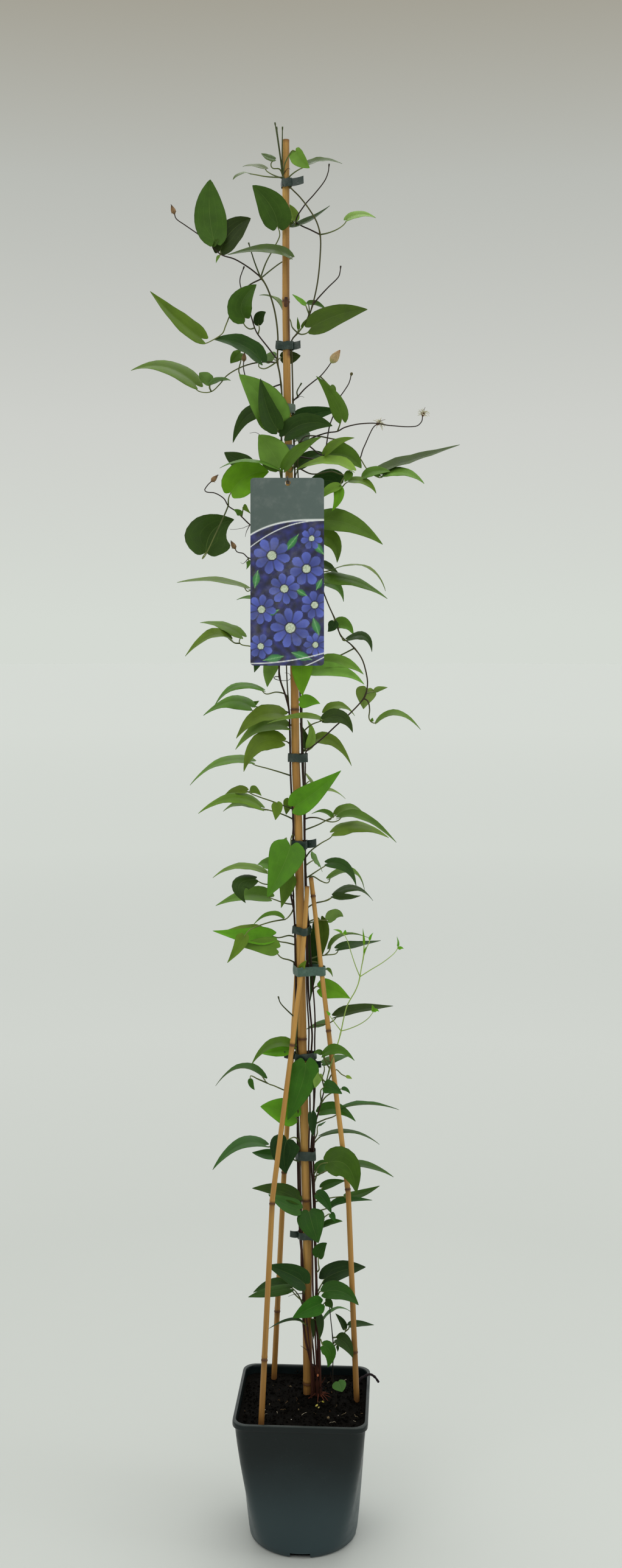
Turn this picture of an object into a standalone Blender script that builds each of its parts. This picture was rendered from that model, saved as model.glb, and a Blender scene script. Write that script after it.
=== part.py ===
import math

import bmesh
import bpy
from mathutils import Matrix, Vector

# Driving sizes, in metres
potWidth = 0.18
potHeight = 0.183
potBaseRadius = 0.0726
potWall = 0.0016
potTurn = math.radians(-3.3)
potCorner = 0.018
rimBand = 0.008
soilHeight = 0.172
gap = 0.0003
bladeThickness = 0.00064
stalkRadius = 0.0007
stalkSlack = 0.004
smallest = 0.85
labelWidth = 0.0997
labelHeight = 0.2543
labelThickness = 0.0008

cm = 0.01
eyeX, eyeDepth, eyeHeight, planDepth = 1.04, -221, 124.3, 2

# The main cane's axis on the plan plane: x and height in centimetres
caneAxis = [(0.62, 1.6), (0.62, 18.3), (0.53, 26.6), (0.53, 40.1), (0.23, 50.2), (-0.15, 65.4), (-0.46, 83.9),
            (-0.7, 95.5), (-1.12, 106.1), (-1.215, 114.8), (-2.242, 154.6), (-2.436, 168), (-2.436, 190.8)]

# Tripod canes: axis points (x, depth, height) and end radii, in centimetres
legs = {
    "cane_leg_left": ([(-5.78, -6.38, 12.4), (-5.6, -6.2, 17.2), (-4.19, -2.6, 46), (-1.83, -0.6, 64), (-0.28, 0.82, 76.1),
                       (0.24, 0.84, 83), (0.53, 0.86, 87.8)], 0.4, 0.31),
    "cane_leg_right": ([(7.38, 0.55, 12.4), (7.32, 0.6, 17.2), (6.17, 0.92, 45.5), (4.03, 1.2, 63), (2.48, 1.42, 76.1),
                        (1.5, 1.52, 85), (1.03, 1.6, 88.9)], 0.4, 0.31),
    "cane_leg_back": ([(-4.25, 7.28, 13), (-4.2, 7, 17.2), (-2.75, 5.1, 46.5), (-1.55, 3.98, 65.2), (-0.9, 3.28, 76.1),
                       (-0.42, 3.2, 86)], 0.4, 0.31),
}

# Heights of the canes' nodes, in centimetres
caneNodes = {"cane_main": [18.9, 44.2, 66.5, 92, 112, 138, 168.4], "cane_leg_left": [25.4, 45.4, 66.2],
             "cane_leg_right": [23.8, 46.1, 67.8, 86.3], "cane_leg_back": [27, 47]}

# Main paths of the leafy stems: (x, height, depth), with x and height read on the plan plane
stems = {
    "vine_left": [(1.42, 14, 1.2), (1.35, 20, 1.15), (0.8, 22.8, 0.95), (0.35, 24.6, 0.98), (0, 27, 1.3),
                  (-0.05, 33, 1.35), (-0.15, 36, 1.45), (-0.45, 39, 1.7), (-0.65, 44, 1.8), (-0.78, 50, 1.8),
                  (-0.85, 60, 1.9), (-0.99, 65, 1.9), (-1.02, 70, 2), (-1.12, 78, 2), (-1.3, 84, 2),
                  (-1.75, 86.7, 1.6), (-1.6, 90, 1.75), (-1.44, 94, 1.8), (-1.4, 97, 1.35), (-1.6, 99.5, 1.5),
                  (-1.78, 103, 1.75), (-1.83, 106, 1.6), (-1.9, 110, 1.7), (-2, 112, 1.6), (-2.5, 114, 1.4),
                  (-3.3, 116.5, 1.2), (-3.35, 118.5, 1.2), (-3.3, 125, 1.6), (-3.1, 132, 1.8), (-3, 143, 1.6),
                  (-3.05, 150, 1.6), (-2.97, 153, 1.5), (-3.02, 156, 1.6), (-3.3, 158.5, 1.6), (-3.6, 160.1, 1.4),
                  (-3.53, 163, 1.4), (-3.65, 165, 1.3), (-4, 167.2, 1.2), (-4.6, 169.3, 1.1), (-5.3, 170.9, 1),
                  (-6, 171.9, 0.9)],
    "vine_right": [(2.05, 14, 1.55), (1.97, 22, 1.5), (1.97, 25, 1.5), (1.6, 28.3, 1.6), (1.75, 32, 1.7),
                   (1.65, 36, 1.8), (1.5, 40, 1.8), (1.4, 44, 1.9), (1.15, 48, 1.9), (1.05, 51, 1.9),
                   (1.25, 54, 1.8), (1.45, 58, 1.7), (1.35, 62, 1.7), (1.1, 64.5, 1.7), (1.2, 67, 1.7),
                   (0.95, 70, 1.8), (0.7, 73, 1.9), (0.6, 78, 2), (0.5, 82, 2), (0.3, 85, 2), (0.2, 90, 2),
                   (0.1, 95, 1.9), (0.05, 100, 1.9), (-0.15, 104, 1.9), (-0.25, 107, 2.1), (-0.4, 112, 2.1),
                   (-0.6, 118, 2), (-0.7, 125, 1.9), (-0.9, 132, 1.9), (-1.1, 140, 1.9), (-1.25, 147, 1.9),
                   (-1.4, 152, 1.9), (-1.5, 157, 1.9), (-1.6, 161, 1.9), (-1.65, 163, 1.8), (-0.8, 164.1, 1.5),
                   (0, 165.1, 1.4), (0.8, 166.6, 1.3), (1.4, 168.5, 1.2), (2, 171.5, 1.1), (2.35, 175.5, 1),
                   (2.3, 177.7, 1), (1.8, 179.5, 1), (0.8, 181.2, 1), (-0.5, 182.9, 1.1), (-1.6, 184, 1.15),
                   (-2.4, 184.9, 1.2), (-2.9, 185.9, 1.3)],
    "vine_loop": [(1.9, 14, 1.05), (1.85, 20, 1), (1.7, 24, 0.9), (1.5, 28, 0.95), (1.3, 32, 1.05), (1.25, 36, 1.1),
                  (1.2, 40, 1.1), (1, 44, 1.1), (0.9, 48, 1.1), (0.75, 52, 1.15), (0.9, 56, 1.1), (0.85, 60, 1.1),
                  (0.7, 64, 1.2), (0.75, 68, 1.2), (0.5, 72, 1.25), (0.4, 76, 1.35), (0.4, 80, 1.4),
                  (0.47, 83, 1.5), (0.47, 86, 1.62), (0.28, 90, 1.45), (0.2, 95, 1.4), (0.25, 100, 1.4),
                  (0.25, 104, 1.5), (0.35, 106.2, 1.5), (1.2, 106.9, 1.4), (3, 108.4, 1.3), (4.6, 109.9, 1.4),
                  (6, 111.1, 1.4), (7.6, 112.7, 1.3), (8.5, 113.9, 1.2), (8.85, 115.5, 1.2), (8.65, 117.2, 1.2),
                  (8, 119.2, 1.3), (6.6, 121, 1.5), (5.2, 122.2, 1.6), (4.4, 124.4, 1.7), (3.5, 126.4, 1.8),
                  (2.9, 127.9, 1.9), (1.6, 131, 2.2), (0.5, 135, 2.3), (-0.2, 139, 2.2), (-0.6, 142.5, 2),
                  (-0.8, 146, 1.6), (-0.6, 149, 1.4)],
    "vine_low_left": [(1.1, 14, 0.78), (1.1, 20, 0.72), (0.9, 23.5, 0.65), (0.55, 26.5, 0.7), (0.3, 29, 0.85),
                      (0, 31.5, 0.9), (-0.3, 35, 0.9), (-0.3, 39, 1), (-0.35, 44, 1.1), (-0.45, 48, 1.1),
                      (-0.55, 52, 1.15), (-0.75, 56, 1.25), (-0.8, 60, 1.25), (-0.85, 64, 1.3), (-1.1, 65.4, 1.1)],
    "vine_low_right": [(2.4, 14, 1), (2.3, 20, 0.95), (2.1, 24, 1), (1.95, 28, 1.05), (1.9, 31, 1.1),
                       (1.7, 35, 1.3), (1.6, 39, 1.35), (1.62, 43, 1.35), (1.5, 46, 1.4), (1.4, 49, 1.4),
                       (1.45, 52, 1.35), (1.7, 55, 1.25), (2.1, 56.5, 1.2), (2.9, 59.5, 1), (3.7, 62.7, 0.5),
                       (4.3, 64.5, 0.3), (4.9, 66.4, 0.3), (5.2, 67.6, 0.3), (5.6, 69.5, 0.3), (6, 71, 0.3),
                       (6.5, 72, 0.4), (7.1, 73, 0.4), (7.6, 74.2, 0.4), (7.8, 75.1, 0.4), (8, 76.3, 0.4),
                       (8.3, 77.9, 0.5), (8.37, 79.3, 0.5)],
    "vine_mid_left": [(1.75, 14, 2.4), (1.6, 20, 2.6), (1.3, 24, 2.95), (0.8, 28, 3.05), (0.2, 32, 2.95),
                      (-0.2, 37, 2.8), (-0.35, 42, 2.65), (-0.5, 48, 2.6), (-0.65, 54, 2.55), (-0.8, 60, 2.6),
                      (-0.85, 66, 2.55), (-0.95, 72, 2.5), (-1.1, 77, 2.5), (-1.22, 82, 2.4), (-1.4, 87, 2.3),
                      (-1.35, 92, 2.4), (-1.47, 97, 2.35), (-1.68, 101, 2.4), (-1.87, 106, 2.4), (-1.92, 111, 2.4),
                      (-2.15, 114, 2.3), (-2.35, 118, 2.3), (-2.35, 124, 2.3), (-2.4, 131, 2.45)],
    "vine_mid_right": [(2.45, 14, 1.8), (2.35, 20, 1.95), (2.2, 25, 2.1), (1.95, 30, 2.35), (1.75, 36, 2.45),
                       (1.6, 42, 2.45), (1.4, 48, 2.45), (1.3, 54, 2.5), (1.6, 60, 2.4), (1.55, 66, 2.4),
                       (1.6, 69, 2.3), (1.45, 72, 2.2), (1.1, 76, 2.1), (0.9, 80, 2.3), (0.6, 84, 2.5),
                       (0.4, 88, 2.5), (0.25, 93, 2.45), (0.15, 98, 2.45), (0.05, 103, 2.45), (-0.05, 106, 2.55),
                       (-0.2, 110, 2.65), (-0.2, 113, 2.6)],
    "seedling": [(4.05, 14, 1.8), (4.05, 21.3, 1.8), (4.15, 23, 1.7), (4.1, 24.4, 1.7), (4, 25.6, 1.7),
                 (3.8, 27.5, 1.6), (3.6, 29.4, 1.5)],
    "seedling_low": [(4.5, 14, -1.5), (4.5, 16.6, -1.6), (4.65, 18.4, -1.7)],
}

# Leaves and side stalks of each stem. A row starts at a height on the stem, or at a point of another stalk,
# and runs through the points of its stalk. A leaf row then has the blade's base, middle and tip, its width
# and its turn about the midrib: 0 faces the front, 90 faces up. Depth is given where the row fixes it.
rows = {
    "vine_left": [
        (171.9, [(-6.8, 174), (-7.6, 176.6, 0.6)], "cut"),
        (171.9, [(-7.5, 173.1), (-9.5, 174.3), (-11.4, 174.95, -0.4), (-12.6, 176.1, -0.5), (-13.2, 176.8, -0.6),
                 (-14.9, 178), (-16.5, 179.1), (-17.6, 179.9), (-17.85, 180.6, -1.6)], "pod"),
        ((-12.6, 176.1, -0.5), [], (-12.4, 176.9, -0.9), (-13, 180.8), (-12.9, 185.3, 0.6), 4.5, 12),
        ((-11.4, 174.95, -0.4), [], (-11.5, 175.5, 0), (-9.9, 178.2), (-7.3, 179.95, 1.6), 3.6, 18),
        ((-11.4, 174.95, -0.4), [], (-11.7, 174.8, -0.6), (-11.9, 174.4), (-12.1, 173.75, -0.8), 0.5, 30),
        (171.8, [(-5.2, 173.8), (-4.3, 175.5, 2.6), (-3.4, 177.2, 2.2), (-3.3, 178, 1)],
         (-3.6, 178.9, 0.5), (-4.5, 181.6), (-7.05, 184.5, -0.8), 4.3, 12),
        (171.7, [(-4.2, 173.05, 2.4), (-2.9, 173.95, 3), (-1.75, 174.4, 2.6), (-1.5, 174.8, 1.5)],
         (-2.1, 174.85, 0.1), (-5.5, 175.7), (-10.5, 174.9, -0.4), 2.7, 60),
        (171.6, [(-7.5, 170.7), (-8.9, 169.2, 1.6), (-9.9, 167.2), (-10.8, 165), (-11.2, 164.05), (-12.4, 163.2),
                 (-13.8, 162.6), (-14.4, 162.85)], (-14.2, 163.4, -1.2), (-17.6, 166.1), (-21.2, 169.85, -3.4), 3.3, 42),
        (160.2, [(-4.6, 159.5), (-5.5, 159.15), (-6.2, 159.5)], (-5.9, 160.3, 0.3), (-8.7, 162.5),
         (-12.4, 163.2, -0.2), 3.5, 48),
        (160.4, [(-4.9, 162.1), (-6.3, 163.9, 2), (-6.75, 164.8, 2.1), (-7.3, 166.6), (-8.5, 169.9), (-8.8, 171.4),
                 (-8.2, 173.3, 3.2)], "cut"),
        ((-6.75, 164.8, 2.1), [(-7.4, 164.65), (-8, 165), (-8.3, 165.6)], (-8.1, 166.2, 0.9), (-8.5, 168.3),
         (-6.5, 170.8, 0.2), 3.5, 8),
        ((-6.3, 163.9, 2), [(-6.1, 164.7)], (-6.2, 165.3, 2.6), (-6.1, 166.3), (-5.2, 167, 2), 1.6, 20),
        (160, [(-5.4, 160.1), (-7.2, 159.85), (-9, 159.2), (-10.6, 158.2), (-11.6, 157), (-12.75, 156, 0.6),
               (-14.2, 155.95), (-14.9, 156.4)], (-15, 157, 0.4), (-19.2, 159.4), (-23.85, 158.9, 1.6), 3.7, 55),
        ((-12.75, 156, 0.6), [(-12.95, 156.5)], (-12.9, 157, 0.2), (-11.6, 157.65), (-10.05, 157.5, -0.2), 1.9, 110),
        ((-12.75, 156, 0.6), [(-13, 156.5)], (-13, 157.05, 0.2), (-13.7, 157.9), (-14.4, 158.6, -0.6), 1.9, 150),
        (157, [(-5.5, 156.4, 3), (-7.6, 157.1, 3.2), (-8.1, 158.3), (-8.3, 159.4), (-8.25, 160.2, 3)], "pod"),
        ((-7.6, 157.1, 3.2), [(-8.9, 158.6, 4.2), (-8.6, 160.6, 4.2)], (-8.7, 161.3, 4), (-9.3, 160.8),
         (-10.1, 159.9, 3.4), 1.7, 20),
        (160.3, [(-3.3, 160.6, 2.8)], (-3, 160.7, 3.2), (-1.8, 160.8), (-0.4, 160.95, 3.6), 2, 15),
        (160.3, [(-4, 160.4, 2.6)], (-4.2, 160.5, 3.2), (-4.8, 160.8), (-5.4, 160.9, 5.5), 2, 20),
        (150.4, [(-3.8, 150.8)], (-4.1, 151.3, 0.5), (-5.5, 154.6), (-8.9, 158.35, -0.8), 5.1, 18),
        (150.2, [(-3.6, 150.5)], (-3.75, 151, -0.5), (-5, 153.6), (-5.95, 157.8, -1.6), 3, 15),
        (151.5, [(-4.5, 152.5, 2.6)], (-5.6, 153.4, 2.9), (-8.1, 152.3), (-9.75, 148.9, 3.6), 2.3, 20),
        (94.8, [(-1.7, 94.3, 1)], (-1.8, 93.1, 0.5), (-2.9, 90.2), (-5, 86.1, -1.6), 5, 0),
        (29.4, [(-0.6, 30.9, 2), (-1.5, 32, 2.4)], (-2.1, 32.1, 2.6), (-4.4, 32.5), (-6.95, 31.45, 3.4), 1.8, 20),
        (143.5, [(-3.2, 144.5)], (-3.35, 145.5, 0.1), (-4.4, 147.7), (-6.2, 150, 0.5), 4.4, 15),
        (144, [(-3.1, 144.8, 0.6)], (-3.5, 145.3, -0.6), (-7.5, 146.5), (-11.6, 145.4, -2.2), 2.6, 78),
        (145, [(-5, 145.3, 2.6)], (-7.3, 145.7, 2.4), (-9.1, 146.5), (-10.95, 147.6, 3.2), 2.5, 10),
        (134.5, [(-5.2, 136), (-7.4, 137.6, 0.8), (-8.55, 138.7, 0.6), (-9.4, 139.5), (-10.4, 140.2, 0.4),
                 (-11, 141.2), (-12.2, 141.95), (-13.6, 142.25), (-13.3, 143), (-12.7, 143.6, -0.6)], "pod"),
        ((-10.4, 140.2, 0.4), [(-10.35, 141.3)], (-10, 142.1, 0.4), (-7.8, 144.3), (-4.8, 144.9, 0.8), 4.6, 5),
        ((-10.4, 140.2, 0.4), [(-10.9, 139, -0.8), (-12.2, 136.2, -1.3), (-13.6, 133.3, -1.5), (-14, 132.9, -1.4)],
         (-13.5, 133.8, -0.9), (-12.5, 136.8), (-9.6, 138.3, 1.4), 6.5, 0),
        ((-8.55, 138.7, 0.6), [], (-8.8, 139, 0.4), (-9.1, 139.4), (-9.7, 139.7, 0.2), 0.9, 10),
        ((-8.55, 138.7, 0.6), [(-8.4, 139.5)], (-8.3, 140.1, 0.4), (-8, 139.8), (-7.3, 139.1, 0.8), 0.9, 30),
        (131.5, [(-5, 132.5), (-7.6, 133, 1), (-8.3, 133.6), (-9.2, 133.85), (-9.45, 134.3, 0.6)], "pod"),
        ((-7.6, 133, 1), [], (-7.6, 132.6, 1), (-7.6, 132.1), (-7.9, 131.4, 0.8), 0.7, 20),
        (139, [(-4.2, 139.5, 3.6)], (-4.8, 139.8, 4.6), (-5.6, 139.6), (-6.2, 138.6, 8.6), 3.4, 70),
        (127, [(-4.2, 127.2, 3.2)], (-4.8, 127.4, 4.2), (-5.4, 127.2), (-6, 125.8, 8.8), 3.2, 70),
    ],
    "vine_right": [
        (185.6, [(-5, 185.7), (-7, 186.05)], (-7.4, 186.1, 0.2), (-8.6, 186.2), (-9.75, 185.3, -0.6), 1.7, 80),
        (185.4, [(-4.2, 185.95, 2.2), (-5.1, 186.5)], (-5.3, 186.85, 3), (-7, 187.25), (-8.4, 187.1, 4.2), 1.6, 75),
        (185.8, [(-3.3, 186.75), (-4.3, 186.9), (-4.5, 187.5)], (-4, 188.1, 0.8), (-5, 188.4), (-5.85, 188.9, 0.4),
         1.6, 60),
        (185.8, [(-2.6, 187.4), (-2.05, 188.6), (-1.5, 189.35)], (-1.1, 189.2, 0.6), (-0.5, 188.2),
         (0.85, 186.9, -0.4), 2.2, -15),
        (185, [(-1.8, 185.85), (-0.8, 186.6), (0.2, 187.1)], (0.5, 187.35, 1.8), (2.8, 188), (5.35, 187.5, 2.8), 1.9, 72),
        (185.9, [(-3.3, 189), (-3.95, 193.2, 1)], "cut"),
        (185.9, [(-3.2, 188.5, 1.5), (-3.72, 192.6, 1.6)], "cut"),
        (185.9, [(-2.95, 188.5, 1.15), (-2.9, 192.6, 1.2)], "cut"),
        (177.7, [(0.9, 178.4), (-0.4, 179), (-1.05, 179.6, 2.2), (0.1, 181.7), (1.5, 183.3), (2.9, 185.1),
                 (3.4, 186.3), (3.55, 187.5, 0.4)], "cut"),
        ((-1.05, 179.6, 2.2), [(-1.1, 179.4, 3)], (-1.3, 179.6, 3.8), (-1.6, 180.6), (-2, 181.9, 4.4), 1.9, 15),
        ((-1.05, 179.6, 2.2), [(-1.2, 179.1, 3)], (-1.4, 179.1, 3.6), (-2.1, 179), (-2.9, 178.9, 4.4), 1.1, 30),
        ((-1.05, 179.6, 2.2), [], (-1.2, 178.9, 2), (1, 179.8), (3.65, 181.7, 1.2), 1.8, 66),
        (177.7, [(3.3, 177.9), (4.6, 178.4), (5.6, 179.1)], (6.05, 179.8, 1.6), (7.9, 180.5), (10, 180, 2.4), 1.9, 62),
        (167.9, [(2.1, 169), (3.4, 170.4), (4.8, 171.8), (5.05, 172.5), (5.15, 173.4, 0.6)], "cut"),
        (166.6, [(0.5, 167.4)], (0.25, 168.1, 1), (-0.7, 168.8), (-1.55, 169.45, 0.2), 1, 50),
        (166.4, [(0.8, 167.4, 1.8)], (0.7, 168.1, 1.6), (1.9, 167.95), (3.15, 167.3, 2.4), 1.3, 60),
        (164.1, [(-0.3, 163.9), (0.5, 164.1)], (1.15, 164.9, 0.8), (4.9, 166.6), (8.85, 167.35, -0.6), 3.6, 25),
        (164.1, [], (-0.7, 164.6, 1.3), (-0.75, 165.4), (-0.85, 166.3, 1), 0.5, 20),
        (164.1, [], (-0.2, 164.8, 1.2), (0, 165.4), (0.4, 166, 0.8), 0.5, 40),
        (164.1, [(-1.55, 164.9, 2.2), (-1.8, 165.8, 3), (-2.3, 166.6, 3.4)], (-2.9, 167.3, 3.6), (-4.2, 168.9),
         (-6.1, 169.3, 5.4), 1.7, 80),
        (154.7, [(-0.8, 155.3), (0.2, 156.4), (1.4, 157.4), (2.3, 158.1), (3.1, 159), (3.85, 160.05, 0.6)], "bud"),
        ((-0.8, 155.3, 1.7), [(-0.9, 156), (-0.25, 157.2, 1.2)], "cut"),
        ((2.3, 158.1, 1.02), [(3.3, 157.1)], (3.7, 156.6, 0.8), (4.1, 156.6), (4.5, 155.9, 0.7), 0.7, 40),
        (151, [(-1.2, 151.2, 3)], (-1, 151.6, 3.8), (1.2, 152.8), (5.2, 153.5, 4.4), 2.8, 12),
        (149.4, [(-1.8, 149.6, 1.1)], (-2.5, 149.95, 0.5), (0.3, 151.6), (4, 151.25, 0), 3, 10),
        (146, [(-1.7, 144.9, 1)], (-2.6, 145.5, -1), (-0.9, 147.7), (2.45, 149.7, -1.8), 3, 55),
        (144.3, [(-0.9, 144.9, 3)], (-0.7, 145.6, 3.6), (1, 146.9), (2.9, 147.4, 4.2), 2.1, 30),
        (149.1, [(-1, 149.2, 2.6)], (-0.8, 149.3, 3), (0, 149.8), (0.85, 150.3, 5), 1.9, 20),
        (140, [(-0.8, 140.3, 3.6)], (-1, 140.6, 4.4), (-1.8, 140.4), (-2.4, 139, 8.2), 3, 70),
        (133, [(-0.6, 133.4, 3)], (-1, 133.8, 4), (-1.6, 134), (-2.4, 133, 8.4), 3.2, 70),
    ],
    "vine_loop": [
        (149, [(0.2, 149.1), (1.7, 149.8), (3.3, 150.3), (4.7, 150.5, 0.8), (5.6, 151), (7, 151.4, 0.4), (8.5, 151.6),
               (10.2, 151.6, 1.4), (12, 151.3), (15.5, 151.2), (16.3, 151.8), (16.5, 152.7, 0.8)], "star"),
        ((4.7, 150.5, 0.8), [(4.95, 151.2)], (5.3, 152.3, 0.6), (4.2, 155.1), (1.75, 158.15, 0), 2.4, 15),
        (148.5, [(0.5, 148.6), (2.9, 147.2, 0.2), (3.2, 148.8), (3.6, 151.2), (4.2, 152.9), (4.9, 155),
                 (5.7, 156.2, 1.4), (6.3, 157.2), (6.6, 158.3, 1.2)], "knob"),
        ((2.9, 147.2, 0.2), [], (3, 147.5, 0), (4.6, 148.95), (7.05, 149.6, -0.6), 1.7, 40),
        ((2.9, 147.2, 0.2), [(3.1, 147.2, 0.8)], (3.3, 147.3, 1.2), (5.9, 147.1), (8, 145.4, 1.4), 3, 30),
        (148.8, [(0.3, 149.8, 2), (2.2, 149.8, 2.4), (3.8, 149.5), (5.1, 149.2), (6.6, 148.1), (7.8, 146.8),
                 (8.9, 145.1), (9.8, 144.4), (10.8, 144.15, 1.6)], (11.1, 145.2, 1.8), (15.8, 146.7),
         (21.6, 148.65, 3.4), 3, 65),
        ((10.8, 144.15, 1.6), [], (11.2, 144.6, 1.1), (14, 144.9), (16.7, 143.25, 0), 2.4, 55),
        (147, [(2, 146.6, 1.9), (7.3, 146.3, 1.9), (8.3, 148.2), (9.2, 150.2), (9.7, 151.1), (10.2, 151.5, 2.2)],
         "star"),
        (145.5, [(1.2, 144.6, 1.8), (3.9, 144.95), (5, 144.6), (6.5, 144.3), (7.8, 143.85, 1)],
         (8.4, 144.3, 0.8), (9.9, 145), (12, 144.95, 0.2), 1.9, 45),
        (143, [(1.4, 141.6, 1.8), (2.9, 141.8), (4.9, 143, 0.8), (5.5, 144), (6.4, 145)],
         (6.5, 145.3, -0.4), (3, 146.3), (-1.2, 145.1, -0.6), 2.8, 60),
        ((4.9, 143, 0.8), [(5.3, 142.8), (5.8, 143.3)], (6.4, 143.65, 0.6), (8.6, 143.4), (10.05, 141.9, 0), 1.7, 50),
        ((4.9, 143, 0.8), [], (4.8, 142.7, 0.5), (4.8, 141.2), (3.95, 139.5, -0.2), 1.5, 10),
        ((4.9, 143, 0.8), [(5.2, 143.1, 2)], (4.8, 143.2, 2.8), (3.2, 143.7), (0.6, 143.4, 4), 3.6, 20),
        ((6.4, 145, -0.23), [], (6.4, 144.9, -0.5), (6.1, 144.3), (5.7, 143.5, -0.9), 1.2, 10),
        (137, [(1.2, 137.6, 1.6)], (2.2, 138.1, 1.2), (6.5, 137.6), (10.95, 134.85, -0.6), 3.8, 30),
        (134, [(1.6, 135, 2.6)], (2.3, 135.9, 2.8), (4.2, 135), (4.65, 132.35, 2.4), 2.7, 20),
        (130.5, [(2.6, 131, 1.6)], (3.9, 131.3, 0.9), (8.6, 131.8), (11.35, 128.4, -0.8), 2.2, 80),
        (129.4, [(2.6, 129.9)], (3, 130.2, 0.6), (7.2, 129.7), (11.6, 127.35, 1), 2.9, 55),
        (128.4, [(2.8, 129, 2.6)], (3, 129.5, 3), (4.7, 128.9), (5.55, 126.95, 3.6), 2, 45),
        (131.5, [(2.2, 132, 3.2)], (2.6, 132.1, 3.6), (3.8, 131.5), (5, 130.6, 4.4), 1.4, 40),
        (124.6, [], (4.2, 124.2, 1.4), (3.9, 123.4), (3.35, 122.8, 0.9), 1.5, 10),
        (123.4, [(4.9, 123.3, 2.2)], (4.6, 123.8, 2.6), (5.9, 123.7), (6.95, 122.3, 3.2), 1.8, 25),
        (122.1, [(5.5, 121.6, 1.2), (5.9, 121.6)], (6.2, 121.8, 0.8), (8.5, 122.1), (9.45, 120, 0), 1.8, 40),
        (120.5, [(5.2, 119.6, 1.6), (2.6, 118.6, 1.8)], (1.6, 118.1, 1.4), (5.2, 118.6), (8.3, 116.9, 0.6), 2.5, 35),
        ((2.6, 118.6, 1.8), [(1.4, 117.8, 1)], (0.9, 117.4, 0.2), (5.2, 117.3), (8.4, 115.5, 0), 2.4, 30),
        (114, [(8.8, 114.6, 2)], (8.8, 114.9, 2.4), (8.5, 113.6), (8.3, 112.1, 2.2), 3, 165),
        (114.2, [(9.4, 114.5, 2.2)], (9.9, 114.6, 2.8), (10.7, 114.9), (11.65, 115.1, 3.4), 0.9, 150),
        (113.6, [(8.9, 113.2), (9.15, 112), (9.05, 110.9), (9.4, 110.3), (10, 110.15)],
         (10.4, 110.4, 0.9), (13.3, 111.3), (16.2, 109.25, 0.2), 2.2, 65),
        (138, [(0.6, 138.4, 3.4)], (1.4, 138.9, 4.4), (2, 138.6), (2.4, 137, 8.2), 3.2, 70),
        (129.8, [(1.6, 129.6, 3.4)], (1.4, 129.4, 4.2), (1.2, 129), (1, 127.4, 8), 3, 70),
        (98.2, [(-0.3, 98.3, 0.9), (-0.9, 98.4, 0.8)], (-1.1, 98.7, 0.5), (1.6, 100.6), (5.2, 103.6, -1), 3.6, 12),
        ((2.6, 118.6, 1.8), [(1.2, 119.4, 0.6)], (-0.1, 119.4, -1.2), (-0.3, 116.6), (-0.15, 113.95, -1.4), 3, 0),
    ],
    "vine_mid_left": [
        (129.8, [(-4.6, 129.6, 3.4), (-7.4, 128.5), (-7.8, 128.4)], (-8.2, 129, 2.6), (-12.5, 129.95),
         (-17.5, 129.6, 1), 3, 74),
        (126, [(-4.6, 126.8, 3.6)], (-6.2, 127.3, 4), (-7.8, 127.5), (-9.25, 127.2, 5), 1.3, 65),
        (119.8, [(-5, 120.3), (-7.4, 120.8), (-8.8, 121.2, 1.2)], (-8.6, 122.3, 1.4), (-11.2, 123.7),
         (-14.3, 124.05, 3), 2.7, 60),
        ((-8.8, 121.2, 1.2), [(-9.5, 121.25)], (-10.4, 121.9, 0.4), (-13.2, 122), (-16.35, 119.4, -1), 3, 60),
        (118.6, [(-3.6, 119.5, 3.2)], (-4.2, 119, 3.2), (-4.7, 117.2), (-5, 115.15, 2.8), 2.3, 160),
        (119.4, [(-4.8, 119.6, 2.6)], (-6.1, 119.2, 2), (-6.4, 118.3), (-6.8, 117.15, 1.6), 1.4, 10),
        (113.6, [(-2.6, 114.2), (-3.8, 114.45), (-5.2, 114.2)], (-5.9, 114.9, 0.6), (-9.4, 115.25),
         (-12.35, 112.45, -0.8), 2.7, 64),
        (111.6, [(-3.5, 112.1), (-5.3, 112.15), (-6.9, 111.8)], (-7.4, 112.5, 2.2), (-10.3, 113.1),
         (-13.85, 111.2, 3.6), 3, 50),
        ((-5.3, 112.15, 2.3), [(-6.4, 112.4, 2.6)], (-7.2, 112.6, 3), (-6.7, 112.9), (-6.1, 113.25, 3.2), 0.9, 20),
        (110.9, [(-2.4, 111.1, 1.4)], (-2.9, 111.3, 0.9), (-6.3, 111), (-9.3, 108.05, -0.6), 3.4, 42),
        (109.2, [(-2.2, 109.5)], (-2.5, 109.7, 1.6), (-6.2, 109.5), (-9.4, 106.5, 1.2), 3.2, 48),
        (107.3, [(-2.4, 107.65)], (-3.1, 107.7, 0.7), (-6.4, 107.2), (-8.25, 103.45, -0.4), 3.2, 22),
        (102.9, [(-3.3, 103.4), (-5, 103.9), (-6.8, 104.4)], (-7.5, 104.9, 2.2), (-11.8, 104.6), (-15.7, 101.55, 2.8),
         2.8, 65),
        (98.3, [(-4.2, 99.3, 1.4), (-6.5, 100.1), (-7.5, 100.6, 0.9)], (-7.3, 100.9, 0.6), (-6.7, 100.9),
         (-5.8, 100.1, 0.2), 1.3, 20),
        ((-7.5, 100.6, 0.9), [], (-8, 100.8, 0.9), (-9.7, 100.7), (-11.3, 99.7, 1.6), 1.4, 40),
        ((-4.2, 99.3, 1.4), [], (-3.7, 99.1, 1.2), (-3.7, 98), (-3.9, 96.75, 0.7), 1.6, 10),
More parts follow.
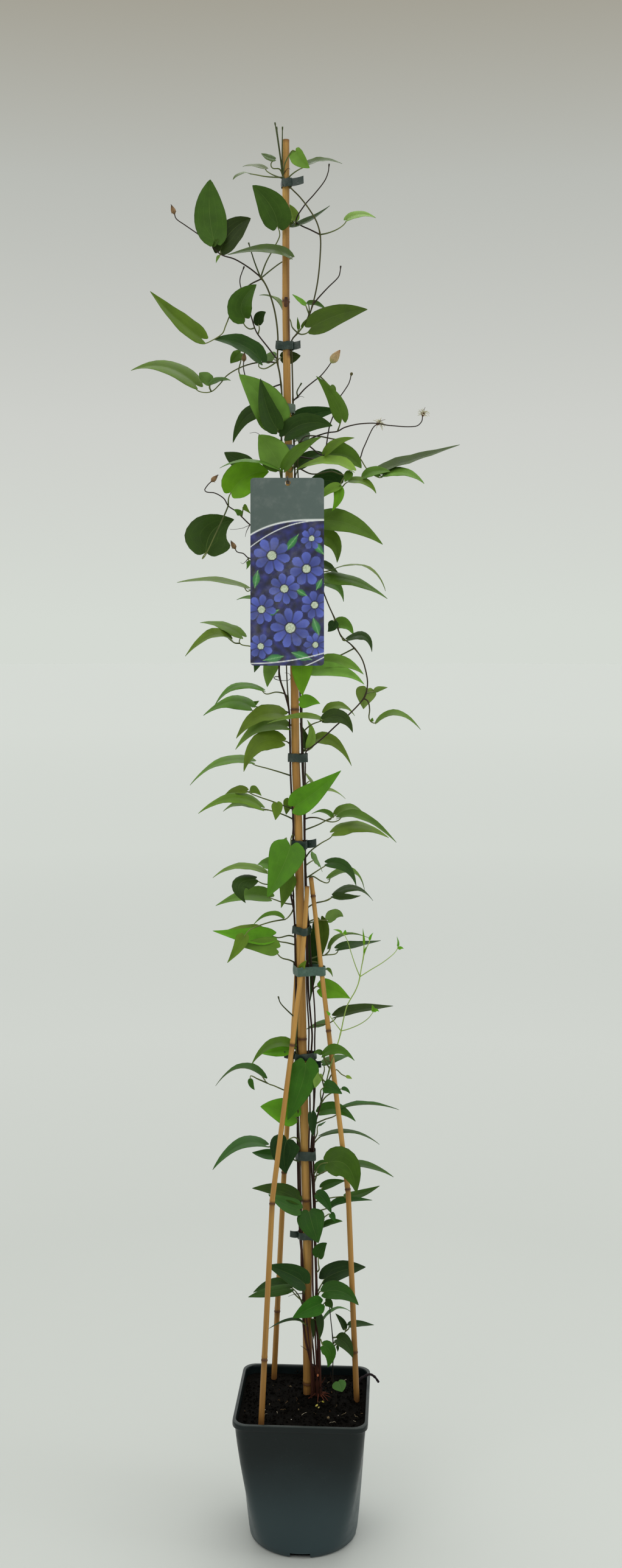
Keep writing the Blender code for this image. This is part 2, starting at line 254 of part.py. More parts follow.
        (96.9, [(-2.3, 97.3), (-3.6, 97.8), (-4.9, 98.15, 1.2), (-5.6, 98.2)], (-6.1, 98.7, 0.6), (-10, 99.8),
         (-14.55, 97.65, -0.8), 2.7, 50),
        ((-4.9, 98.15, 1.2), [(-6, 98.4, 2.4)], (-6.5, 98.7, 2.8), (-8.9, 99.1), (-11.1, 97.95, 4.4), 2.1, 55),
        (99.2, [(-1.9, 99.7, 3)], (-2, 99.6, 3.2), (-2.2, 98.6), (-2.4, 97.5, 3.2), 1.4, 10),
        (90, [(-2, 89.4, 2)], (-2, 88.9, 1.6), (-2.4, 87), (-3.1, 84.6, 0.8), 2.4, 10),
        (90.6, [(-3.4, 90.2, 3)], (-4.4, 90.4, 3), (-5.3, 90.8), (-6.35, 90.6, 4.6), 1.9, 30),
        (89.4, [(-3.4, 89, 1.6)], (-5.6, 89.7, 1), (-9.2, 90.3), (-12.55, 88.75, 0.2), 2.5, 66),
        (87.6, [(-3.4, 87.8, 2.6), (-5.3, 87.9, 2), (-6.2, 88.25)], (-6.7, 88.6, 0.2), (-8.9, 87.7),
         (-8, 85.3, -1.4), 3, 20),
        (85.1, [(-2.5, 85.25), (-3.8, 85.7)], (-4.9, 86.1, 2.2), (-8.2, 86.3), (-12.15, 84.9, 3.6), 2.6, 40),
        (84.6, [(-1.8, 83.7, 1.6), (-2.5, 83.05, 1)], (-3, 83.3, 0.6), (-5, 83.6), (-7, 82.2, 0.4), 1.2, 55),
        ((-2.5, 83.05, 1), [(-4.8, 82.6, -0.2), (-7.4, 81.6, -0.7)], (-8.2, 80.7, -0.9), (-8.9, 79.2),
         (-10.55, 77, -1.6), 1.9, 15),
        (79.5, [(-2.3, 79.8), (-3.4, 80)], (-4.5, 80.7, 1), (-8.2, 80.8), (-12.55, 81.45, -0.2), 2.7, 25),
        (80.6, [(-2, 80.8, 2.6), (-3.6, 80.5, 2.6), (-5, 81.1, 2.8)], (-5.6, 81.4, 2.6), (-8, 81.8), (-10.7, 81.5, 3.4),
         1.5, 50),
        (77, [(-1.9, 77.4), (-3, 77.7), (-3.6, 78.3)], (-3.8, 79, 0.4), (-6, 79.4), (-8.9, 79.3, -0.4), 2.6, 12),
        (69.2, [(-2.3, 70.5), (-3.2, 71.5), (-3.5, 72.4, 3.4)], "cut"),
        (121.5, [(-3.4, 121.8, 3.4)], (-4, 122, 4.4), (-4.6, 121.8), (-5.2, 120.4, 8.6), 3.2, 70),
        (92.6, [(-2, 92.8, 3.4)], (-2.4, 92.9, 4.2), (-2.8, 92.6), (-3.2, 91.2, 8), 3, 70),
        (86.2, [(-1.9, 86.6, 3.4)], (-2.3, 86.9, 4.4), (-2.6, 86.7), (-3.1, 85.6, 7.6), 2.4, 70),
    ],
    "vine_mid_right": [
        (108.8, [(0.4, 109.4, 2.2), (1.2, 110, 1.2), (2.4, 110.45, 0.3)], (2.9, 110.7, -0.4), (5.3, 110.85),
         (6.8, 108.85, -1.4), 2.4, 25),
        ((2.4, 110.45, 0.3), [], (2.2, 110.75, -0.3), (-1.2, 111), (-5, 110.1, -2), 1.8, 62),
        ((2.4, 110.45, 0.3), [(3.2, 111.1, 0.9)], (3.1, 111.7, 1.3), (5.2, 112.55), (7.1, 111.15, 2.4), 2, 55),
        (112.6, [(-0.3, 113.2, 1.6)], (-0.4, 113.1, 1.1), (1, 113.2), (2.3, 112.85, -0.2), 2, 12),
        (106.4, [(0.4, 106.6, 2)], (0.7, 106.9, 1.9), (1.15, 108.8), (0.5, 110.6, 3.4), 1.4, 30),
        (106.2, [(0.3, 106.5, 3)], (0.3, 106.9, 3.3), (0, 108.4), (-0.5, 110.2, 4), 1.5, 30),
        (106.3, [(0.8, 106.5, 2.9), (1.4, 107.2, 3.2)], (1.8, 107.9, 3.2), (4.4, 107.4), (6.65, 104.25, 3.6), 2.1, 35),
        (99.6, [(0.6, 99.9, 3)], (1, 100.2, 3.4), (3.4, 101), (5.8, 99.7, 4.6), 1.8, 68),
        (96.9, [(0.9, 97.1), (2, 97.05), (3, 96.7, 1.8), (4, 96.5), (4.8, 96.7)], (5.3, 97.2, 1.2), (8.8, 96.8),
         (12.85, 93.65, 0.2), 2.1, 55),
        (95.4, [(1, 95.7), (2.2, 96.2), (3.2, 96.75, 2.6), (4.1, 97.2, 2.8)], (4.6, 97.6, 2.9), (6.8, 98.4),
         (8.5, 97.3, 4), 1.8, 60),
        ((3.2, 96.75, 2.6), [(3.8, 96.9, 3)], (3.85, 97.2, 3.2), (2.6, 97.9), (1.1, 97.6, 4.2), 1.2, 60),
        (91.6, [(1, 92.5), (2.5, 93.6), (3.7, 94.3)], (4.4, 95.2, 1.6), (7.8, 95.9), (11.8, 94.3, 1.6), 2.7, 48),
        (88.8, [(0.7, 88.95, 1.8), (2, 89.8), (3.1, 90.5)], (3.4, 90.8, 0.4), (5.9, 90.2), (7.3, 87.6, -0.4), 2.1, 35),
        ((0.7, 88.95, 1.8), [(1.4, 88.95, 2.6), (2.5, 88.3, 2.8), (3.4, 88.1)], (3.7, 88.8, 2.6), (6.8, 89.6),
         (8.45, 87, 3.4), 2, 65),
        (84.6, [(0.9, 84.9, 2.7), (1.9, 85.35, 2.7), (3.4, 85.7)], (4.5, 86.6, 2.4), (7.2, 87.4), (9.6, 85.6, 3.4), 2, 62),
        ((1.9, 85.35, 2.7), [(3, 85.6, 1.6)], (4.2, 86.2, 0.8), (6.1, 86), (7.9, 86.3, -0.2), 1.4, 45),
        (82.7, [(1.5, 83, 3.1), (2.8, 82.9, 3.3)], (3.4, 83, 3.4), (4.6, 83.7), (5.5, 83.4, 4.6), 2, 150),
        (82.5, [(1.8, 82.8, 3.6)], (2.4, 82.9, 4), (2.6, 80.2), (1.9, 76.6, 4.2), 2.4, 20),
        (80.6, [(1, 81.2, 3.4)], (1.2, 81.6, 4.4), (1.4, 77.5), (0.9, 71.6, 5), 1.9, 15),
        (77.6, [(1.9, 77.9, 2.7), (3, 78.1, 2.4), (4.5, 78.3, 2.2)], (4.9, 79, 2.2), (7.4, 79.5), (10.7, 80.1, 2.6), 2.1, 58),
        ((3, 78.1, 2.4), [(3.5, 78.6, 3)], (3.8, 79.3, 3.4), (6, 80.9), (9.2, 80.4, 5), 1.5, 76),
        (77.2, [(1.9, 77.1, 2.7), (2.8, 76.6, 2.5)], (3.1, 76.1, 2.2), (3.6, 75.9), (4.05, 75.1, 1.8), 0.8, 50),
        (73.4, [(1.9, 73.8, 2.8)], (2.3, 73.5, 3), (4.3, 73.1), (6.45, 72.1, 3.2), 2.8, 15),
        (68.3, [(2.4, 68.5, 2.4), (3.4, 68.65, 2.6), (4.2, 69.1)], (4.7, 69.7, 1.8), (8.2, 70.5), (12.4, 71.05, 1), 2.4, 55),
        ((3.4, 68.65, 2.6), [], (3, 68.75, 3), (1.7, 68.4), (0.3, 67.8, 4), 1.3, 50),
        (90.5, [(1, 91, 3.6)], (1.4, 91.2, 4.4), (1.9, 91), (2.6, 89.6, 7.4), 2.4, 75),
        (101.5, [(0.6, 102, 3.4)], (0.9, 102.2, 4.2), (1.3, 102), (2, 100.8, 7.6), 2.4, 75),
    ],
    "vine_low_left": [
        (65.4, [(-1.2, 65.6, 1.1)], (-1.5, 65.6, 1.2), (-4.6, 65.6), (-7.2, 62.9, 0.4), 2, 42),
        (65.2, [(-1.5, 65.1, 1.4)], (-2, 65, 1.7), (-4, 64.7), (-6, 64.5, 2.4), 1.8, 20),
        (58.9, [(-2.6, 59.4, 1.6), (-4, 60, 1.6), (-5, 60.4)], (-5.7, 61.3, 1.4), (-9, 62.4), (-12.15, 60, 2.8), 2.1, 74),
        ((-5, 60.4, 1.5), [(-6.4, 61, 0.8), (-7.3, 61.4, 0.6)], (-7.35, 61, 0.4), (-7.2, 60.2), (-6.75, 59.45, 0.2), 0.8, 10),
        (61.1, [(-0.6, 61.6, 0.7), (0, 63.2, 0.3)], (0.3, 63.1, 0.2), (-0.3, 60), (-2.2, 55.3, -0.2), 4, -5),
        (55.4, [(-0.9, 55.5, 0.9)], (-1.1, 55.7, 1), (-3.2, 56.6), (-5.95, 57.15, 0.8), 3.7, 10),
        (52.2, [(-1.2, 52.9, 0.4)], (-2.3, 52.5, 0), (-2.7, 50.6), (-2.4, 47.9, -0.6), 4.2, 5),
        (51.6, [(-3.2, 51.8, 1.2), (-4.9, 51.6, 1)], (-5.5, 51.9, 0.7), (-9, 51.7), (-12.55, 48.4, -0.4), 2.5, 50),
        (49.5, [(-2, 50, 1.4)], (-3.4, 50.3, 1.5), (-5.2, 50.5), (-7.1, 50.8, 2.6), 1.7, 30),
        (43.2, [(-0.7, 43.8, 0.6)], (-0.9, 44.3, 0.7), (-3.5, 45.5), (-7.1, 45.85, 1.2), 2.3, 25),
        (41.8, [(-0.5, 42.3, 0.4)], (-0.6, 42.9, 0.1), (-2.5, 43.6), (-4.85, 45, -0.7), 2.3, 18),
        (41.4, [(-0.1, 42.5, 0.2)], (0.8, 42.6, -0.2), (1.2, 40.9), (2.05, 38.3, -2), 3.9, 0),
        (31.2, [(0.2, 32.2, 0.2)], (0.1, 32.7, -0.1), (-1.9, 34), (-5.1, 35.2, -0.8), 3, 8),
        (30, [(-1, 31, 1.2), (-1.6, 31.7)], (-1.9, 31.95, 1.4), (-4.7, 31.5), (-7.65, 30.8, 1.4), 1.7, 30),
        (26.8, [(-0.1, 27.3, 0.3)], (-0.3, 27.4, 0.2), (-2.2, 27.5), (-4.8, 26.45, -0.6), 1.1, 72),
    ],
    "vine_low_right": [
        (77.9, [(8.6, 78.8), (9.1, 79.9, 0.4)], "cut"),
        ((9.1, 79.9, 0.4), [], (9.15, 80.2, 0.4), (9.3, 80.7), (9.65, 81.2, 0.3), 0.4, 20),
        (79.3, [], (8.35, 79.6, 0.5), (8.3, 80.6), (8.2, 81.8, 0.4), 0.35, 20),
        (78.2, [], (8.4, 78.4, 0.4), (8.5, 78.8), (8.7, 79.3, 0.2), 0.3, 20),
        (75.1, [(7.2, 76.6), (6.6, 78.4), (6.1, 80), (5.7, 80.8, 0)], (5.3, 81.2, -0.1), (4.8, 81.5), (4.1, 81.6, -0.3),
         0.4, 30),
        ((5.7, 80.8, 0), [], (5.7, 81, 0), (5.75, 81.3), (5.8, 81.6, -0.1), 0.5, 0),
        (75.1, [(9.2, 76), (11, 77.1), (12.5, 78.3), (13, 79, 1.6)], (13.05, 79.3, 1.6), (13.1, 79.9),
         (12.9, 80.65, 1.6), 0.35, 30),
        ((13, 79, 1.6), [], (13.15, 78.95, 1.5), (13.5, 79.1), (13.85, 78.95, 1.4), 0.5, 10),
        (67.6, [(6.3, 67.9), (7.9, 68.6), (9, 69.4), (9.6, 70.2, -0.6)], (9.6, 70.3, -0.6), (9.6, 70.8),
         (9.45, 71.2, -0.8), 0.55, 10),
        ((9.6, 70.2, -0.6), [], (9.75, 70.3, -0.6), (10.1, 70.5), (10.45, 70.25, -0.8), 0.5, 0),
        (67.6, [(4.5, 68.5), (3.7, 69.6, -0.3)], (3.6, 69.8, -0.3), (3.4, 70.1), (3.1, 70.4, -0.3), 0.4, 10),
        (63.2, [(3.1, 63.6, 0.2)], (2.8, 64.4, -0.1), (4.8, 65), (7.05, 63.5, -1), 2, 38),
        (62.4, [(3, 63.4, 0.6)], (2.5, 64.5, 0.3), (2, 64.7), (1.35, 64.5, 0.2), 0.9, 30),
        (59.6, [(2.6, 61, 1.6), (2.9, 62.3, 2)], (2.7, 63.2, 2.6), (4.4, 63.9), (6.2, 64.1, 3.6), 1.7, 50),
        (57.8, [(2.4, 59.4, 0)], (3, 59.9, -0.4), (4, 59.7), (5.35, 58.9, -1.4), 2, 15),
        (57.4, [(3.2, 58.6, -0.3), (4.8, 59.5, -0.7)], (5.3, 59.6, -0.9), (5.9, 59.5), (6.45, 58.9, -1.2), 0.6, 20),
        (55.6, [(2, 56, 1.8)], (2.3, 56.4, 2.1), (4.8, 56.7), (7.2, 55.1, 2.8), 2.1, 35),
        (54.8, [(3, 55.4, 2.4), (4.2, 55.8, 2.8), (5.4, 56.7, 3)], (5.7, 57, 3), (9.4, 57.4), (13.2, 56.7, 4), 1.8, 80),
        (52.1, [(2, 52.7, 1.9)], (2.8, 53.3, 2.2), (6.6, 53.8), (10.5, 51.9, 2.6), 1.9, 74),
        (52.6, [(1.9, 53.4, 2), (1.9, 54.2, 2.4)], (2, 54.5, 2.6), (2.5, 54.7), (3.1, 55.1, 2.8), 0.6, 60),
        (47.8, [(2.4, 49.2, 0.4)], (3.4, 49.4, -0.2), (6.1, 48.9), (7.3, 45.25, -1.6), 4.1, 0),
        (47.4, [(3, 48.2, 2.2)], (4.8, 48.9, 2.8), (8.6, 49), (12.45, 47.4, 3), 2.1, 62),
        (46.6, [(1.8, 47.6, 2.2)], (1.9, 48.3, 2.9), (2.8, 49), (4.2, 49.3, 3.6), 1.9, 20),
        (44.8, [(1.9, 45.2, 0.9)], (1.9, 45, 0.4), (2.9, 44.2), (3.85, 42.4, -0.4), 1.7, 15),
        (45, [(2.4, 45.6, 2)], (2.6, 46, 2.6), (4, 46.6), (5.8, 46.9, 3.4), 1.4, 30),
        (42.6, [(3, 43, 2)], (3.9, 43.3, 2.4), (6, 44.1), (9.5, 44.2, 2.6), 1.5, 50),
        (44, [(3.6, 44.5, 2.6), (5.2, 44.7, 3)], (6, 44.7, 3), (8, 45.1), (10.55, 46.2, 4), 1.4, 35),
        (40.6, [(2.6, 41.6, 0.6), (3.5, 42.3, 0)], (3.8, 42.3, -0.2), (4.1, 41.9), (4.4, 41.2, -0.6), 0.9, 5),
        (40.4, [(2.3, 40.5, 1)], (2.8, 40.6, 0.8), (4, 41.1), (5.4, 41.3, 0.2), 1.2, 45),
        (34.2, [(2.15, 34.6, 0.9), (2.05, 35.5)], (2.05, 36.4, 0.3), (2.4, 37.5), (3.25, 38.3, -0.3), 1.8, 8),
        (31.4, [(2.4, 32.4, 1.8)], (2.9, 33.3, 2.2), (5.5, 34.5), (8.6, 34.95, 2.8), 2.8, 18),
        (30.8, [(2.3, 31.6, 0.4)], (2.9, 31.5, -0.2), (5.4, 31.5), (7.6, 29.7, -0.9), 2.6, 18),
        (28.8, [(2.6, 29.5, 0.4)], (2.4, 29.9, -0.3), (0.8, 29.2), (-1.5, 27.95, -1.3), 2.6, 0),
        (28.2, [(2.6, 29.6, 0.5)], (3.1, 30.2, 0.3), (3.6, 29.9), (3.95, 29.2, 0), 1.2, 0),
        (28.6, [], (2.1, 28.3, 0.6), (2.35, 26.8), (2.2, 24.95, 0), 1.2, 25),
        (27.4, [(2.2, 27.4, 2)], (2.6, 27.6, 2.4), (4.6, 29.3), (6.75, 28.6, 3.4), 1.2, 72),
        (25.2, [(2.4, 24.9, 0.5), (2.5, 24.5, 0.2)], (2.7, 24.1, 0), (3.7, 23.1), (3.35, 21.1, -0.8), 2, 5),
    ],
    "seedling": [
        (24.4, [(4.5, 24.7)], (4.7, 25, 0.6), (5.9, 24.3), (6.85, 22.4, -1), 2, 12),
        (25.2, [(4.9, 25.3, 2.2), (5.4, 25.5, 2.3), (5.8, 26.1, 2.3)], (5.7, 26.5, 2.2), (5.3, 27.5), (4.4, 28.55, 2), 0.9, 10),
        ((5.8, 26.1, 2.3), [(6.2, 26.4, 2.4)], (6.4, 26.9, 2.5), (7.7, 27.1), (9.75, 26.95, 3.4), 1.2, 40),
        (24, [(4.6, 24.3, 1.4)], (4.65, 24.1, 1.3), (4.75, 23.7), (4.7, 23.25, 1), 0.4, 0),
        (24.2, [], (3.9, 24.4, 1.7), (3.4, 24.4), (2.9, 24.35, 1.9), 0.45, 20),
    ],
    "seedling_low": [
        (18.4, [], (4.8, 19.1, -1.8), (5.1, 18.4), (5.35, 17.7, -3), 2, 10),
    ],
}
stemRadii = {"vine_left": (0.15, 0.09), "vine_right": (0.14, 0.085), "vine_loop": (0.13, 0.09),
             "vine_low_left": (0.13, 0.1), "vine_low_right": (0.14, 0.07), "vine_mid_left": (0.13, 0.09),
             "vine_mid_right": (0.13, 0.09), "seedling": (0.09, 0.07), "seedling_low": (0.06, 0.05)}

# Tape ties: height, band height, reach round the main cane, tail's side and its length, in centimetres
ties = [(184.7, 1.2, 1.8, 1, 1.5), (162.3, 1.2, 1.8, 1, 0.9), (153.6, 1.3, 1.8, 0, 0), (148.2, 0.8, 1.2, 0, 0),
        (105.4, 1.2, 1.8, 0, 0), (93.4, 1.2, 1.8, 1, 1.2), (81.6, 1.1, 1.8, 0, 0), (76.1, 1.3, 3.2, 0, 0),
        (64.2, 1, 1.8, -1, 1.3), (62.9, 1, 1.8, 1, 0.6), (50.6, 1.3, 1.8, 0, 0), (39.6, 1, 1.8, -1, 1)]


def seen(x, z, depth):
    """The point at this depth that lies behind x and z of the plan plane."""
    k = (depth - eyeDepth) / (planDepth - eyeDepth)
    return Vector((eyeX + (x - eyeX) * k, depth, eyeHeight + (z - eyeHeight) * k)) * cm


def caneRadius(z):
    return 0.645 - (z - 17) * 0.00092


def stemPoint(name, z):
    """x, height and depth of a stem's axis at this height of the plan plane."""
    path = stems[name]
    for (x0, z0, d0), (x1, z1, d1) in zip(path, path[1:]):
        if min(z0, z1) <= z <= max(z0, z1):
            t = (z - z0) / (z1 - z0)
            return (x0 + (x1 - x0) * t, z, d0 + (d1 - d0) * t)
    return path[-1]


def stalkPath(name, start, via, end, forks):
    """World points of a stalk; a point that gives no depth takes it from its place along the stalk.

    Points where other stalks start are kept, and the rest is straightened a little.
    """
    first = stemPoint(name, start) if not isinstance(start, tuple) else start
    flat = [first] + list(via) + ([end] if end else [])
    known = [i for i, p in enumerate(flat) if len(p) == 3]
    run = [0.0]
    for a, b in zip(flat, flat[1:]):
        run.append(run[-1] + math.dist(a[:2], b[:2]) + 1e-6)
    points, kept = [], [0]
    for i, p in enumerate(flat):
        if len(p) == 3:
            depth = p[2]
        else:
            a = max(k for k in known if k < i)
            b = min(k for k in known if k > i)
            depth = flat[a][2] + (flat[b][2] - flat[a][2]) * (run[i] - run[a]) / (run[b] - run[a])
        point = seen(p[0], p[1], depth)
        if i == 0 and isinstance(start, tuple):
            point = forks[start[:2]]
        elif p[:2] in forks:
            forks[p[:2]] = point
            kept.append(i)
        points.append(point)
    kept.append(len(points) - 1)
    line = [points[0]]
    for a, b in zip(kept, kept[1:]):
        if b > a:
            line += straighten(points[a:b + 1], stalkSlack)[1:]
    return line


def addRing(bm, centre, axis, up, radius, sides):
    side = axis.cross(up).normalized()
    up = side.cross(axis).normalized()
    return [bm.verts.new(centre + (side * math.cos(a) + up * math.sin(a)) * radius)
            for a in (2 * math.pi * (k + 0.5) / sides for k in range(sides))], up


def tube(bm, points, radii, sides):
    """A closed tube along the points, its rings carried along without twist."""
    up = Vector((0.3, 0.9, 0.1))
    rings = []
    for i, p in enumerate(points):
        ahead = points[min(i + 1, len(points) - 1)] - points[max(i - 1, 0)]
        axis = ahead.normalized()
        if abs(axis.dot(up.normalized())) > 0.95:
            up = Vector((1, 0, 0)) if abs(axis.x) < 0.8 else Vector((0, 0, 1))
        ring, up = addRing(bm, p, axis, up, radii[i], sides)
        rings.append(ring)
    for a, b in zip(rings, rings[1:]):
        for k in range(sides):
            bm.faces.new((a[k], a[(k + 1) % sides], b[(k + 1) % sides], b[k]))
    bm.faces.new(rings[0][::-1])
    bm.faces.new(rings[-1])


def midrib(base, middle, tip, t):
    bend = middle * 2 - (base + tip) / 2
    return base * (1 - t) ** 2 + bend * 2 * t * (1 - t) + tip * t * t


def leaf(bm, line, radius, middle, tip, width, turn):
    """A pointed heart-shaped blade, folded a little along its midrib, at the end of a three-sided stalk.

    With only its base point as the line, the blade is closed where the stalk would join it.
    """
    base = line[-1]
    along = (tip - base).normalized()
    view = (Vector((eyeX, eyeDepth, eyeHeight)) * cm - base).normalized()
    view = (view - along * view.dot(along)).normalized()
    rise = along.cross(view).normalized()
    if rise.z < 0:
        rise = -rise
    a = math.radians(turn)
    normal = view * math.cos(a) + rise * math.sin(a)
    across = along.cross(normal).normalized()
    length = (tip - base).length
    lift = normal * bladeThickness / 2
    small = width < 0.0185
    spots = [(0.3, 0.46, 0)] if small else [(0.12, 0.5, 0.1), (0.5, 0.4, 0)]
    upper, lower = [], []
    for side in (-1, 1):
        for t, half, back in spots:
            p = base.lerp(tip, t) if small else midrib(base, middle, tip, t)
            p = (p + across * side * half * width - along * back * length
                 + normal * half * width * 0.24)
            upper.append(bm.verts.new(p + lift))
            lower.append(bm.verts.new(p - lift))
    last = [bm.verts.new(tip + lift), bm.verts.new(tip - lift)]
    mouth = [bm.verts.new(base - across * radius + lift), bm.verts.new(base + across * radius + lift),
             bm.verts.new(base - lift * 1.4)]
    edges = {}
    for k, side in enumerate((-1, 1)):
        own = mouth[k]
        top = [own] + upper[k * len(spots):(k + 1) * len(spots)] + [last[0]]
        low = [mouth[2]] + lower[k * len(spots):(k + 1) * len(spots)] + [last[1]]
        for u, v, x, y in zip(top, top[1:], low, low[1:]):
            bm.faces.new((u, v, y, x) if side < 0 else (v, u, x, y))
        edges[side] = (top, low)
    if small:
        bm.faces.new((edges[-1][0][0], edges[-1][0][1], last[0]))
        bm.faces.new((mouth[0], last[0], mouth[1]))
        bm.faces.new((edges[1][0][0], last[0], edges[1][0][1]))
        bm.faces.new((mouth[2], last[1], edges[-1][1][1]))
        bm.faces.new((mouth[2], edges[1][1][1], last[1]))
    else:
        centre = midrib(base, middle, tip, 0.45)
        rib = [bm.verts.new(centre + lift), bm.verts.new(centre - lift)]
        for k, side in enumerate((-1, 1)):
            top, low = edges[side]
            for level, (near, first, second, end, hub) in enumerate(((top[0], top[1], top[2], top[3], rib[0]),
                                                                      (low[0], low[1], low[2], low[3], rib[1]))):
                for face in ((near, first, second), (near, second, hub), (hub, second, end)):
                    bm.faces.new(face if (side < 0) == (level == 0) else face[::-1])
        bm.faces.new((mouth[0], rib[0], mouth[1]))
    previous, up = mouth, lift.normalized()
    stops = line[::-1]
    for i in range(1, len(stops)):
        axis = (stops[i - 1] - stops[min(i + 1, len(stops) - 1)]).normalized()
        side = axis.cross(up).normalized()
        up = side.cross(axis).normalized()
        ring = [bm.verts.new(stops[i] + (side * math.cos(a) + up * math.sin(a)) * radius)
                for a in (math.radians(150), math.radians(30), math.radians(270))]
        shift = min((0, 1, 2), key=lambda k: sum((ring[(j + k) % 3].co - previous[j].co).length for j in range(3)))
        ring = [ring[(j + shift) % 3] for j in range(3)]
        for j in range(3):
            k = (j + 1) % 3
            bm.faces.new((previous[j], previous[k], ring[k], ring[j]))
        previous = ring
    bm.faces.new(previous)


def sharp(before, corner, after, limit=65):
    """Whether a line turns by more than the limit, in degrees, at the corner."""
    return (corner - before).angle(after - corner) > math.radians(limit)


def stalkRuns(line):
    """The line cut at its sharp corners, each part but the last reaching a little past its corner."""
    runs, first = [], 0
    for i in range(1, len(line) - 1):
        if sharp(line[i - 1], line[i], line[i + 1]):
            ahead = (line[i] - line[i - 1]).normalized() * stalkRadius * 0.8
            runs.append(line[first:i] + [line[i] + ahead])
            first = i
    return runs + [line[first:]]


def straighten(points, slack):
    """The points without those that lie within the slack of a straight run."""
    if len(points) < 3:
        return points
    chord = points[-1] - points[0]
    off = []
    for p in points[1:-1]:
        t = min(max((p - points[0]).dot(chord) / chord.length_squared, 0), 1)
        off.append((p - points[0] - chord * t).length)
    worst = max(off)
    if worst < slack:
        return [points[0], points[-1]]
    k = off.index(worst) + 1
    return straighten(points[:k + 1], slack)[:-1] + straighten(points[k:], slack)


def head(bm, kind, foot, before):
    """What ends a flower stalk: a spent head, a star of filaments, a bud or a small knob."""
    axis = (foot - before).normalized()
    if kind == "pod":
        tube(bm, [foot - axis * 0.001, foot + axis * 0.003, foot + axis * 0.008, foot + axis * 0.0115],
             [0.0009, 0.0034, 0.003, 0.001], 6)
    elif kind == "bud":
        tube(bm, [foot - axis * 0.001, foot + axis * 0.004, foot + axis * 0.012, foot + axis * 0.021],
             [0.001, 0.0056, 0.0048, 0.0006], 6)
    elif kind == "knob":
        tube(bm, [foot - axis * 0.001, foot + axis * 0.001, foot + axis * 0.003], [0.0009, 0.0022, 0.001], 6)
    elif kind == "star":
        tube(bm, [foot - axis * 0.001, foot + axis * 0.004, foot + axis * 0.013], [0.001, 0.0032, 0.0008], 6)


def finish(name, bm, colour, roughness=0.5, smooth=True):
    """A mesh object in the scene, its faces turned outwards, with a plain material."""
    bmesh.ops.recalc_face_normals(bm, faces=bm.faces)
    mesh = bpy.data.meshes.new(name)
    bm.to_mesh(mesh)
    bm.free()
    obj = bpy.data.objects.new(name, mesh)
    bpy.context.scene.collection.objects.link(obj)
    material = bpy.data.materials.get(name) or bpy.data.materials.new(name)
    material.use_nodes = True
    shader = material.node_tree.nodes["Principled BSDF"]
    shader.inputs["Base Color"].default_value = (*colour, 1)
    shader.inputs["Roughness"].default_value = roughness
    mesh.materials.append(material)
    for face in mesh.polygons:
        face.use_smooth = smooth
    return obj


def dropCrumbs(mesh, least=1.5e-8):
    """Removes loose bits smaller than the least volume, in cubic metres, that a Boolean left behind."""
    bm = bmesh.new()
    bm.from_mesh(mesh)
    left, crumbs = set(bm.faces), []
    while left:
        island, queue = set(), [left.pop()]
        while queue:
            face = queue.pop()
            island.add(face)
            near = {other for edge in face.edges for other in edge.link_faces} & left
            left -= near
            queue += near
        volume = sum(face.verts[0].co.dot(face.verts[k].co.cross(face.verts[k + 1].co)) / 6
                     for face in island for k in range(1, len(face.verts) - 1))
        if volume < least:
            crumbs += island
    bmesh.ops.delete(bm, geom=crumbs, context="FACES")
    bm.to_mesh(mesh)
    bm.free()


def combine(target, others, operation):
    """The Boolean of the target with all the others, applied, and the others removed."""
    group = bpy.data.collections.new(target.name + "_pieces")
    bpy.context.scene.collection.children.link(group)
    for obj in others:
        bpy.context.scene.collection.objects.unlink(obj)
        group.objects.link(obj)
    modifier = target.modifiers.new("combine", "BOOLEAN")
    modifier.operation = operation
    modifier.operand_type = "COLLECTION"
    modifier.collection = group
    modifier.solver = "EXACT"
    modifier.use_self = operation == "UNION"
    with bpy.context.temp_override(object=target, active_object=target):
        bpy.ops.object.modifier_apply(modifier=modifier.name)
    for obj in others:
        bpy.data.objects.remove(obj)
    bpy.data.collections.remove(group)
    dropCrumbs(target.data)


def potSection(size, roundness, height, points=24):
    """A closed outline between a rounded square of this width and a circle, turned with the pot."""
    ring = []
    for k in range(points):
        a = 2 * math.pi * (k + 0.5) / points
        a += 0.125 * math.sin(4 * a)
        c, s = math.cos(a), math.sin(a)
        inner = size / 2 - potCorner
        reach = size / 2 / max(abs(c), abs(s))
        if abs(c * reach) > inner and abs(s * reach) > inner:
            b = (abs(c) + abs(s)) * inner
            reach = b + math.sqrt(max(b * b - 2 * inner * inner + potCorner * potCorner, 0))
        radius = reach * (1 - roundness) + size / 2 * roundness
        ring.append(Vector((c * radius, s * radius, height)))
    return [Matrix.Rotation(potTurn, 3, "Z") @ p for p in ring]


def potBody(inset, heights):
    """Outlines of the pot's body at these heights, drawn in by the inset."""
    base, wide, top = potBaseRadius * 2, potWidth - 0.006, potHeight - rimBand
    rings = []
    for z in heights:
        t = min(z / top, 1)
        width = base + (wide - base) * t ** 0.75 - max(0.003 - z, 0) * 1.6
        rings.append(potSection(width - inset * 2, (1 - t) ** 1.6, z))
    return rings


def loft(bm, rings):
    made = [[bm.verts.new(p) for p in ring] for ring in rings]
    count = len(made[0])
    for a, b in zip(made, made[1:]):
        for k in range(count):
            bm.faces.new((a[k], a[(k + 1) % count], b[(k + 1) % count]))
            bm.faces.new((a[k], b[(k + 1) % count], b[k]))
    bm.faces.new(made[0][::-1])
    bm.faces.new(made[-1])


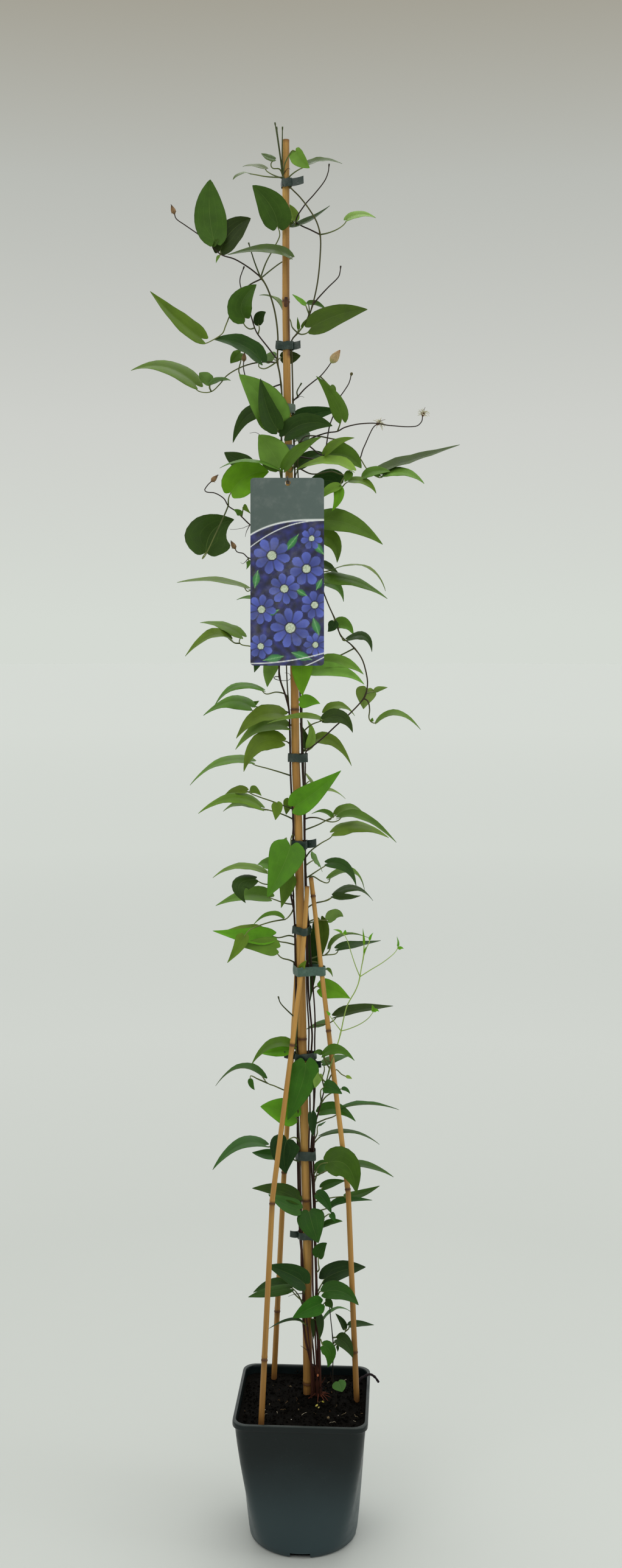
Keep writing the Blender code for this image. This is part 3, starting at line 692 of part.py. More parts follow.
def box(name, size, centre, turn=0.0):
    bm = bmesh.new()
    bmesh.ops.create_cube(bm, size=1)
    matrix = Matrix.Rotation(turn, 4, "Z") @ Matrix.Translation(centre) @ Matrix.Diagonal((*size, 1))
    bmesh.ops.transform(bm, matrix=matrix, verts=bm.verts)
    return finish(name, bm, (0.5, 0.5, 0.5), smooth=False)


def convexOutline(points):
    """The convex outline round a set of flat points, counter-clockwise."""
    points = sorted(set(points))
    sides = []
    for order in (points, points[::-1]):
        half = []
        for p in order:
            while len(half) > 1 and ((half[-1][0] - half[-2][0]) * (p[1] - half[-2][1])
                                     - (half[-1][1] - half[-2][1]) * (p[0] - half[-2][0])) <= 1e-9:
                half.pop()
            half.append(p)
        sides += half[:-1]
    return sides


def axisPoints(name):
    """World points and radii of a cane's axis."""
    if name == "cane_main":
        points = [seen(x, z, planDepth) for x, z in caneAxis]
        return points, [caneRadius(z) * cm for _, z in caneAxis]
    path, thick, thin = legs[name]
    run = [p[2] for p in path]
    return ([Vector(p) * cm for p in path],
            [(thick + (thin - thick) * (z - run[0]) / (run[-1] - run[0])) * cm for z in run])


def stemAxis(name):
    path = stems[name]
    thick, thin = stemRadii[name]
    points = [seen(x, z, d) for x, z, d in path]
    count = len(path) - 1
    return points, [(thick + (thin - thick) * i / count) * cm for i in range(len(path))]


def crossing(points, radii, z):
    """Where an axis first reaches this height, and its radius there."""
    for (a, b), (r0, r1) in zip(zip(points, points[1:]), zip(radii, radii[1:])):
        if a.z <= z <= b.z:
            t = (z - a.z) / (b.z - a.z)
            return a.lerp(b, t), r0 + (r1 - r0) * t


for obj in list(bpy.data.objects):
    bpy.data.objects.remove(obj)

# Pot: a shell from a round base to a square rim, with drain channels under its base
bm = bmesh.new()
outer = potBody(0, [0, 0.003, 0.03, 0.075, 0.12, potHeight - rimBand])
rimLow = potSection(potWidth, 0, potHeight - rimBand + 0.0006)
rimTop = potSection(potWidth, 0, potHeight)
loft(bm, outer + [rimLow, rimTop])
pot = finish("pot", bm, (0.055, 0.075, 0.08), 0.45)
bm = bmesh.new()
loft(bm, potBody(potWall, [potWall, 0.003, 0.03, 0.075, 0.12, potHeight - rimBand, potHeight + 0.002]))
hollow = finish("pot_hollow", bm, (0.5, 0.5, 0.5))
channels = [box(f"channel_roof_{k}", (0.06, 0.0302, 0.0172), (0.07, 0, 0), potTurn + math.pi / 2 * k)
            for k in range(4)]
combine(hollow, channels, "DIFFERENCE")
cutters = [box(f"channel_{k}", (0.06, 0.027, 0.014), (0.0716, 0, 0), potTurn + math.pi / 2 * k) for k in range(4)]
for k in range(4):
    bm = bmesh.new()
    a = potTurn + math.pi / 4 + math.pi / 2 * k
    bmesh.ops.create_cone(bm, cap_ends=True, segments=8, radius1=0.0045, radius2=0.0045, depth=0.02,
                          matrix=Matrix.Translation((0.045 * math.cos(a), 0.045 * math.sin(a), 0)))
    cutters.append(finish(f"drain_{k}", bm, (0.5, 0.5, 0.5)))
combine(pot, [hollow] + cutters, "DIFFERENCE")

# Soil: fills the pot to just under the rim, with an uneven top
bm = bmesh.new()
fill = potBody(potWall + gap, [potWall + gap, 0.003 + gap, 0.03, 0.075, 0.12, soilHeight])
fill += [[Vector((p.x * k, p.y * k, soilHeight + 0.0016 * math.sin(p.x * k * 190 + 1) * math.cos(p.y * k * 170)))
          for p in fill[-1]] for k in (0.9, 0.6, 0.3)]
loft(bm, fill)
soil = finish("soil", bm, (0.02, 0.013, 0.009), 0.95)
holes = [box(f"soil_channel_{k}", (0.06, 0.0308, 0.0178), (0.0697, 0, 0), potTurn + math.pi / 2 * k) for k in range(4)]
twigPath = [Vector(p) * cm for p in [(7.1, 3.4, 14.6), (7.25, 3.5, 17.3), (7.8, 3.65, 18.6), (8.67, 3.9, 19.05),
                                     (9.28, 4, 19.2), (9.93, 4.1, 18.8), (10.49, 4.1, 18.06)]]
axes = {name: axisPoints(name) for name in ["cane_main", *legs]}
axes.update({name: stemAxis(name) for name in stems})
axes["root_twig"] = (twigPath, [0.0013] * len(twigPath))
for name, (points, radii) in axes.items():
    low = [(p, r) for p, r in zip(points, radii) if p.z < soilHeight + 0.004] + [crossing(points, radii, soilHeight + 0.005)]
    low[0] = (low[0][0] + (low[0][0] - low[1][0]).normalized() * gap, low[0][1])
    bm = bmesh.new()
    tube(bm, [p for p, _ in low], [r * 1.08 + gap * 1.5 for _, r in low], 8 if name in caneNodes else 6)
    holes.append(finish("hole_" + name, bm, (0.5, 0.5, 0.5)))
combine(soil, holes, "DIFFERENCE")

# Canes
for name, knots in caneNodes.items():
    points, radii = axes[name]
    line = list(zip(points, radii))
    for z in knots:
        centre, radius = crossing(points, radii, z * cm)
        line += [(centre + Vector((0, 0, o)), radius + g)
                 for o, g in ((-0.003, 0), (0, 0.0007), (0.004, 0))]
    line.sort(key=lambda pair: pair[0].z)
    bm = bmesh.new()
    tube(bm, [p for p, _ in line], [r for _, r in line], 8)
    finish(name, bm, (0.62, 0.45, 0.22), 0.45)

# Leafy stems, each with its stalks, blades and heads in one solid
for name, path in stems.items():
    bm = bmesh.new()
    points, radii = axes[name]
    tube(bm, points, radii, 4)
    stem = finish(name, bm, (0.16, 0.3, 0.06), 0.5)
    pieces = []
    forks = {row[0][:2]: None for row in rows[name] if isinstance(row[0], tuple)}
    for number, row in enumerate(rows[name]):
        end = row[2] if len(row) > 3 else None
        line = stalkPath(name, row[0], row[1], end, forks)
        if end and row[5] < smallest:
            continue
        runs = stalkRuns(line)
        if end:
            tip = seen(*row[4])
            middle = seen(*row[3], (row[2][2] + row[4][2]) / 2)
            joined = not sharp(line[-2], line[-1], tip)
            bm = bmesh.new()
            leaf(bm, runs.pop() if joined else [line[-1]], stalkRadius, middle, tip, row[5] * cm, row[6])
            pieces.append(finish(f"{name}_leaf_{number}", bm, (0.16, 0.34, 0.06)))
            if not joined:
                runs[-1][-1] = midrib(line[-1], middle, tip, 0.12)
        for run in runs:
            bm = bmesh.new()
            tube(bm, run, [stalkRadius] * len(run), 3)
            pieces.append(finish(f"{name}_stalk_{len(pieces)}", bm, (0.2, 0.3, 0.1)))
        if not end and row[2] != "cut":
            bm = bmesh.new()
            head(bm, row[2], line[-1], line[-2])
            pieces.append(finish(f"{name}_head_{number}", bm, (0.3, 0.25, 0.15)))
    combine(stem, pieces, "UNION")

# Tape ties: a band round the cane and the stems it holds, with its two ends left standing out on one side
for number, (z, height, tieReach, side, tail) in enumerate(ties):
    centre = crossing(*axes["cane_main"], z * cm)[0]
    flat = []
    for level in (z - height / 2 - 0.05, z, z + height / 2 + 0.05):
        for name, axis in axes.items():
            met = crossing(*axis, level * cm)
            if met and (met[0] - centre).length < tieReach * cm:
                sides = 8 if name in caneNodes else 6
                reach = (met[1] + 0.0009) / math.cos(math.pi / sides)
                flat += [(round(met[0].x + reach * math.cos(a), 5), round(met[0].y + reach * math.sin(a), 5))
                         for a in (2 * math.pi * (k + 0.5) / sides for k in range(sides))]
    inside = convexOutline(flat)
    middle = Vector((sum(p[0] for p in inside) / len(inside), sum(p[1] for p in inside) / len(inside)))
    outside = [tuple(Vector(p) + (Vector(p) - middle).normalized() * 0.0009) for p in inside]
    low, high = z * cm - height * cm / 2, z * cm + height * cm / 2
    bm = bmesh.new()
    rings = [[bm.verts.new((p[0], p[1], h)) for p in line] for line, h in
             ((inside, low), (outside, low), (outside, high), (inside, high))]
    count = len(inside)
    for a, b in zip(rings, rings[1:] + rings[:1]):
        for k in range(count):
            bm.faces.new((a[k], a[(k + 1) % count], b[(k + 1) % count], b[k]))
    band = finish(f"tie_{number + 1:02d}", bm, (0.05, 0.13, 0.1), 0.35, smooth=False)
    if side:
        far = max(outside, key=lambda p: p[0] * side)
        strip = box(f"tail_{number}", (tail * cm + 0.002, 0.0008, height * cm * 0.96),
                    (far[0] + side * (tail * cm / 2 + 0.0006), far[1], z * cm + tail * cm * 0.12))
        combine(band, [strip], "UNION")

# Label: a stiff card with rounded corners, hung in front of the cane by a wire through its hole
labelDepth = -2.6
labelTop = seen(-2.25, 144.08, labelDepth)
bm = bmesh.new()
corner = 0.0045
outline = []
for sx, sz, first in ((1, 1, 0), (-1, 1, 90), (-1, -1, 180), (1, -1, 270)):
    for a in (0, 30, 60, 90):
        turn = math.radians(first + a)
        outline.append((sx * (labelWidth / 2 - corner) + corner * math.cos(turn),
                        sz * (labelHeight / 2 - corner) + corner * math.sin(turn)))
front = [bm.verts.new((labelTop.x + x, labelDepth * cm - labelThickness / 2, labelTop.z - labelHeight / 2 + z))
         for x, z in outline]
back = [bm.verts.new((v.co.x, labelDepth * cm + labelThickness / 2, v.co.z)) for v in front]
bm.faces.new(front)
bm.faces.new(back[::-1])
for k in range(len(front)):
    j = (k + 1) % len(front)
    bm.faces.new((front[k], back[k], back[j], front[j]))
label = finish("label", bm, (0.2, 0.22, 0.5), 0.35, smooth=False)
holeCentre = seen(-2.16, 143.35, labelDepth)
bm = bmesh.new()
bmesh.ops.create_cone(bm, cap_ends=True, segments=14, radius1=0.0038, radius2=0.0038, depth=0.01,
                      matrix=Matrix.Translation(holeCentre) @ Matrix.Rotation(math.pi / 2, 4, "X"))
combine(label, [finish("label_hole", bm, (0.5, 0.5, 0.5))], "DIFFERENCE")
wire = [(-2.06, -2.2, 143), (-2.1, -2.5, 143.2), (-2.1, -2.7, 143.24), (-2.12, -2.86, 143.4), (-2.12, -2.86, 143.72),
        (-2.12, -2.6, 143.88), (-2.2, -2.2, 143.8), (-2.75, 0.2, 143.1), (-3.19, 1.35, 142.7), (-3.19, 1.75, 142.6),
        (-2.45, 2.5, 142.5), (-1.96, 2.68, 142.5), (-1.4, 2.5, 142.5), (-0.45, 2.17, 142.5), (-0.36, 1.9, 142.5),
        (-1.3, -0.2, 142.8)]
bm = bmesh.new()
up = Vector((0, 0, 1))
rings = []
for i, p in enumerate(wire):
    ahead = (Vector(wire[(i + 1) % len(wire)]) - Vector(wire[i - 1])).normalized()
    if abs(ahead.dot(up)) > 0.9:
        up = Vector((1, 0, 0))
    ring, up = addRing(bm, Vector(p) * cm, ahead, up, 0.0006, 4)
    rings.append(ring)
for a, b in zip(rings, rings[1:]):
    for k in range(4):
        bm.faces.new((a[k], a[(k + 1) % 4], b[(k + 1) % 4], b[k]))
turn = min(range(4), key=lambda s: sum((rings[-1][k].co - rings[0][(k + s) % 4].co).length for k in range(4)))
for k in range(4):
    j = (k + 1) % 4
    bm.faces.new((rings[-1][k], rings[-1][j], rings[0][(j + turn) % 4], rings[0][(k + turn) % 4]))
finish("label_wire", bm, (0.03, 0.03, 0.03), 0.5)

# Dark root twig that leans out over the rim
bm = bmesh.new()
tube(bm, *axes["root_twig"], 6)
finish("root_twig", bm, (0.02, 0.016, 0.012), 0.8)
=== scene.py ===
import math
import random

import bmesh
import bpy
from mathutils import Matrix, Vector, noise


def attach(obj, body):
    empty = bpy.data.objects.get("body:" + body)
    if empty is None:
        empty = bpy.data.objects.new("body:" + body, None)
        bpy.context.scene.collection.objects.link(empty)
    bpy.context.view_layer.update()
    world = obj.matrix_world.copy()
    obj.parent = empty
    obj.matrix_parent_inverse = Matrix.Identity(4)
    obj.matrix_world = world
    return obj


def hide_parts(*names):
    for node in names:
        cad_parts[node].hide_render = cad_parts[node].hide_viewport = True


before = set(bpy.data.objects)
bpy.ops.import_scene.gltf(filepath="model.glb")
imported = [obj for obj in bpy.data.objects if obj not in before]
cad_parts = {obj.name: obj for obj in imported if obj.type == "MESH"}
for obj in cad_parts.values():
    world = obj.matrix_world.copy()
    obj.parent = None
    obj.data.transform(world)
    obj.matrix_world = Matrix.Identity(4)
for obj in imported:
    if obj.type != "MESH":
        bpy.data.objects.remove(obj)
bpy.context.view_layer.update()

cm = 0.01
# The camera's place, and the depth of the plane that x and height are planned on, in centimetres
eyeX, eyeDepth, eyeHeight, planDepth = 1.04, -221, 124.3, 2
# The camera's focal length, picture height and horizon shift, in pixels
focalLength, pictureHeight, horizonShift = 2650, 2576, 268

# Canes, in centimetres: the main one by x and height on the plan plane, the thin ones by x, depth and
# height, with the radius at foot and top, and the heights of all node rings
caneAxis = [(0.62, 1.6), (0.62, 18.3), (0.53, 26.6), (0.53, 40.1), (0.23, 50.2), (-0.15, 65.4),
    (-0.46, 83.9), (-0.7, 95.5), (-1.12, 106.1), (-1.215, 114.8), (-2.242, 154.6), (-2.436, 168),
    (-2.436, 190.8)]
legs = {
    "cane_leg_left": ([(-5.78, -6.38, 12.4), (-5.6, -6.2, 17.2), (-4.19, -2.6, 46), (-1.83, -0.6, 64),
        (-0.28, 0.82, 76.1), (0.24, 0.84, 83), (0.53, 0.86, 87.8)], 0.4, 0.31),
    "cane_leg_right": ([(7.38, 0.55, 12.4), (7.32, 0.6, 17.2), (6.17, 0.92, 45.5), (4.03, 1.2, 63),
        (2.48, 1.42, 76.1), (1.5, 1.52, 85), (1.03, 1.6, 88.9)], 0.4, 0.31),
    "cane_leg_back": ([(-4.25, 7.28, 13), (-4.2, 7, 17.2), (-2.75, 5.1, 46.5), (-1.55, 3.98, 65.2),
        (-0.9, 3.28, 76.1), (-0.42, 3.2, 86)], 0.4, 0.31),
}
caneNodes = {
    "cane_main": [18.9, 44.2, 66.5, 92, 112, 138, 168.4],
    "cane_leg_left": [25.4, 45.4, 66.2],
    "cane_leg_right": [23.8, 46.1, 67.8, 86.3],
    "cane_leg_back": [27, 47],
}

# Stems, in centimetres: x and height on the plan plane, and depth
stems = {
    "vine_left": [
        (1.42, 14, 1.2), (1.35, 20, 1.15), (0.8, 22.8, 0.95), (0.35, 24.6, 0.98), (0, 27, 1.3),
        (-0.05, 33, 1.35), (-0.15, 36, 1.45), (-0.45, 39, 1.7), (-0.65, 44, 1.8), (-0.78, 50, 1.8),
        (-0.85, 60, 1.9), (-0.99, 65, 1.9), (-1.02, 70, 2), (-1.12, 78, 2), (-1.3, 84, 2),
        (-1.75, 86.7, 1.6), (-1.6, 90, 1.75), (-1.44, 94, 1.8), (-1.4, 97, 1.35), (-1.6, 99.5, 1.5),
        (-1.78, 103, 1.75), (-1.83, 106, 1.6), (-1.9, 110, 1.7), (-2, 112, 1.6), (-2.5, 114, 1.4),
        (-3.3, 116.5, 1.2), (-3.35, 118.5, 1.2), (-3.3, 125, 1.6), (-3.1, 132, 1.8), (-3, 143, 1.6),
        (-3.05, 150, 1.6), (-2.97, 153, 1.5), (-3.02, 156, 1.6), (-3.3, 158.5, 1.6), (-3.6, 160.1, 1.4),
        (-3.53, 163, 1.4), (-3.65, 165, 1.3), (-4, 167.2, 1.2), (-4.6, 169.3, 1.1), (-5.3, 170.9, 1),
        (-6, 171.9, 0.9),
    ],
    "vine_right": [
        (2.05, 14, 1.55), (1.97, 22, 1.5), (1.97, 25, 1.5), (1.6, 28.3, 1.6), (1.75, 32, 1.7),
        (1.65, 36, 1.8), (1.5, 40, 1.8), (1.4, 44, 1.9), (1.15, 48, 1.9), (1.05, 51, 1.9), (1.25, 54, 1.8),
        (1.45, 58, 1.7), (1.35, 62, 1.7), (1.1, 64.5, 1.7), (1.2, 67, 1.7), (0.95, 70, 1.8), (0.7, 73, 1.9),
        (0.6, 78, 2), (0.5, 82, 2), (0.3, 85, 2), (0.2, 90, 2), (0.1, 95, 1.9), (0.05, 100, 1.9),
        (-0.15, 104, 1.9), (-0.25, 107, 2.1), (-0.4, 112, 2.1), (-0.6, 118, 2), (-0.7, 125, 1.9),
        (-0.9, 132, 1.9), (-1.1, 140, 1.9), (-1.25, 147, 1.9), (-1.4, 152, 1.9), (-1.5, 157, 1.9),
        (-1.6, 161, 1.9), (-1.65, 163, 1.8), (-0.8, 164.1, 1.5), (0, 165.1, 1.4), (0.8, 166.6, 1.3),
        (1.4, 168.5, 1.2), (2, 171.5, 1.1), (2.35, 175.5, 1), (2.3, 177.7, 1), (1.8, 179.5, 1),
        (0.8, 181.2, 1), (-0.5, 182.9, 1.1), (-1.6, 184, 1.15), (-2.4, 184.9, 1.2), (-2.9, 185.9, 1.3),
    ],
    "vine_loop": [
        (1.9, 14, 1.05), (1.85, 20, 1), (1.7, 24, 0.9), (1.5, 28, 0.95), (1.3, 32, 1.05), (1.25, 36, 1.1),
        (1.2, 40, 1.1), (1, 44, 1.1), (0.9, 48, 1.1), (0.75, 52, 1.15), (0.9, 56, 1.1), (0.85, 60, 1.1),
        (0.7, 64, 1.2), (0.75, 68, 1.2), (0.5, 72, 1.25), (0.4, 76, 1.35), (0.4, 80, 1.4), (0.47, 83, 1.5),
        (0.47, 86, 1.62), (0.28, 90, 1.45), (0.2, 95, 1.4), (0.25, 100, 1.4), (0.25, 104, 1.5),
        (0.35, 106.2, 1.5), (1.2, 106.9, 1.4), (3, 108.4, 1.3), (4.6, 109.9, 1.4), (6, 111.1, 1.4),
        (7.6, 112.7, 1.3), (8.5, 113.9, 1.2), (8.85, 115.5, 1.2), (8.65, 117.2, 1.2), (8, 119.2, 1.3),
        (6.6, 121, 1.5), (5.2, 122.2, 1.6), (4.4, 124.4, 1.7), (3.5, 126.4, 1.8), (2.9, 127.9, 1.9),
        (1.6, 131, 2.2), (0.5, 135, 2.3), (-0.2, 139, 2.2), (-0.6, 142.5, 2), (-0.8, 146, 1.6),
        (-0.6, 149, 1.4),
    ],
    "vine_low_left": [
        (1.1, 14, 0.78), (1.1, 20, 0.72), (0.9, 23.5, 0.65), (0.55, 26.5, 0.7), (0.3, 29, 0.85),
        (0, 31.5, 0.9), (-0.3, 35, 0.9), (-0.3, 39, 1), (-0.35, 44, 1.1), (-0.45, 48, 1.1),
        (-0.55, 52, 1.15), (-0.75, 56, 1.25), (-0.8, 60, 1.25), (-0.85, 64, 1.3), (-1.1, 65.4, 1.1),
    ],
    "vine_low_right": [
        (2.4, 14, 1), (2.3, 20, 0.95), (2.1, 24, 1), (1.95, 28, 1.05), (1.9, 31, 1.1), (1.7, 35, 1.3),
        (1.6, 39, 1.35), (1.62, 43, 1.35), (1.5, 46, 1.4), (1.4, 49, 1.4), (1.45, 52, 1.35),
        (1.7, 55, 1.25), (2.1, 56.5, 1.2), (2.9, 59.5, 1), (3.7, 62.7, 0.5), (4.3, 64.5, 0.3),
        (4.9, 66.4, 0.3), (5.2, 67.6, 0.3), (5.6, 69.5, 0.3), (6, 71, 0.3), (6.5, 72, 0.4), (7.1, 73, 0.4),
        (7.6, 74.2, 0.4), (7.8, 75.1, 0.4), (8, 76.3, 0.4), (8.3, 77.9, 0.5), (8.37, 79.3, 0.5),
    ],
    "vine_mid_left": [
        (1.75, 14, 2.4), (1.6, 20, 2.6), (1.3, 24, 2.95), (0.8, 28, 3.05), (0.2, 32, 2.95), (-0.2, 37, 2.8),
        (-0.35, 42, 2.65), (-0.5, 48, 2.6), (-0.65, 54, 2.55), (-0.8, 60, 2.6), (-0.85, 66, 2.55),
        (-0.95, 72, 2.5), (-1.1, 77, 2.5), (-1.22, 82, 2.4), (-1.4, 87, 2.3), (-1.35, 92, 2.4),
        (-1.47, 97, 2.35), (-1.68, 101, 2.4), (-1.87, 106, 2.4), (-1.92, 111, 2.4), (-2.15, 114, 2.3),
        (-2.35, 118, 2.3), (-2.35, 124, 2.3), (-2.4, 131, 2.45),
    ],
    "vine_mid_right": [
        (2.45, 14, 1.8), (2.35, 20, 1.95), (2.2, 25, 2.1), (1.95, 30, 2.35), (1.75, 36, 2.45),
        (1.6, 42, 2.45), (1.4, 48, 2.45), (1.3, 54, 2.5), (1.6, 60, 2.4), (1.55, 66, 2.4), (1.6, 69, 2.3),
        (1.45, 72, 2.2), (1.1, 76, 2.1), (0.9, 80, 2.3), (0.6, 84, 2.5), (0.4, 88, 2.5), (0.25, 93, 2.45),
        (0.15, 98, 2.45), (0.05, 103, 2.45), (-0.05, 106, 2.55), (-0.2, 110, 2.65), (-0.2, 113, 2.6),
    ],
    "seedling": [
        (4.05, 14, 1.8), (4.05, 21.3, 1.8), (4.15, 23, 1.7), (4.1, 24.4, 1.7), (4, 25.6, 1.7),
        (3.8, 27.5, 1.6), (3.6, 29.4, 1.5),
    ],
    "seedling_low": [
        (4.5, 14, -1.5), (4.5, 16.6, -1.6), (4.65, 18.4, -1.7),
    ],
}
# Stem radii at foot and tip, in centimetres
stemRadii = {"vine_left": (0.17, 0.12), "vine_right": (0.15, 0.1), "vine_loop": (0.13, 0.09),
    "vine_low_left": (0.13, 0.1), "vine_low_right": (0.14, 0.07), "vine_mid_left": (0.13, 0.09),
    "vine_mid_right": (0.13, 0.09), "seedling": (0.09, 0.07), "seedling_low": (0.06, 0.05)}

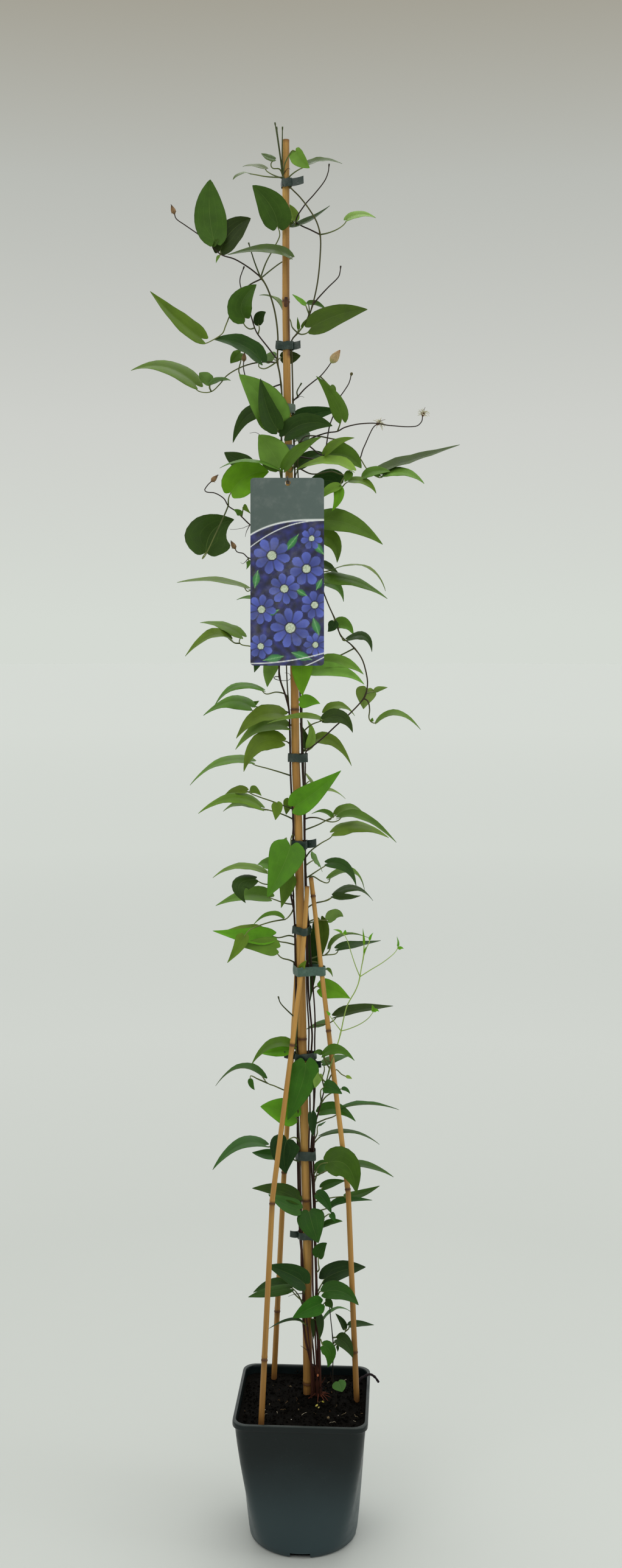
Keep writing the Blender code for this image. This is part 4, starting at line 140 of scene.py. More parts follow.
# What leaves each stem. A row starts at a height on the stem or at a point of a stalk, and goes on with
# the stalk's points. It ends with a word: cut, curl or the kind of head. Or it ends with a blade's base,
# middle and tip, its width, its turn in degrees and its tone, mid where none is given.
leafRows = {
    "vine_left": [
        (171.9, [(-6.8, 174), (-7.6, 176.6, 0.6)], "cut"),
        (171.9, [(-7.5, 173.1), (-9.5, 174.3), (-11.4, 174.95, -0.4), (-12.6, 176.1, -0.5),
         (-13.2, 176.8, -0.6), (-14.9, 178), (-16.5, 179.1), (-17.6, 179.9), (-17.85, 180.6, -1.6)], "pod"),
        ((-12.6, 176.1, -0.5), [], (-12.4, 176.9, -0.9), (-13, 180.8), (-12.9, 185.3, 0.6), 4.5, 12),
        ((-11.4, 174.95, -0.4), [], (-11.5, 175.5, 0), (-9.9, 178.2), (-7.3, 179.95, 1.6), 3.6, 18, "dark"),
        ((-11.4, 174.95, -0.4), [], (-11.7, 174.8, -0.6), (-11.9, 174.4), (-12.1, 173.75, -0.8), 0.5, 30,
         "light"),
        (171.8, [(-5.2, 173.8), (-4.3, 175.5, 2.6), (-3.4, 177.2, 2.2), (-3.3, 178, 1)], (-3.6, 178.9, 0.5),
         (-4.5, 181.6), (-7.05, 184.5, -0.8), 4.3, 12),
        (171.7, [(-4.2, 173.05, 2.4), (-2.9, 173.95, 3), (-1.75, 174.4, 2.6), (-1.5, 174.8, 1.5)],
         (-2.1, 174.85, 0.1), (-5.5, 175.7), (-10.5, 174.9, -0.4), 2.7, 60),
        (171.6, [(-7.5, 170.7), (-8.9, 169.2, 1.6), (-9.9, 167.2), (-10.8, 165), (-11.2, 164.05),
         (-12.4, 163.2), (-13.8, 162.6), (-14.4, 162.85)], (-14.2, 163.4, -1.2), (-17.6, 166.1),
         (-21.2, 169.85, -3.4), 3.3, 42),
        (160.2, [(-4.6, 159.5), (-5.5, 159.15), (-6.2, 159.5)], (-5.9, 160.3, 0.3), (-8.7, 162.5),
         (-12.4, 163.2, -0.2), 3.5, 48, "dark"),
        (160.4, [(-4.9, 162.1), (-6.3, 163.9, 2), (-6.75, 164.8, 2.1), (-7.3, 166.6), (-8.5, 169.9),
         (-8.8, 171.4), (-8.2, 173.3, 3.2)], "cut"),
        ((-6.75, 164.8, 2.1), [(-7.4, 164.65), (-8, 165), (-8.3, 165.6)], (-8.1, 166.2, 0.9), (-8.5, 168.3),
         (-6.5, 170.8, 0.2), 3.5, 8),
        ((-6.3, 163.9, 2), [(-6.1, 164.7)], (-6.2, 165.3, 2.6), (-6.1, 166.3), (-5.2, 167, 2), 1.6, 20,
         "dark"),
        (160, [(-5.4, 160.1), (-7.2, 159.85), (-9, 159.2), (-10.6, 158.2), (-11.6, 157), (-12.75, 156, 0.6),
         (-14.2, 155.95), (-14.9, 156.4)], (-15, 157, 0.4), (-19.2, 159.4), (-23.85, 158.9, 1.6), 3.7, 55),
        ((-12.75, 156, 0.6), [(-12.95, 156.5)], (-12.9, 157, 0.2), (-11.6, 157.65), (-10.05, 157.5, -0.2),
         1.9, 110, "grey"),
        ((-12.75, 156, 0.6), [(-13, 156.5)], (-13, 157.05, 0.2), (-13.7, 157.9), (-14.4, 158.6, -0.6), 1.9,
         150, "grey"),
        (157, [(-5.5, 156.4, 3), (-7.6, 157.1, 3.2), (-8.1, 158.3), (-8.3, 159.4), (-8.25, 160.2, 3)],
         "pod"),
        ((-7.6, 157.1, 3.2), [(-8.9, 158.6, 4.2), (-8.6, 160.6, 4.2)], (-8.7, 161.3, 4), (-9.3, 160.8),
         (-10.1, 159.9, 3.4), 1.7, 20),
        (160.3, [(-3.3, 160.6, 2.8)], (-3, 160.7, 3.2), (-1.8, 160.8), (-0.4, 160.95, 3.6), 2, 15, "dark"),
        (160.3, [(-4, 160.4, 2.6)], (-4.2, 160.5, 3.2), (-4.8, 160.8), (-5.4, 160.9, 5.5), 2, 20),
        (150.4, [(-3.8, 150.8)], (-4.1, 151.3, 0.5), (-5.5, 154.6), (-8.9, 158.35, -0.8), 5.1, 18, "light"),
        (150.2, [(-3.6, 150.5)], (-3.75, 151, -0.5), (-5, 153.6), (-5.95, 157.8, -1.6), 3, 15, "dark"),
        (151.5, [(-4.5, 152.5, 2.6)], (-5.6, 153.4, 2.9), (-8.1, 152.3), (-9.75, 148.9, 3.6), 2.3, 20,
         "dark"),
        (94.8, [(-1.7, 94.3, 1)], (-1.8, 93.1, 0.5), (-2.9, 90.2), (-5, 86.1, -1.6), 5, 0, "green"),
        (29.4, [(-0.6, 30.9, 2), (-1.5, 32, 2.4)], (-2.1, 32.1, 2.6), (-4.4, 32.5), (-6.95, 31.45, 3.4),
         1.8, 20),
        (143.5, [(-3.2, 144.5)], (-3.35, 145.5, 0.1), (-4.4, 147.7), (-6.2, 150, 0.5), 4.4, 15, "light"),
        (144, [(-3.1, 144.8, 0.6)], (-3.5, 145.3, -0.6), (-7.5, 146.5), (-11.6, 145.4, -2.2), 2.6, 78),
        (145, [(-5, 145.3, 2.6)], (-7.3, 145.7, 2.4), (-9.1, 146.5), (-10.95, 147.6, 3.2), 2.5, 10, "dark"),
        (134.5, [(-5.2, 136), (-7.4, 137.6, 0.8), (-8.55, 138.7, 0.6), (-9.4, 139.5), (-10.4, 140.2, 0.4),
         (-11, 141.2), (-12.2, 141.95), (-13.6, 142.25), (-13.3, 143), (-12.7, 143.6, -0.6)], "pod"),
        ((-10.4, 140.2, 0.4), [(-10.35, 141.3)], (-10, 142.1, 0.4), (-7.8, 144.3), (-4.8, 144.9, 0.8), 4.6,
         5, "bright"),
        ((-10.4, 140.2, 0.4), [(-10.9, 139, -0.8), (-12.2, 136.2, -1.3), (-13.6, 133.3, -1.5),
         (-14, 132.9, -1.4)], (-13.5, 133.8, -0.9), (-12.5, 136.8), (-9.6, 138.3, 1.4), 6.5, 0, "dark"),
        ((-8.55, 138.7, 0.6), [], (-8.8, 139, 0.4), (-9.1, 139.4), (-9.7, 139.7, 0.2), 0.9, 10),
        ((-8.55, 138.7, 0.6), [(-8.4, 139.5)], (-8.3, 140.1, 0.4), (-8, 139.8), (-7.3, 139.1, 0.8), 0.9,
         30),
        (131.5, [(-5, 132.5), (-7.6, 133, 1), (-8.3, 133.6), (-9.2, 133.85), (-9.45, 134.3, 0.6)], "pod"),
        ((-7.6, 133, 1), [], (-7.6, 132.6, 1), (-7.6, 132.1), (-7.9, 131.4, 0.8), 0.7, 20),
        (139, [(-4.2, 139.5, 3.6)], (-4.8, 139.8, 4.6), (-5.6, 139.6), (-6.2, 138.6, 8.6), 3.4, 70),
        (127, [(-4.2, 127.2, 3.2)], (-4.8, 127.4, 4.2), (-5.4, 127.2), (-6, 125.8, 8.8), 3.2, 70),
        ((-12.6, 176.1, -0.5), [], (-12.6, 176.1, -0.7), (-12.2, 176.6), (-11.7, 177.1, -1), 0.8, 20),
        (149, [(-5, 149.2, 1.9), (-5.9, 149.9), (-6.6, 150.35), (-7.45, 150.25, 2.6)], "curl"),
        (137.6, [(-7.4, 137.5, 1.4), (-8.5, 137.1), (-9.8, 136.95), (-10.2, 137, 1)], "curl"),
        ((-7.4, 137.6, 0.8), [(-7.9, 136.6, 0.9), (-8.05, 135.9, 1)], "curl"),
        ((-7.6, 133, 1), [(-8, 132.5, 1), (-8.4, 132.2), (-8.7, 132.35, 0.8)], "curl"),
        (116.6, [(-4.1, 116.5, 1.2), (-3.8, 116.2), (-2.6, 116.05), (-1.8, 116.3, 0.6), (-2, 117),
         (-2.6, 117.1, 0.8)], "curl"),
    ],
    "vine_right": [
        (185.6, [(-5, 185.7), (-7, 186.05)], (-7.4, 186.1, 0.2), (-8.6, 186.2), (-9.75, 185.3, -0.6), 1.7,
         80),
        (185.4, [(-4.2, 185.95, 2.2), (-5.1, 186.5)], (-5.3, 186.85, 3), (-7, 187.25), (-8.4, 187.1, 4.2),
         1.6, 75),
        (185.8, [(-3.3, 186.75), (-4.3, 186.9), (-4.5, 187.5)], (-4, 188.1, 0.8), (-5, 188.4),
         (-5.85, 188.9, 0.4), 1.6, 60),
        (185.8, [(-2.6, 187.4), (-2.05, 188.6), (-1.5, 189.35)], (-1.1, 189.2, 0.6), (-0.5, 188.2),
         (0.85, 186.9, -0.4), 2.2, -15, "light"),
        (185, [(-1.8, 185.85), (-0.8, 186.6), (0.2, 187.1)], (0.5, 187.35, 1.8), (2.8, 188),
         (5.35, 187.5, 2.8), 1.9, 72),
        (185.9, [(-3.3, 189), (-3.95, 193.2, 1)], "cut"),
        (185.9, [(-3.2, 188.5, 1.5), (-3.72, 192.6, 1.6)], "cut"),
        (185.9, [(-2.95, 188.5, 1.15), (-2.9, 192.6, 1.2)], "cut"),
        (177.7, [(0.9, 178.4), (-0.4, 179), (-1.05, 179.6, 2.2), (0.1, 181.7), (1.5, 183.3), (2.9, 185.1),
         (3.4, 186.3), (3.55, 187.5, 0.4)], "cut"),
        ((-1.05, 179.6, 2.2), [(-1.1, 179.4, 3)], (-1.3, 179.6, 3.8), (-1.6, 180.6), (-2, 181.9, 4.4), 1.9,
         15, "light"),
        ((-1.05, 179.6, 2.2), [(-1.2, 179.1, 3)], (-1.4, 179.1, 3.6), (-2.1, 179), (-2.9, 178.9, 4.4), 1.1,
         30),
        ((-1.05, 179.6, 2.2), [], (-1.2, 178.9, 2), (1, 179.8), (3.65, 181.7, 1.2), 1.8, 66, "dark"),
        (177.7, [(3.3, 177.9), (4.6, 178.4), (5.6, 179.1)], (6.05, 179.8, 1.6), (7.9, 180.5),
         (10, 180, 2.4), 1.9, 62, "light"),
        (167.9, [(2.1, 169), (3.4, 170.4), (4.8, 171.8), (5.05, 172.5), (5.15, 173.4, 0.6)], "cut"),
        (166.6, [(0.5, 167.4)], (0.25, 168.1, 1), (-0.7, 168.8), (-1.55, 169.45, 0.2), 1, 50, "bright"),
        (166.4, [(0.8, 167.4, 1.8)], (0.7, 168.1, 1.6), (1.9, 167.95), (3.15, 167.3, 2.4), 1.3, 60),
        (164.1, [(-0.3, 163.9), (0.5, 164.1)], (1.15, 164.9, 0.8), (4.9, 166.6), (8.85, 167.35, -0.6), 3.6,
         25),
        (164.1, [], (-0.7, 164.6, 1.3), (-0.75, 165.4), (-0.85, 166.3, 1), 0.5, 20),
        (164.1, [], (-0.2, 164.8, 1.2), (0, 165.4), (0.4, 166, 0.8), 0.5, 40),
        (164.1, [(-1.55, 164.9, 2.2), (-1.8, 165.8, 3), (-2.3, 166.6, 3.4)], (-2.9, 167.3, 3.6),
         (-4.2, 168.9), (-6.1, 169.3, 5.4), 1.7, 80, "grey"),
        (154.7, [(-0.8, 155.3), (0.2, 156.4), (1.4, 157.4), (2.3, 158.1), (3.1, 159), (3.85, 160.05, 0.6)],
         "bud"),
        ((-0.8, 155.3, 1.7), [(-0.9, 156), (-0.25, 157.2, 1.2)], "cut"),
        ((2.3, 158.1, 1.02), [(3.3, 157.1)], (3.7, 156.6, 0.8), (4.1, 156.6), (4.5, 155.9, 0.7), 0.7, 40),
        (151, [(-1.2, 151.2, 3)], (-1, 151.6, 3.8), (1.2, 152.8), (5.2, 153.5, 4.4), 2.8, 12, "dark"),
        (149.4, [(-1.8, 149.6, 1.1)], (-2.5, 149.95, 0.5), (0.3, 151.6), (4, 151.25, 0), 3, 10, "dark"),
        (146, [(-1.7, 144.9, 1)], (-2.6, 145.5, -1), (-0.9, 147.7), (2.45, 149.7, -1.8), 3, 55),
        (144.3, [(-0.9, 144.9, 3)], (-0.7, 145.6, 3.6), (1, 146.9), (2.9, 147.4, 4.2), 2.1, 30, "dark"),
        (149.1, [(-1, 149.2, 2.6)], (-0.8, 149.3, 3), (0, 149.8), (0.85, 150.3, 5), 1.9, 20, "dark"),
        (140, [(-0.8, 140.3, 3.6)], (-1, 140.6, 4.4), (-1.8, 140.4), (-2.4, 139, 8.2), 3, 70),
        (133, [(-0.6, 133.4, 3)], (-1, 133.8, 4), (-1.6, 134), (-2.4, 133, 8.4), 3.2, 70),
        (185.9, [(-2.1, 186.9, 1.3), (-1.85, 186.7, 1.1)], "curl"),
        (154.9, [(-1, 155, 1.8), (-0.4, 155.35), (0.1, 155.2, 1.4)], "curl"),
    ],
    "vine_loop": [
        (149, [(0.2, 149.1), (1.7, 149.8), (3.3, 150.3), (4.7, 150.5, 0.8), (5.6, 151), (7, 151.4, 0.4),
         (8.5, 151.6), (10.2, 151.6, 1.4), (12, 151.3), (15.5, 151.2), (16.3, 151.8), (16.5, 152.7, 0.8)],
         "star"),
        ((4.7, 150.5, 0.8), [(4.95, 151.2)], (5.3, 152.3, 0.6), (4.2, 155.1), (1.75, 158.15, 0), 2.4, 15),
        (148.5, [(0.5, 148.6), (2.9, 147.2, 0.2), (3.2, 148.8), (3.6, 151.2), (4.2, 152.9), (4.9, 155),
         (5.7, 156.2, 1.4), (6.3, 157.2), (6.6, 158.3, 1.2)], "knob"),
        ((2.9, 147.2, 0.2), [], (3, 147.5, 0), (4.6, 148.95), (7.05, 149.6, -0.6), 1.7, 40),
        ((2.9, 147.2, 0.2), [(3.1, 147.2, 0.8)], (3.3, 147.3, 1.2), (5.9, 147.1), (8, 145.4, 1.4), 3, 30),
        (148.8, [(0.3, 149.8, 2), (2.2, 149.8, 2.4), (3.8, 149.5), (5.1, 149.2), (6.6, 148.1), (7.8, 146.8),
         (8.9, 145.1), (9.8, 144.4), (10.8, 144.15, 1.6)], (11.1, 145.2, 1.8), (15.8, 146.7),
         (21.6, 148.65, 3.4), 3, 65, "dark"),
        ((10.8, 144.15, 1.6), [], (11.2, 144.6, 1.1), (14, 144.9), (16.7, 143.25, 0), 2.4, 55, "light"),
        (147, [(2, 146.6, 1.9), (7.3, 146.3, 1.9), (8.3, 148.2), (9.2, 150.2), (9.7, 151.1),
         (10.2, 151.5, 2.2)], "star"),
        (145.5, [(1.2, 144.6, 1.8), (3.9, 144.95), (5, 144.6), (6.5, 144.3), (7.8, 143.85, 1)],
         (8.4, 144.3, 0.8), (9.9, 145), (12, 144.95, 0.2), 1.9, 45),
        (143, [(1.4, 141.6, 1.8), (2.9, 141.8), (4.9, 143, 0.8), (5.5, 144), (6.4, 145)],
         (6.5, 145.3, -0.4), (3, 146.3), (-1.2, 145.1, -0.6), 2.8, 60, "light"),
        ((4.9, 143, 0.8), [(5.3, 142.8), (5.8, 143.3)], (6.4, 143.65, 0.6), (8.6, 143.4), (10.05, 141.9, 0),
         1.7, 50),
        ((4.9, 143, 0.8), [], (4.8, 142.7, 0.5), (4.8, 141.2), (3.95, 139.5, -0.2), 1.5, 10, "bright"),
        ((4.9, 143, 0.8), [(5.2, 143.1, 2)], (4.8, 143.2, 2.8), (3.2, 143.7), (0.6, 143.4, 4), 3.6, 20,
         "dark"),
        ((6.4, 145, -0.23), [], (6.4, 144.9, -0.5), (6.1, 144.3), (5.7, 143.5, -0.9), 1.2, 10),
        (137, [(1.2, 137.6, 1.6)], (2.2, 138.1, 1.2), (6.5, 137.6), (10.95, 134.85, -0.6), 3.8, 30),
        (134, [(1.6, 135, 2.6)], (2.3, 135.9, 2.8), (4.2, 135), (4.65, 132.35, 2.4), 2.7, 20),
        (130.5, [(2.6, 131, 1.6)], (3.9, 131.3, 0.9), (8.6, 131.8), (11.35, 128.4, -0.8), 2.2, 80),
        (129.4, [(2.6, 129.9)], (3, 130.2, 0.6), (7.2, 129.7), (11.6, 127.35, 1), 2.9, 55),
        (128.4, [(2.8, 129, 2.6)], (3, 129.5, 3), (4.7, 128.9), (5.55, 126.95, 3.6), 2, 45),
        (131.5, [(2.2, 132, 3.2)], (2.6, 132.1, 3.6), (3.8, 131.5), (5, 130.6, 4.4), 1.4, 40, "dark"),
        (124.6, [], (4.2, 124.2, 1.4), (3.9, 123.4), (3.35, 122.8, 0.9), 1.5, 10, "dark"),
        (123.4, [(4.9, 123.3, 2.2)], (4.6, 123.8, 2.6), (5.9, 123.7), (6.95, 122.3, 3.2), 1.8, 25),
        (122.1, [(5.5, 121.6, 1.2), (5.9, 121.6)], (6.2, 121.8, 0.8), (8.5, 122.1), (9.45, 120, 0), 1.8, 40,
         "dark"),
        (120.5, [(5.2, 119.6, 1.6), (2.6, 118.6, 1.8)], (1.6, 118.1, 1.4), (5.2, 118.6), (8.3, 116.9, 0.6),
         2.5, 35, "light"),
        ((2.6, 118.6, 1.8), [(1.4, 117.8, 1)], (0.9, 117.4, 0.2), (5.2, 117.3), (8.4, 115.5, 0), 2.4, 30,
         "light"),
        (114, [(8.8, 114.6, 2)], (8.8, 114.9, 2.4), (8.5, 113.6), (8.3, 112.1, 2.2), 3, 165, "light"),
        (114.2, [(9.4, 114.5, 2.2)], (9.9, 114.6, 2.8), (10.7, 114.9), (11.65, 115.1, 3.4), 0.9, 150),
        (113.6, [(8.9, 113.2), (9.15, 112), (9.05, 110.9), (9.4, 110.3), (10, 110.15)], (10.4, 110.4, 0.9),
         (13.3, 111.3), (16.2, 109.25, 0.2), 2.2, 65),
        (138, [(0.6, 138.4, 3.4)], (1.4, 138.9, 4.4), (2, 138.6), (2.4, 137, 8.2), 3.2, 70),
        (129.8, [(1.6, 129.6, 3.4)], (1.4, 129.4, 4.2), (1.2, 129), (1, 127.4, 8), 3, 70),
        (98.2, [(-0.3, 98.3, 0.9), (-0.9, 98.4, 0.8)], (-1.1, 98.7, 0.5), (1.6, 100.6), (5.2, 103.6, -1),
         3.6, 12, "bright"),
        ((4.9, 143, 0.8), [], (4.8, 142.9, 0.2), (3.2, 142.2), (1.5, 140.5, -0.4), 1.4, 15, "light"),
        ((10.8, 144.15, 1.6), [], (10.6, 144.4, 1), (10.2, 144.5), (9.7, 144.4, 0.8), 0.6, 30),
        ((2.6, 118.6, 1.8), [(1.2, 119.4, 0.6)], (-0.1, 119.4, -1.2), (-0.3, 116.6), (-0.15, 113.95, -1.4),
         3, 0, "bright"),
        ((9.4, 110.3, 1.05), [], (9.45, 110.4, 1), (9.5, 110.7), (9.6, 110.9, 1), 0.5, 20),
    ],
    "vine_mid_left": [
        (129.8, [(-4.6, 129.6, 3.4), (-7.4, 128.5), (-7.8, 128.4)], (-8.2, 129, 2.6), (-12.5, 129.95),
         (-17.5, 129.6, 1), 3, 74),
        (126, [(-4.6, 126.8, 3.6)], (-6.2, 127.3, 4), (-7.8, 127.5), (-9.25, 127.2, 5), 1.3, 65),
        (119.8, [(-5, 120.3), (-7.4, 120.8), (-8.8, 121.2, 1.2)], (-8.6, 122.3, 1.4), (-11.2, 123.7),
         (-14.3, 124.05, 3), 2.7, 60),
        ((-8.8, 121.2, 1.2), [(-9.5, 121.25)], (-10.4, 121.9, 0.4), (-13.2, 122), (-16.35, 119.4, -1), 3,
         60),
        (118.6, [(-3.6, 119.5, 3.2)], (-4.2, 119, 3.2), (-4.7, 117.2), (-5, 115.15, 2.8), 2.3, 160,
         "light"),
        (119.4, [(-4.8, 119.6, 2.6)], (-6.1, 119.2, 2), (-6.4, 118.3), (-6.8, 117.15, 1.6), 1.4, 10,
         "dark"),
        (113.6, [(-2.6, 114.2), (-3.8, 114.45), (-5.2, 114.2)], (-5.9, 114.9, 0.6), (-9.4, 115.25),
         (-12.35, 112.45, -0.8), 2.7, 64),
        (111.6, [(-3.5, 112.1), (-5.3, 112.15), (-6.9, 111.8)], (-7.4, 112.5, 2.2), (-10.3, 113.1),
         (-13.85, 111.2, 3.6), 3, 50),
        ((-5.3, 112.15, 2.3), [(-6.4, 112.4, 2.6)], (-7.2, 112.6, 3), (-6.7, 112.9), (-6.1, 113.25, 3.2),
         0.9, 20),
        (110.9, [(-2.4, 111.1, 1.4)], (-2.9, 111.3, 0.9), (-6.3, 111), (-9.3, 108.05, -0.6), 3.4, 42),
        (109.2, [(-2.2, 109.5)], (-2.5, 109.7, 1.6), (-6.2, 109.5), (-9.4, 106.5, 1.2), 3.2, 48, "light"),
        (107.3, [(-2.4, 107.65)], (-3.1, 107.7, 0.7), (-6.4, 107.2), (-8.25, 103.45, -0.4), 3.2, 22),
        (102.9, [(-3.3, 103.4), (-5, 103.9), (-6.8, 104.4)], (-7.5, 104.9, 2.2), (-11.8, 104.6),
         (-15.7, 101.55, 2.8), 2.8, 65),
        (98.3, [(-4.2, 99.3, 1.4), (-6.5, 100.1), (-7.5, 100.6, 0.9)], (-7.3, 100.9, 0.6), (-6.7, 100.9),
         (-5.8, 100.1, 0.2), 1.3, 20),
        ((-7.5, 100.6, 0.9), [], (-8, 100.8, 0.9), (-9.7, 100.7), (-11.3, 99.7, 1.6), 1.4, 40),
        ((-4.2, 99.3, 1.4), [], (-3.7, 99.1, 1.2), (-3.7, 98), (-3.9, 96.75, 0.7), 1.6, 10),
        (96.9, [(-2.3, 97.3), (-3.6, 97.8), (-4.9, 98.15, 1.2), (-5.6, 98.2)], (-6.1, 98.7, 0.6),
         (-10, 99.8), (-14.55, 97.65, -0.8), 2.7, 50),
        ((-4.9, 98.15, 1.2), [(-6, 98.4, 2.4)], (-6.5, 98.7, 2.8), (-8.9, 99.1), (-11.1, 97.95, 4.4), 2.1,
         55),
        (99.2, [(-1.9, 99.7, 3)], (-2, 99.6, 3.2), (-2.2, 98.6), (-2.4, 97.5, 3.2), 1.4, 10),
        (90, [(-2, 89.4, 2)], (-2, 88.9, 1.6), (-2.4, 87), (-3.1, 84.6, 0.8), 2.4, 10),
        (90.6, [(-3.4, 90.2, 3)], (-4.4, 90.4, 3), (-5.3, 90.8), (-6.35, 90.6, 4.6), 1.9, 30),
        (89.4, [(-3.4, 89, 1.6)], (-5.6, 89.7, 1), (-9.2, 90.3), (-12.55, 88.75, 0.2), 2.5, 66),
        (87.6, [(-3.4, 87.8, 2.6), (-5.3, 87.9, 2), (-6.2, 88.25)], (-6.7, 88.6, 0.2), (-8.9, 87.7),
         (-8, 85.3, -1.4), 3, 20, "dark"),
        (85.1, [(-2.5, 85.25), (-3.8, 85.7)], (-4.9, 86.1, 2.2), (-8.2, 86.3), (-12.15, 84.9, 3.6), 2.6, 40,
         "light"),
        (84.6, [(-1.8, 83.7, 1.6), (-2.5, 83.05, 1)], (-3, 83.3, 0.6), (-5, 83.6), (-7, 82.2, 0.4), 1.2,
         55),
        ((-2.5, 83.05, 1), [(-4.8, 82.6, -0.2), (-7.4, 81.6, -0.7)], (-8.2, 80.7, -0.9), (-8.9, 79.2),
         (-10.55, 77, -1.6), 1.9, 15),
        (79.5, [(-2.3, 79.8), (-3.4, 80)], (-4.5, 80.7, 1), (-8.2, 80.8), (-12.55, 81.45, -0.2), 2.7, 25,
         "bright"),
        (80.6, [(-2, 80.8, 2.6), (-3.6, 80.5, 2.6), (-5, 81.1, 2.8)], (-5.6, 81.4, 2.6), (-8, 81.8),
         (-10.7, 81.5, 3.4), 1.5, 50),
        (77, [(-1.9, 77.4), (-3, 77.7), (-3.6, 78.3)], (-3.8, 79, 0.4), (-6, 79.4), (-8.9, 79.3, -0.4), 2.6,
         12),
        (69.2, [(-2.3, 70.5), (-3.2, 71.5), (-3.5, 72.4, 3.4)], "cut"),
        (121.5, [(-3.4, 121.8, 3.4)], (-4, 122, 4.4), (-4.6, 121.8), (-5.2, 120.4, 8.6), 3.2, 70),
        (92.6, [(-2, 92.8, 3.4)], (-2.4, 92.9, 4.2), (-2.8, 92.6), (-3.2, 91.2, 8), 3, 70),
        (86.2, [(-1.9, 86.6, 3.4)], (-2.3, 86.9, 4.4), (-2.6, 86.7), (-3.1, 85.6, 7.6), 2.4, 70),
    ],
    "vine_mid_right": [
        (108.8, [(0.4, 109.4, 2.2), (1.2, 110, 1.2), (2.4, 110.45, 0.3)], (2.9, 110.7, -0.4), (5.3, 110.85),
         (6.8, 108.85, -1.4), 2.4, 25, "dark"),
        ((2.4, 110.45, 0.3), [], (2.2, 110.75, -0.3), (-1.2, 111), (-5, 110.1, -2), 1.8, 62),
        ((2.4, 110.45, 0.3), [(3.2, 111.1, 0.9)], (3.1, 111.7, 1.3), (5.2, 112.55), (7.1, 111.15, 2.4), 2,
         55),
        (112.6, [(-0.3, 113.2, 1.6)], (-0.4, 113.1, 1.1), (1, 113.2), (2.3, 112.85, -0.2), 2, 12, "bright"),
        (106.4, [(0.4, 106.6, 2)], (0.7, 106.9, 1.9), (1.15, 108.8), (0.5, 110.6, 3.4), 1.4, 30, "light"),
        (106.2, [(0.3, 106.5, 3)], (0.3, 106.9, 3.3), (0, 108.4), (-0.5, 110.2, 4), 1.5, 30, "dark"),
        (106.3, [(0.8, 106.5, 2.9), (1.4, 107.2, 3.2)], (1.8, 107.9, 3.2), (4.4, 107.4),
         (6.65, 104.25, 3.6), 2.1, 35),
        (99.6, [(0.6, 99.9, 3)], (1, 100.2, 3.4), (3.4, 101), (5.8, 99.7, 4.6), 1.8, 68),
        (96.9, [(0.9, 97.1), (2, 97.05), (3, 96.7, 1.8), (4, 96.5), (4.8, 96.7)], (5.3, 97.2, 1.2),
         (8.8, 96.8), (12.85, 93.65, 0.2), 2.1, 55),
        (95.4, [(1, 95.7), (2.2, 96.2), (3.2, 96.75, 2.6), (4.1, 97.2, 2.8)], (4.6, 97.6, 2.9), (6.8, 98.4),
         (8.5, 97.3, 4), 1.8, 60),
        ((3.2, 96.75, 2.6), [(3.8, 96.9, 3)], (3.85, 97.2, 3.2), (2.6, 97.9), (1.1, 97.6, 4.2), 1.2, 60),
        (91.6, [(1, 92.5), (2.5, 93.6), (3.7, 94.3)], (4.4, 95.2, 1.6), (7.8, 95.9), (11.8, 94.3, 1.6), 2.7,
         48, "light"),
        (88.8, [(0.7, 88.95, 1.8), (2, 89.8), (3.1, 90.5)], (3.4, 90.8, 0.4), (5.9, 90.2),
         (7.3, 87.6, -0.4), 2.1, 35, "dark"),
        ((0.7, 88.95, 1.8), [(1.4, 88.95, 2.6), (2.5, 88.3, 2.8), (3.4, 88.1)], (3.7, 88.8, 2.6),
         (6.8, 89.6), (8.45, 87, 3.4), 2, 65),
        (84.6, [(0.9, 84.9, 2.7), (1.9, 85.35, 2.7), (3.4, 85.7)], (4.5, 86.6, 2.4), (7.2, 87.4),
         (9.6, 85.6, 3.4), 2, 62, "dark"),
        ((1.9, 85.35, 2.7), [(3, 85.6, 1.6)], (4.2, 86.2, 0.8), (6.1, 86), (7.9, 86.3, -0.2), 1.4, 45,
         "dark"),
        (82.7, [(1.5, 83, 3.1), (2.8, 82.9, 3.3)], (3.4, 83, 3.4), (4.6, 83.7), (5.5, 83.4, 4.6), 2, 150,
         "light"),
        (82.5, [(1.8, 82.8, 3.6)], (2.4, 82.9, 4), (2.6, 80.2), (1.9, 76.6, 4.2), 2.4, 20),
        (80.6, [(1, 81.2, 3.4)], (1.2, 81.6, 4.4), (1.4, 77.5), (0.9, 71.6, 5), 1.9, 15, "dark"),
        (77.6, [(1.9, 77.9, 2.7), (3, 78.1, 2.4), (4.5, 78.3, 2.2)], (4.9, 79, 2.2), (7.4, 79.5),
         (10.7, 80.1, 2.6), 2.1, 58, "dark"),
        ((3, 78.1, 2.4), [(3.5, 78.6, 3)], (3.8, 79.3, 3.4), (6, 80.9), (9.2, 80.4, 5), 1.5, 76),
        (77.2, [(1.9, 77.1, 2.7), (2.8, 76.6, 2.5)], (3.1, 76.1, 2.2), (3.6, 75.9), (4.05, 75.1, 1.8), 0.8,
         50),
        (73.4, [(1.9, 73.8, 2.8)], (2.3, 73.5, 3), (4.3, 73.1), (6.45, 72.1, 3.2), 2.8, 15, "bright"),
        (68.3, [(2.4, 68.5, 2.4), (3.4, 68.65, 2.6), (4.2, 69.1)], (4.7, 69.7, 1.8), (8.2, 70.5),
         (12.4, 71.05, 1), 2.4, 55, "dark"),
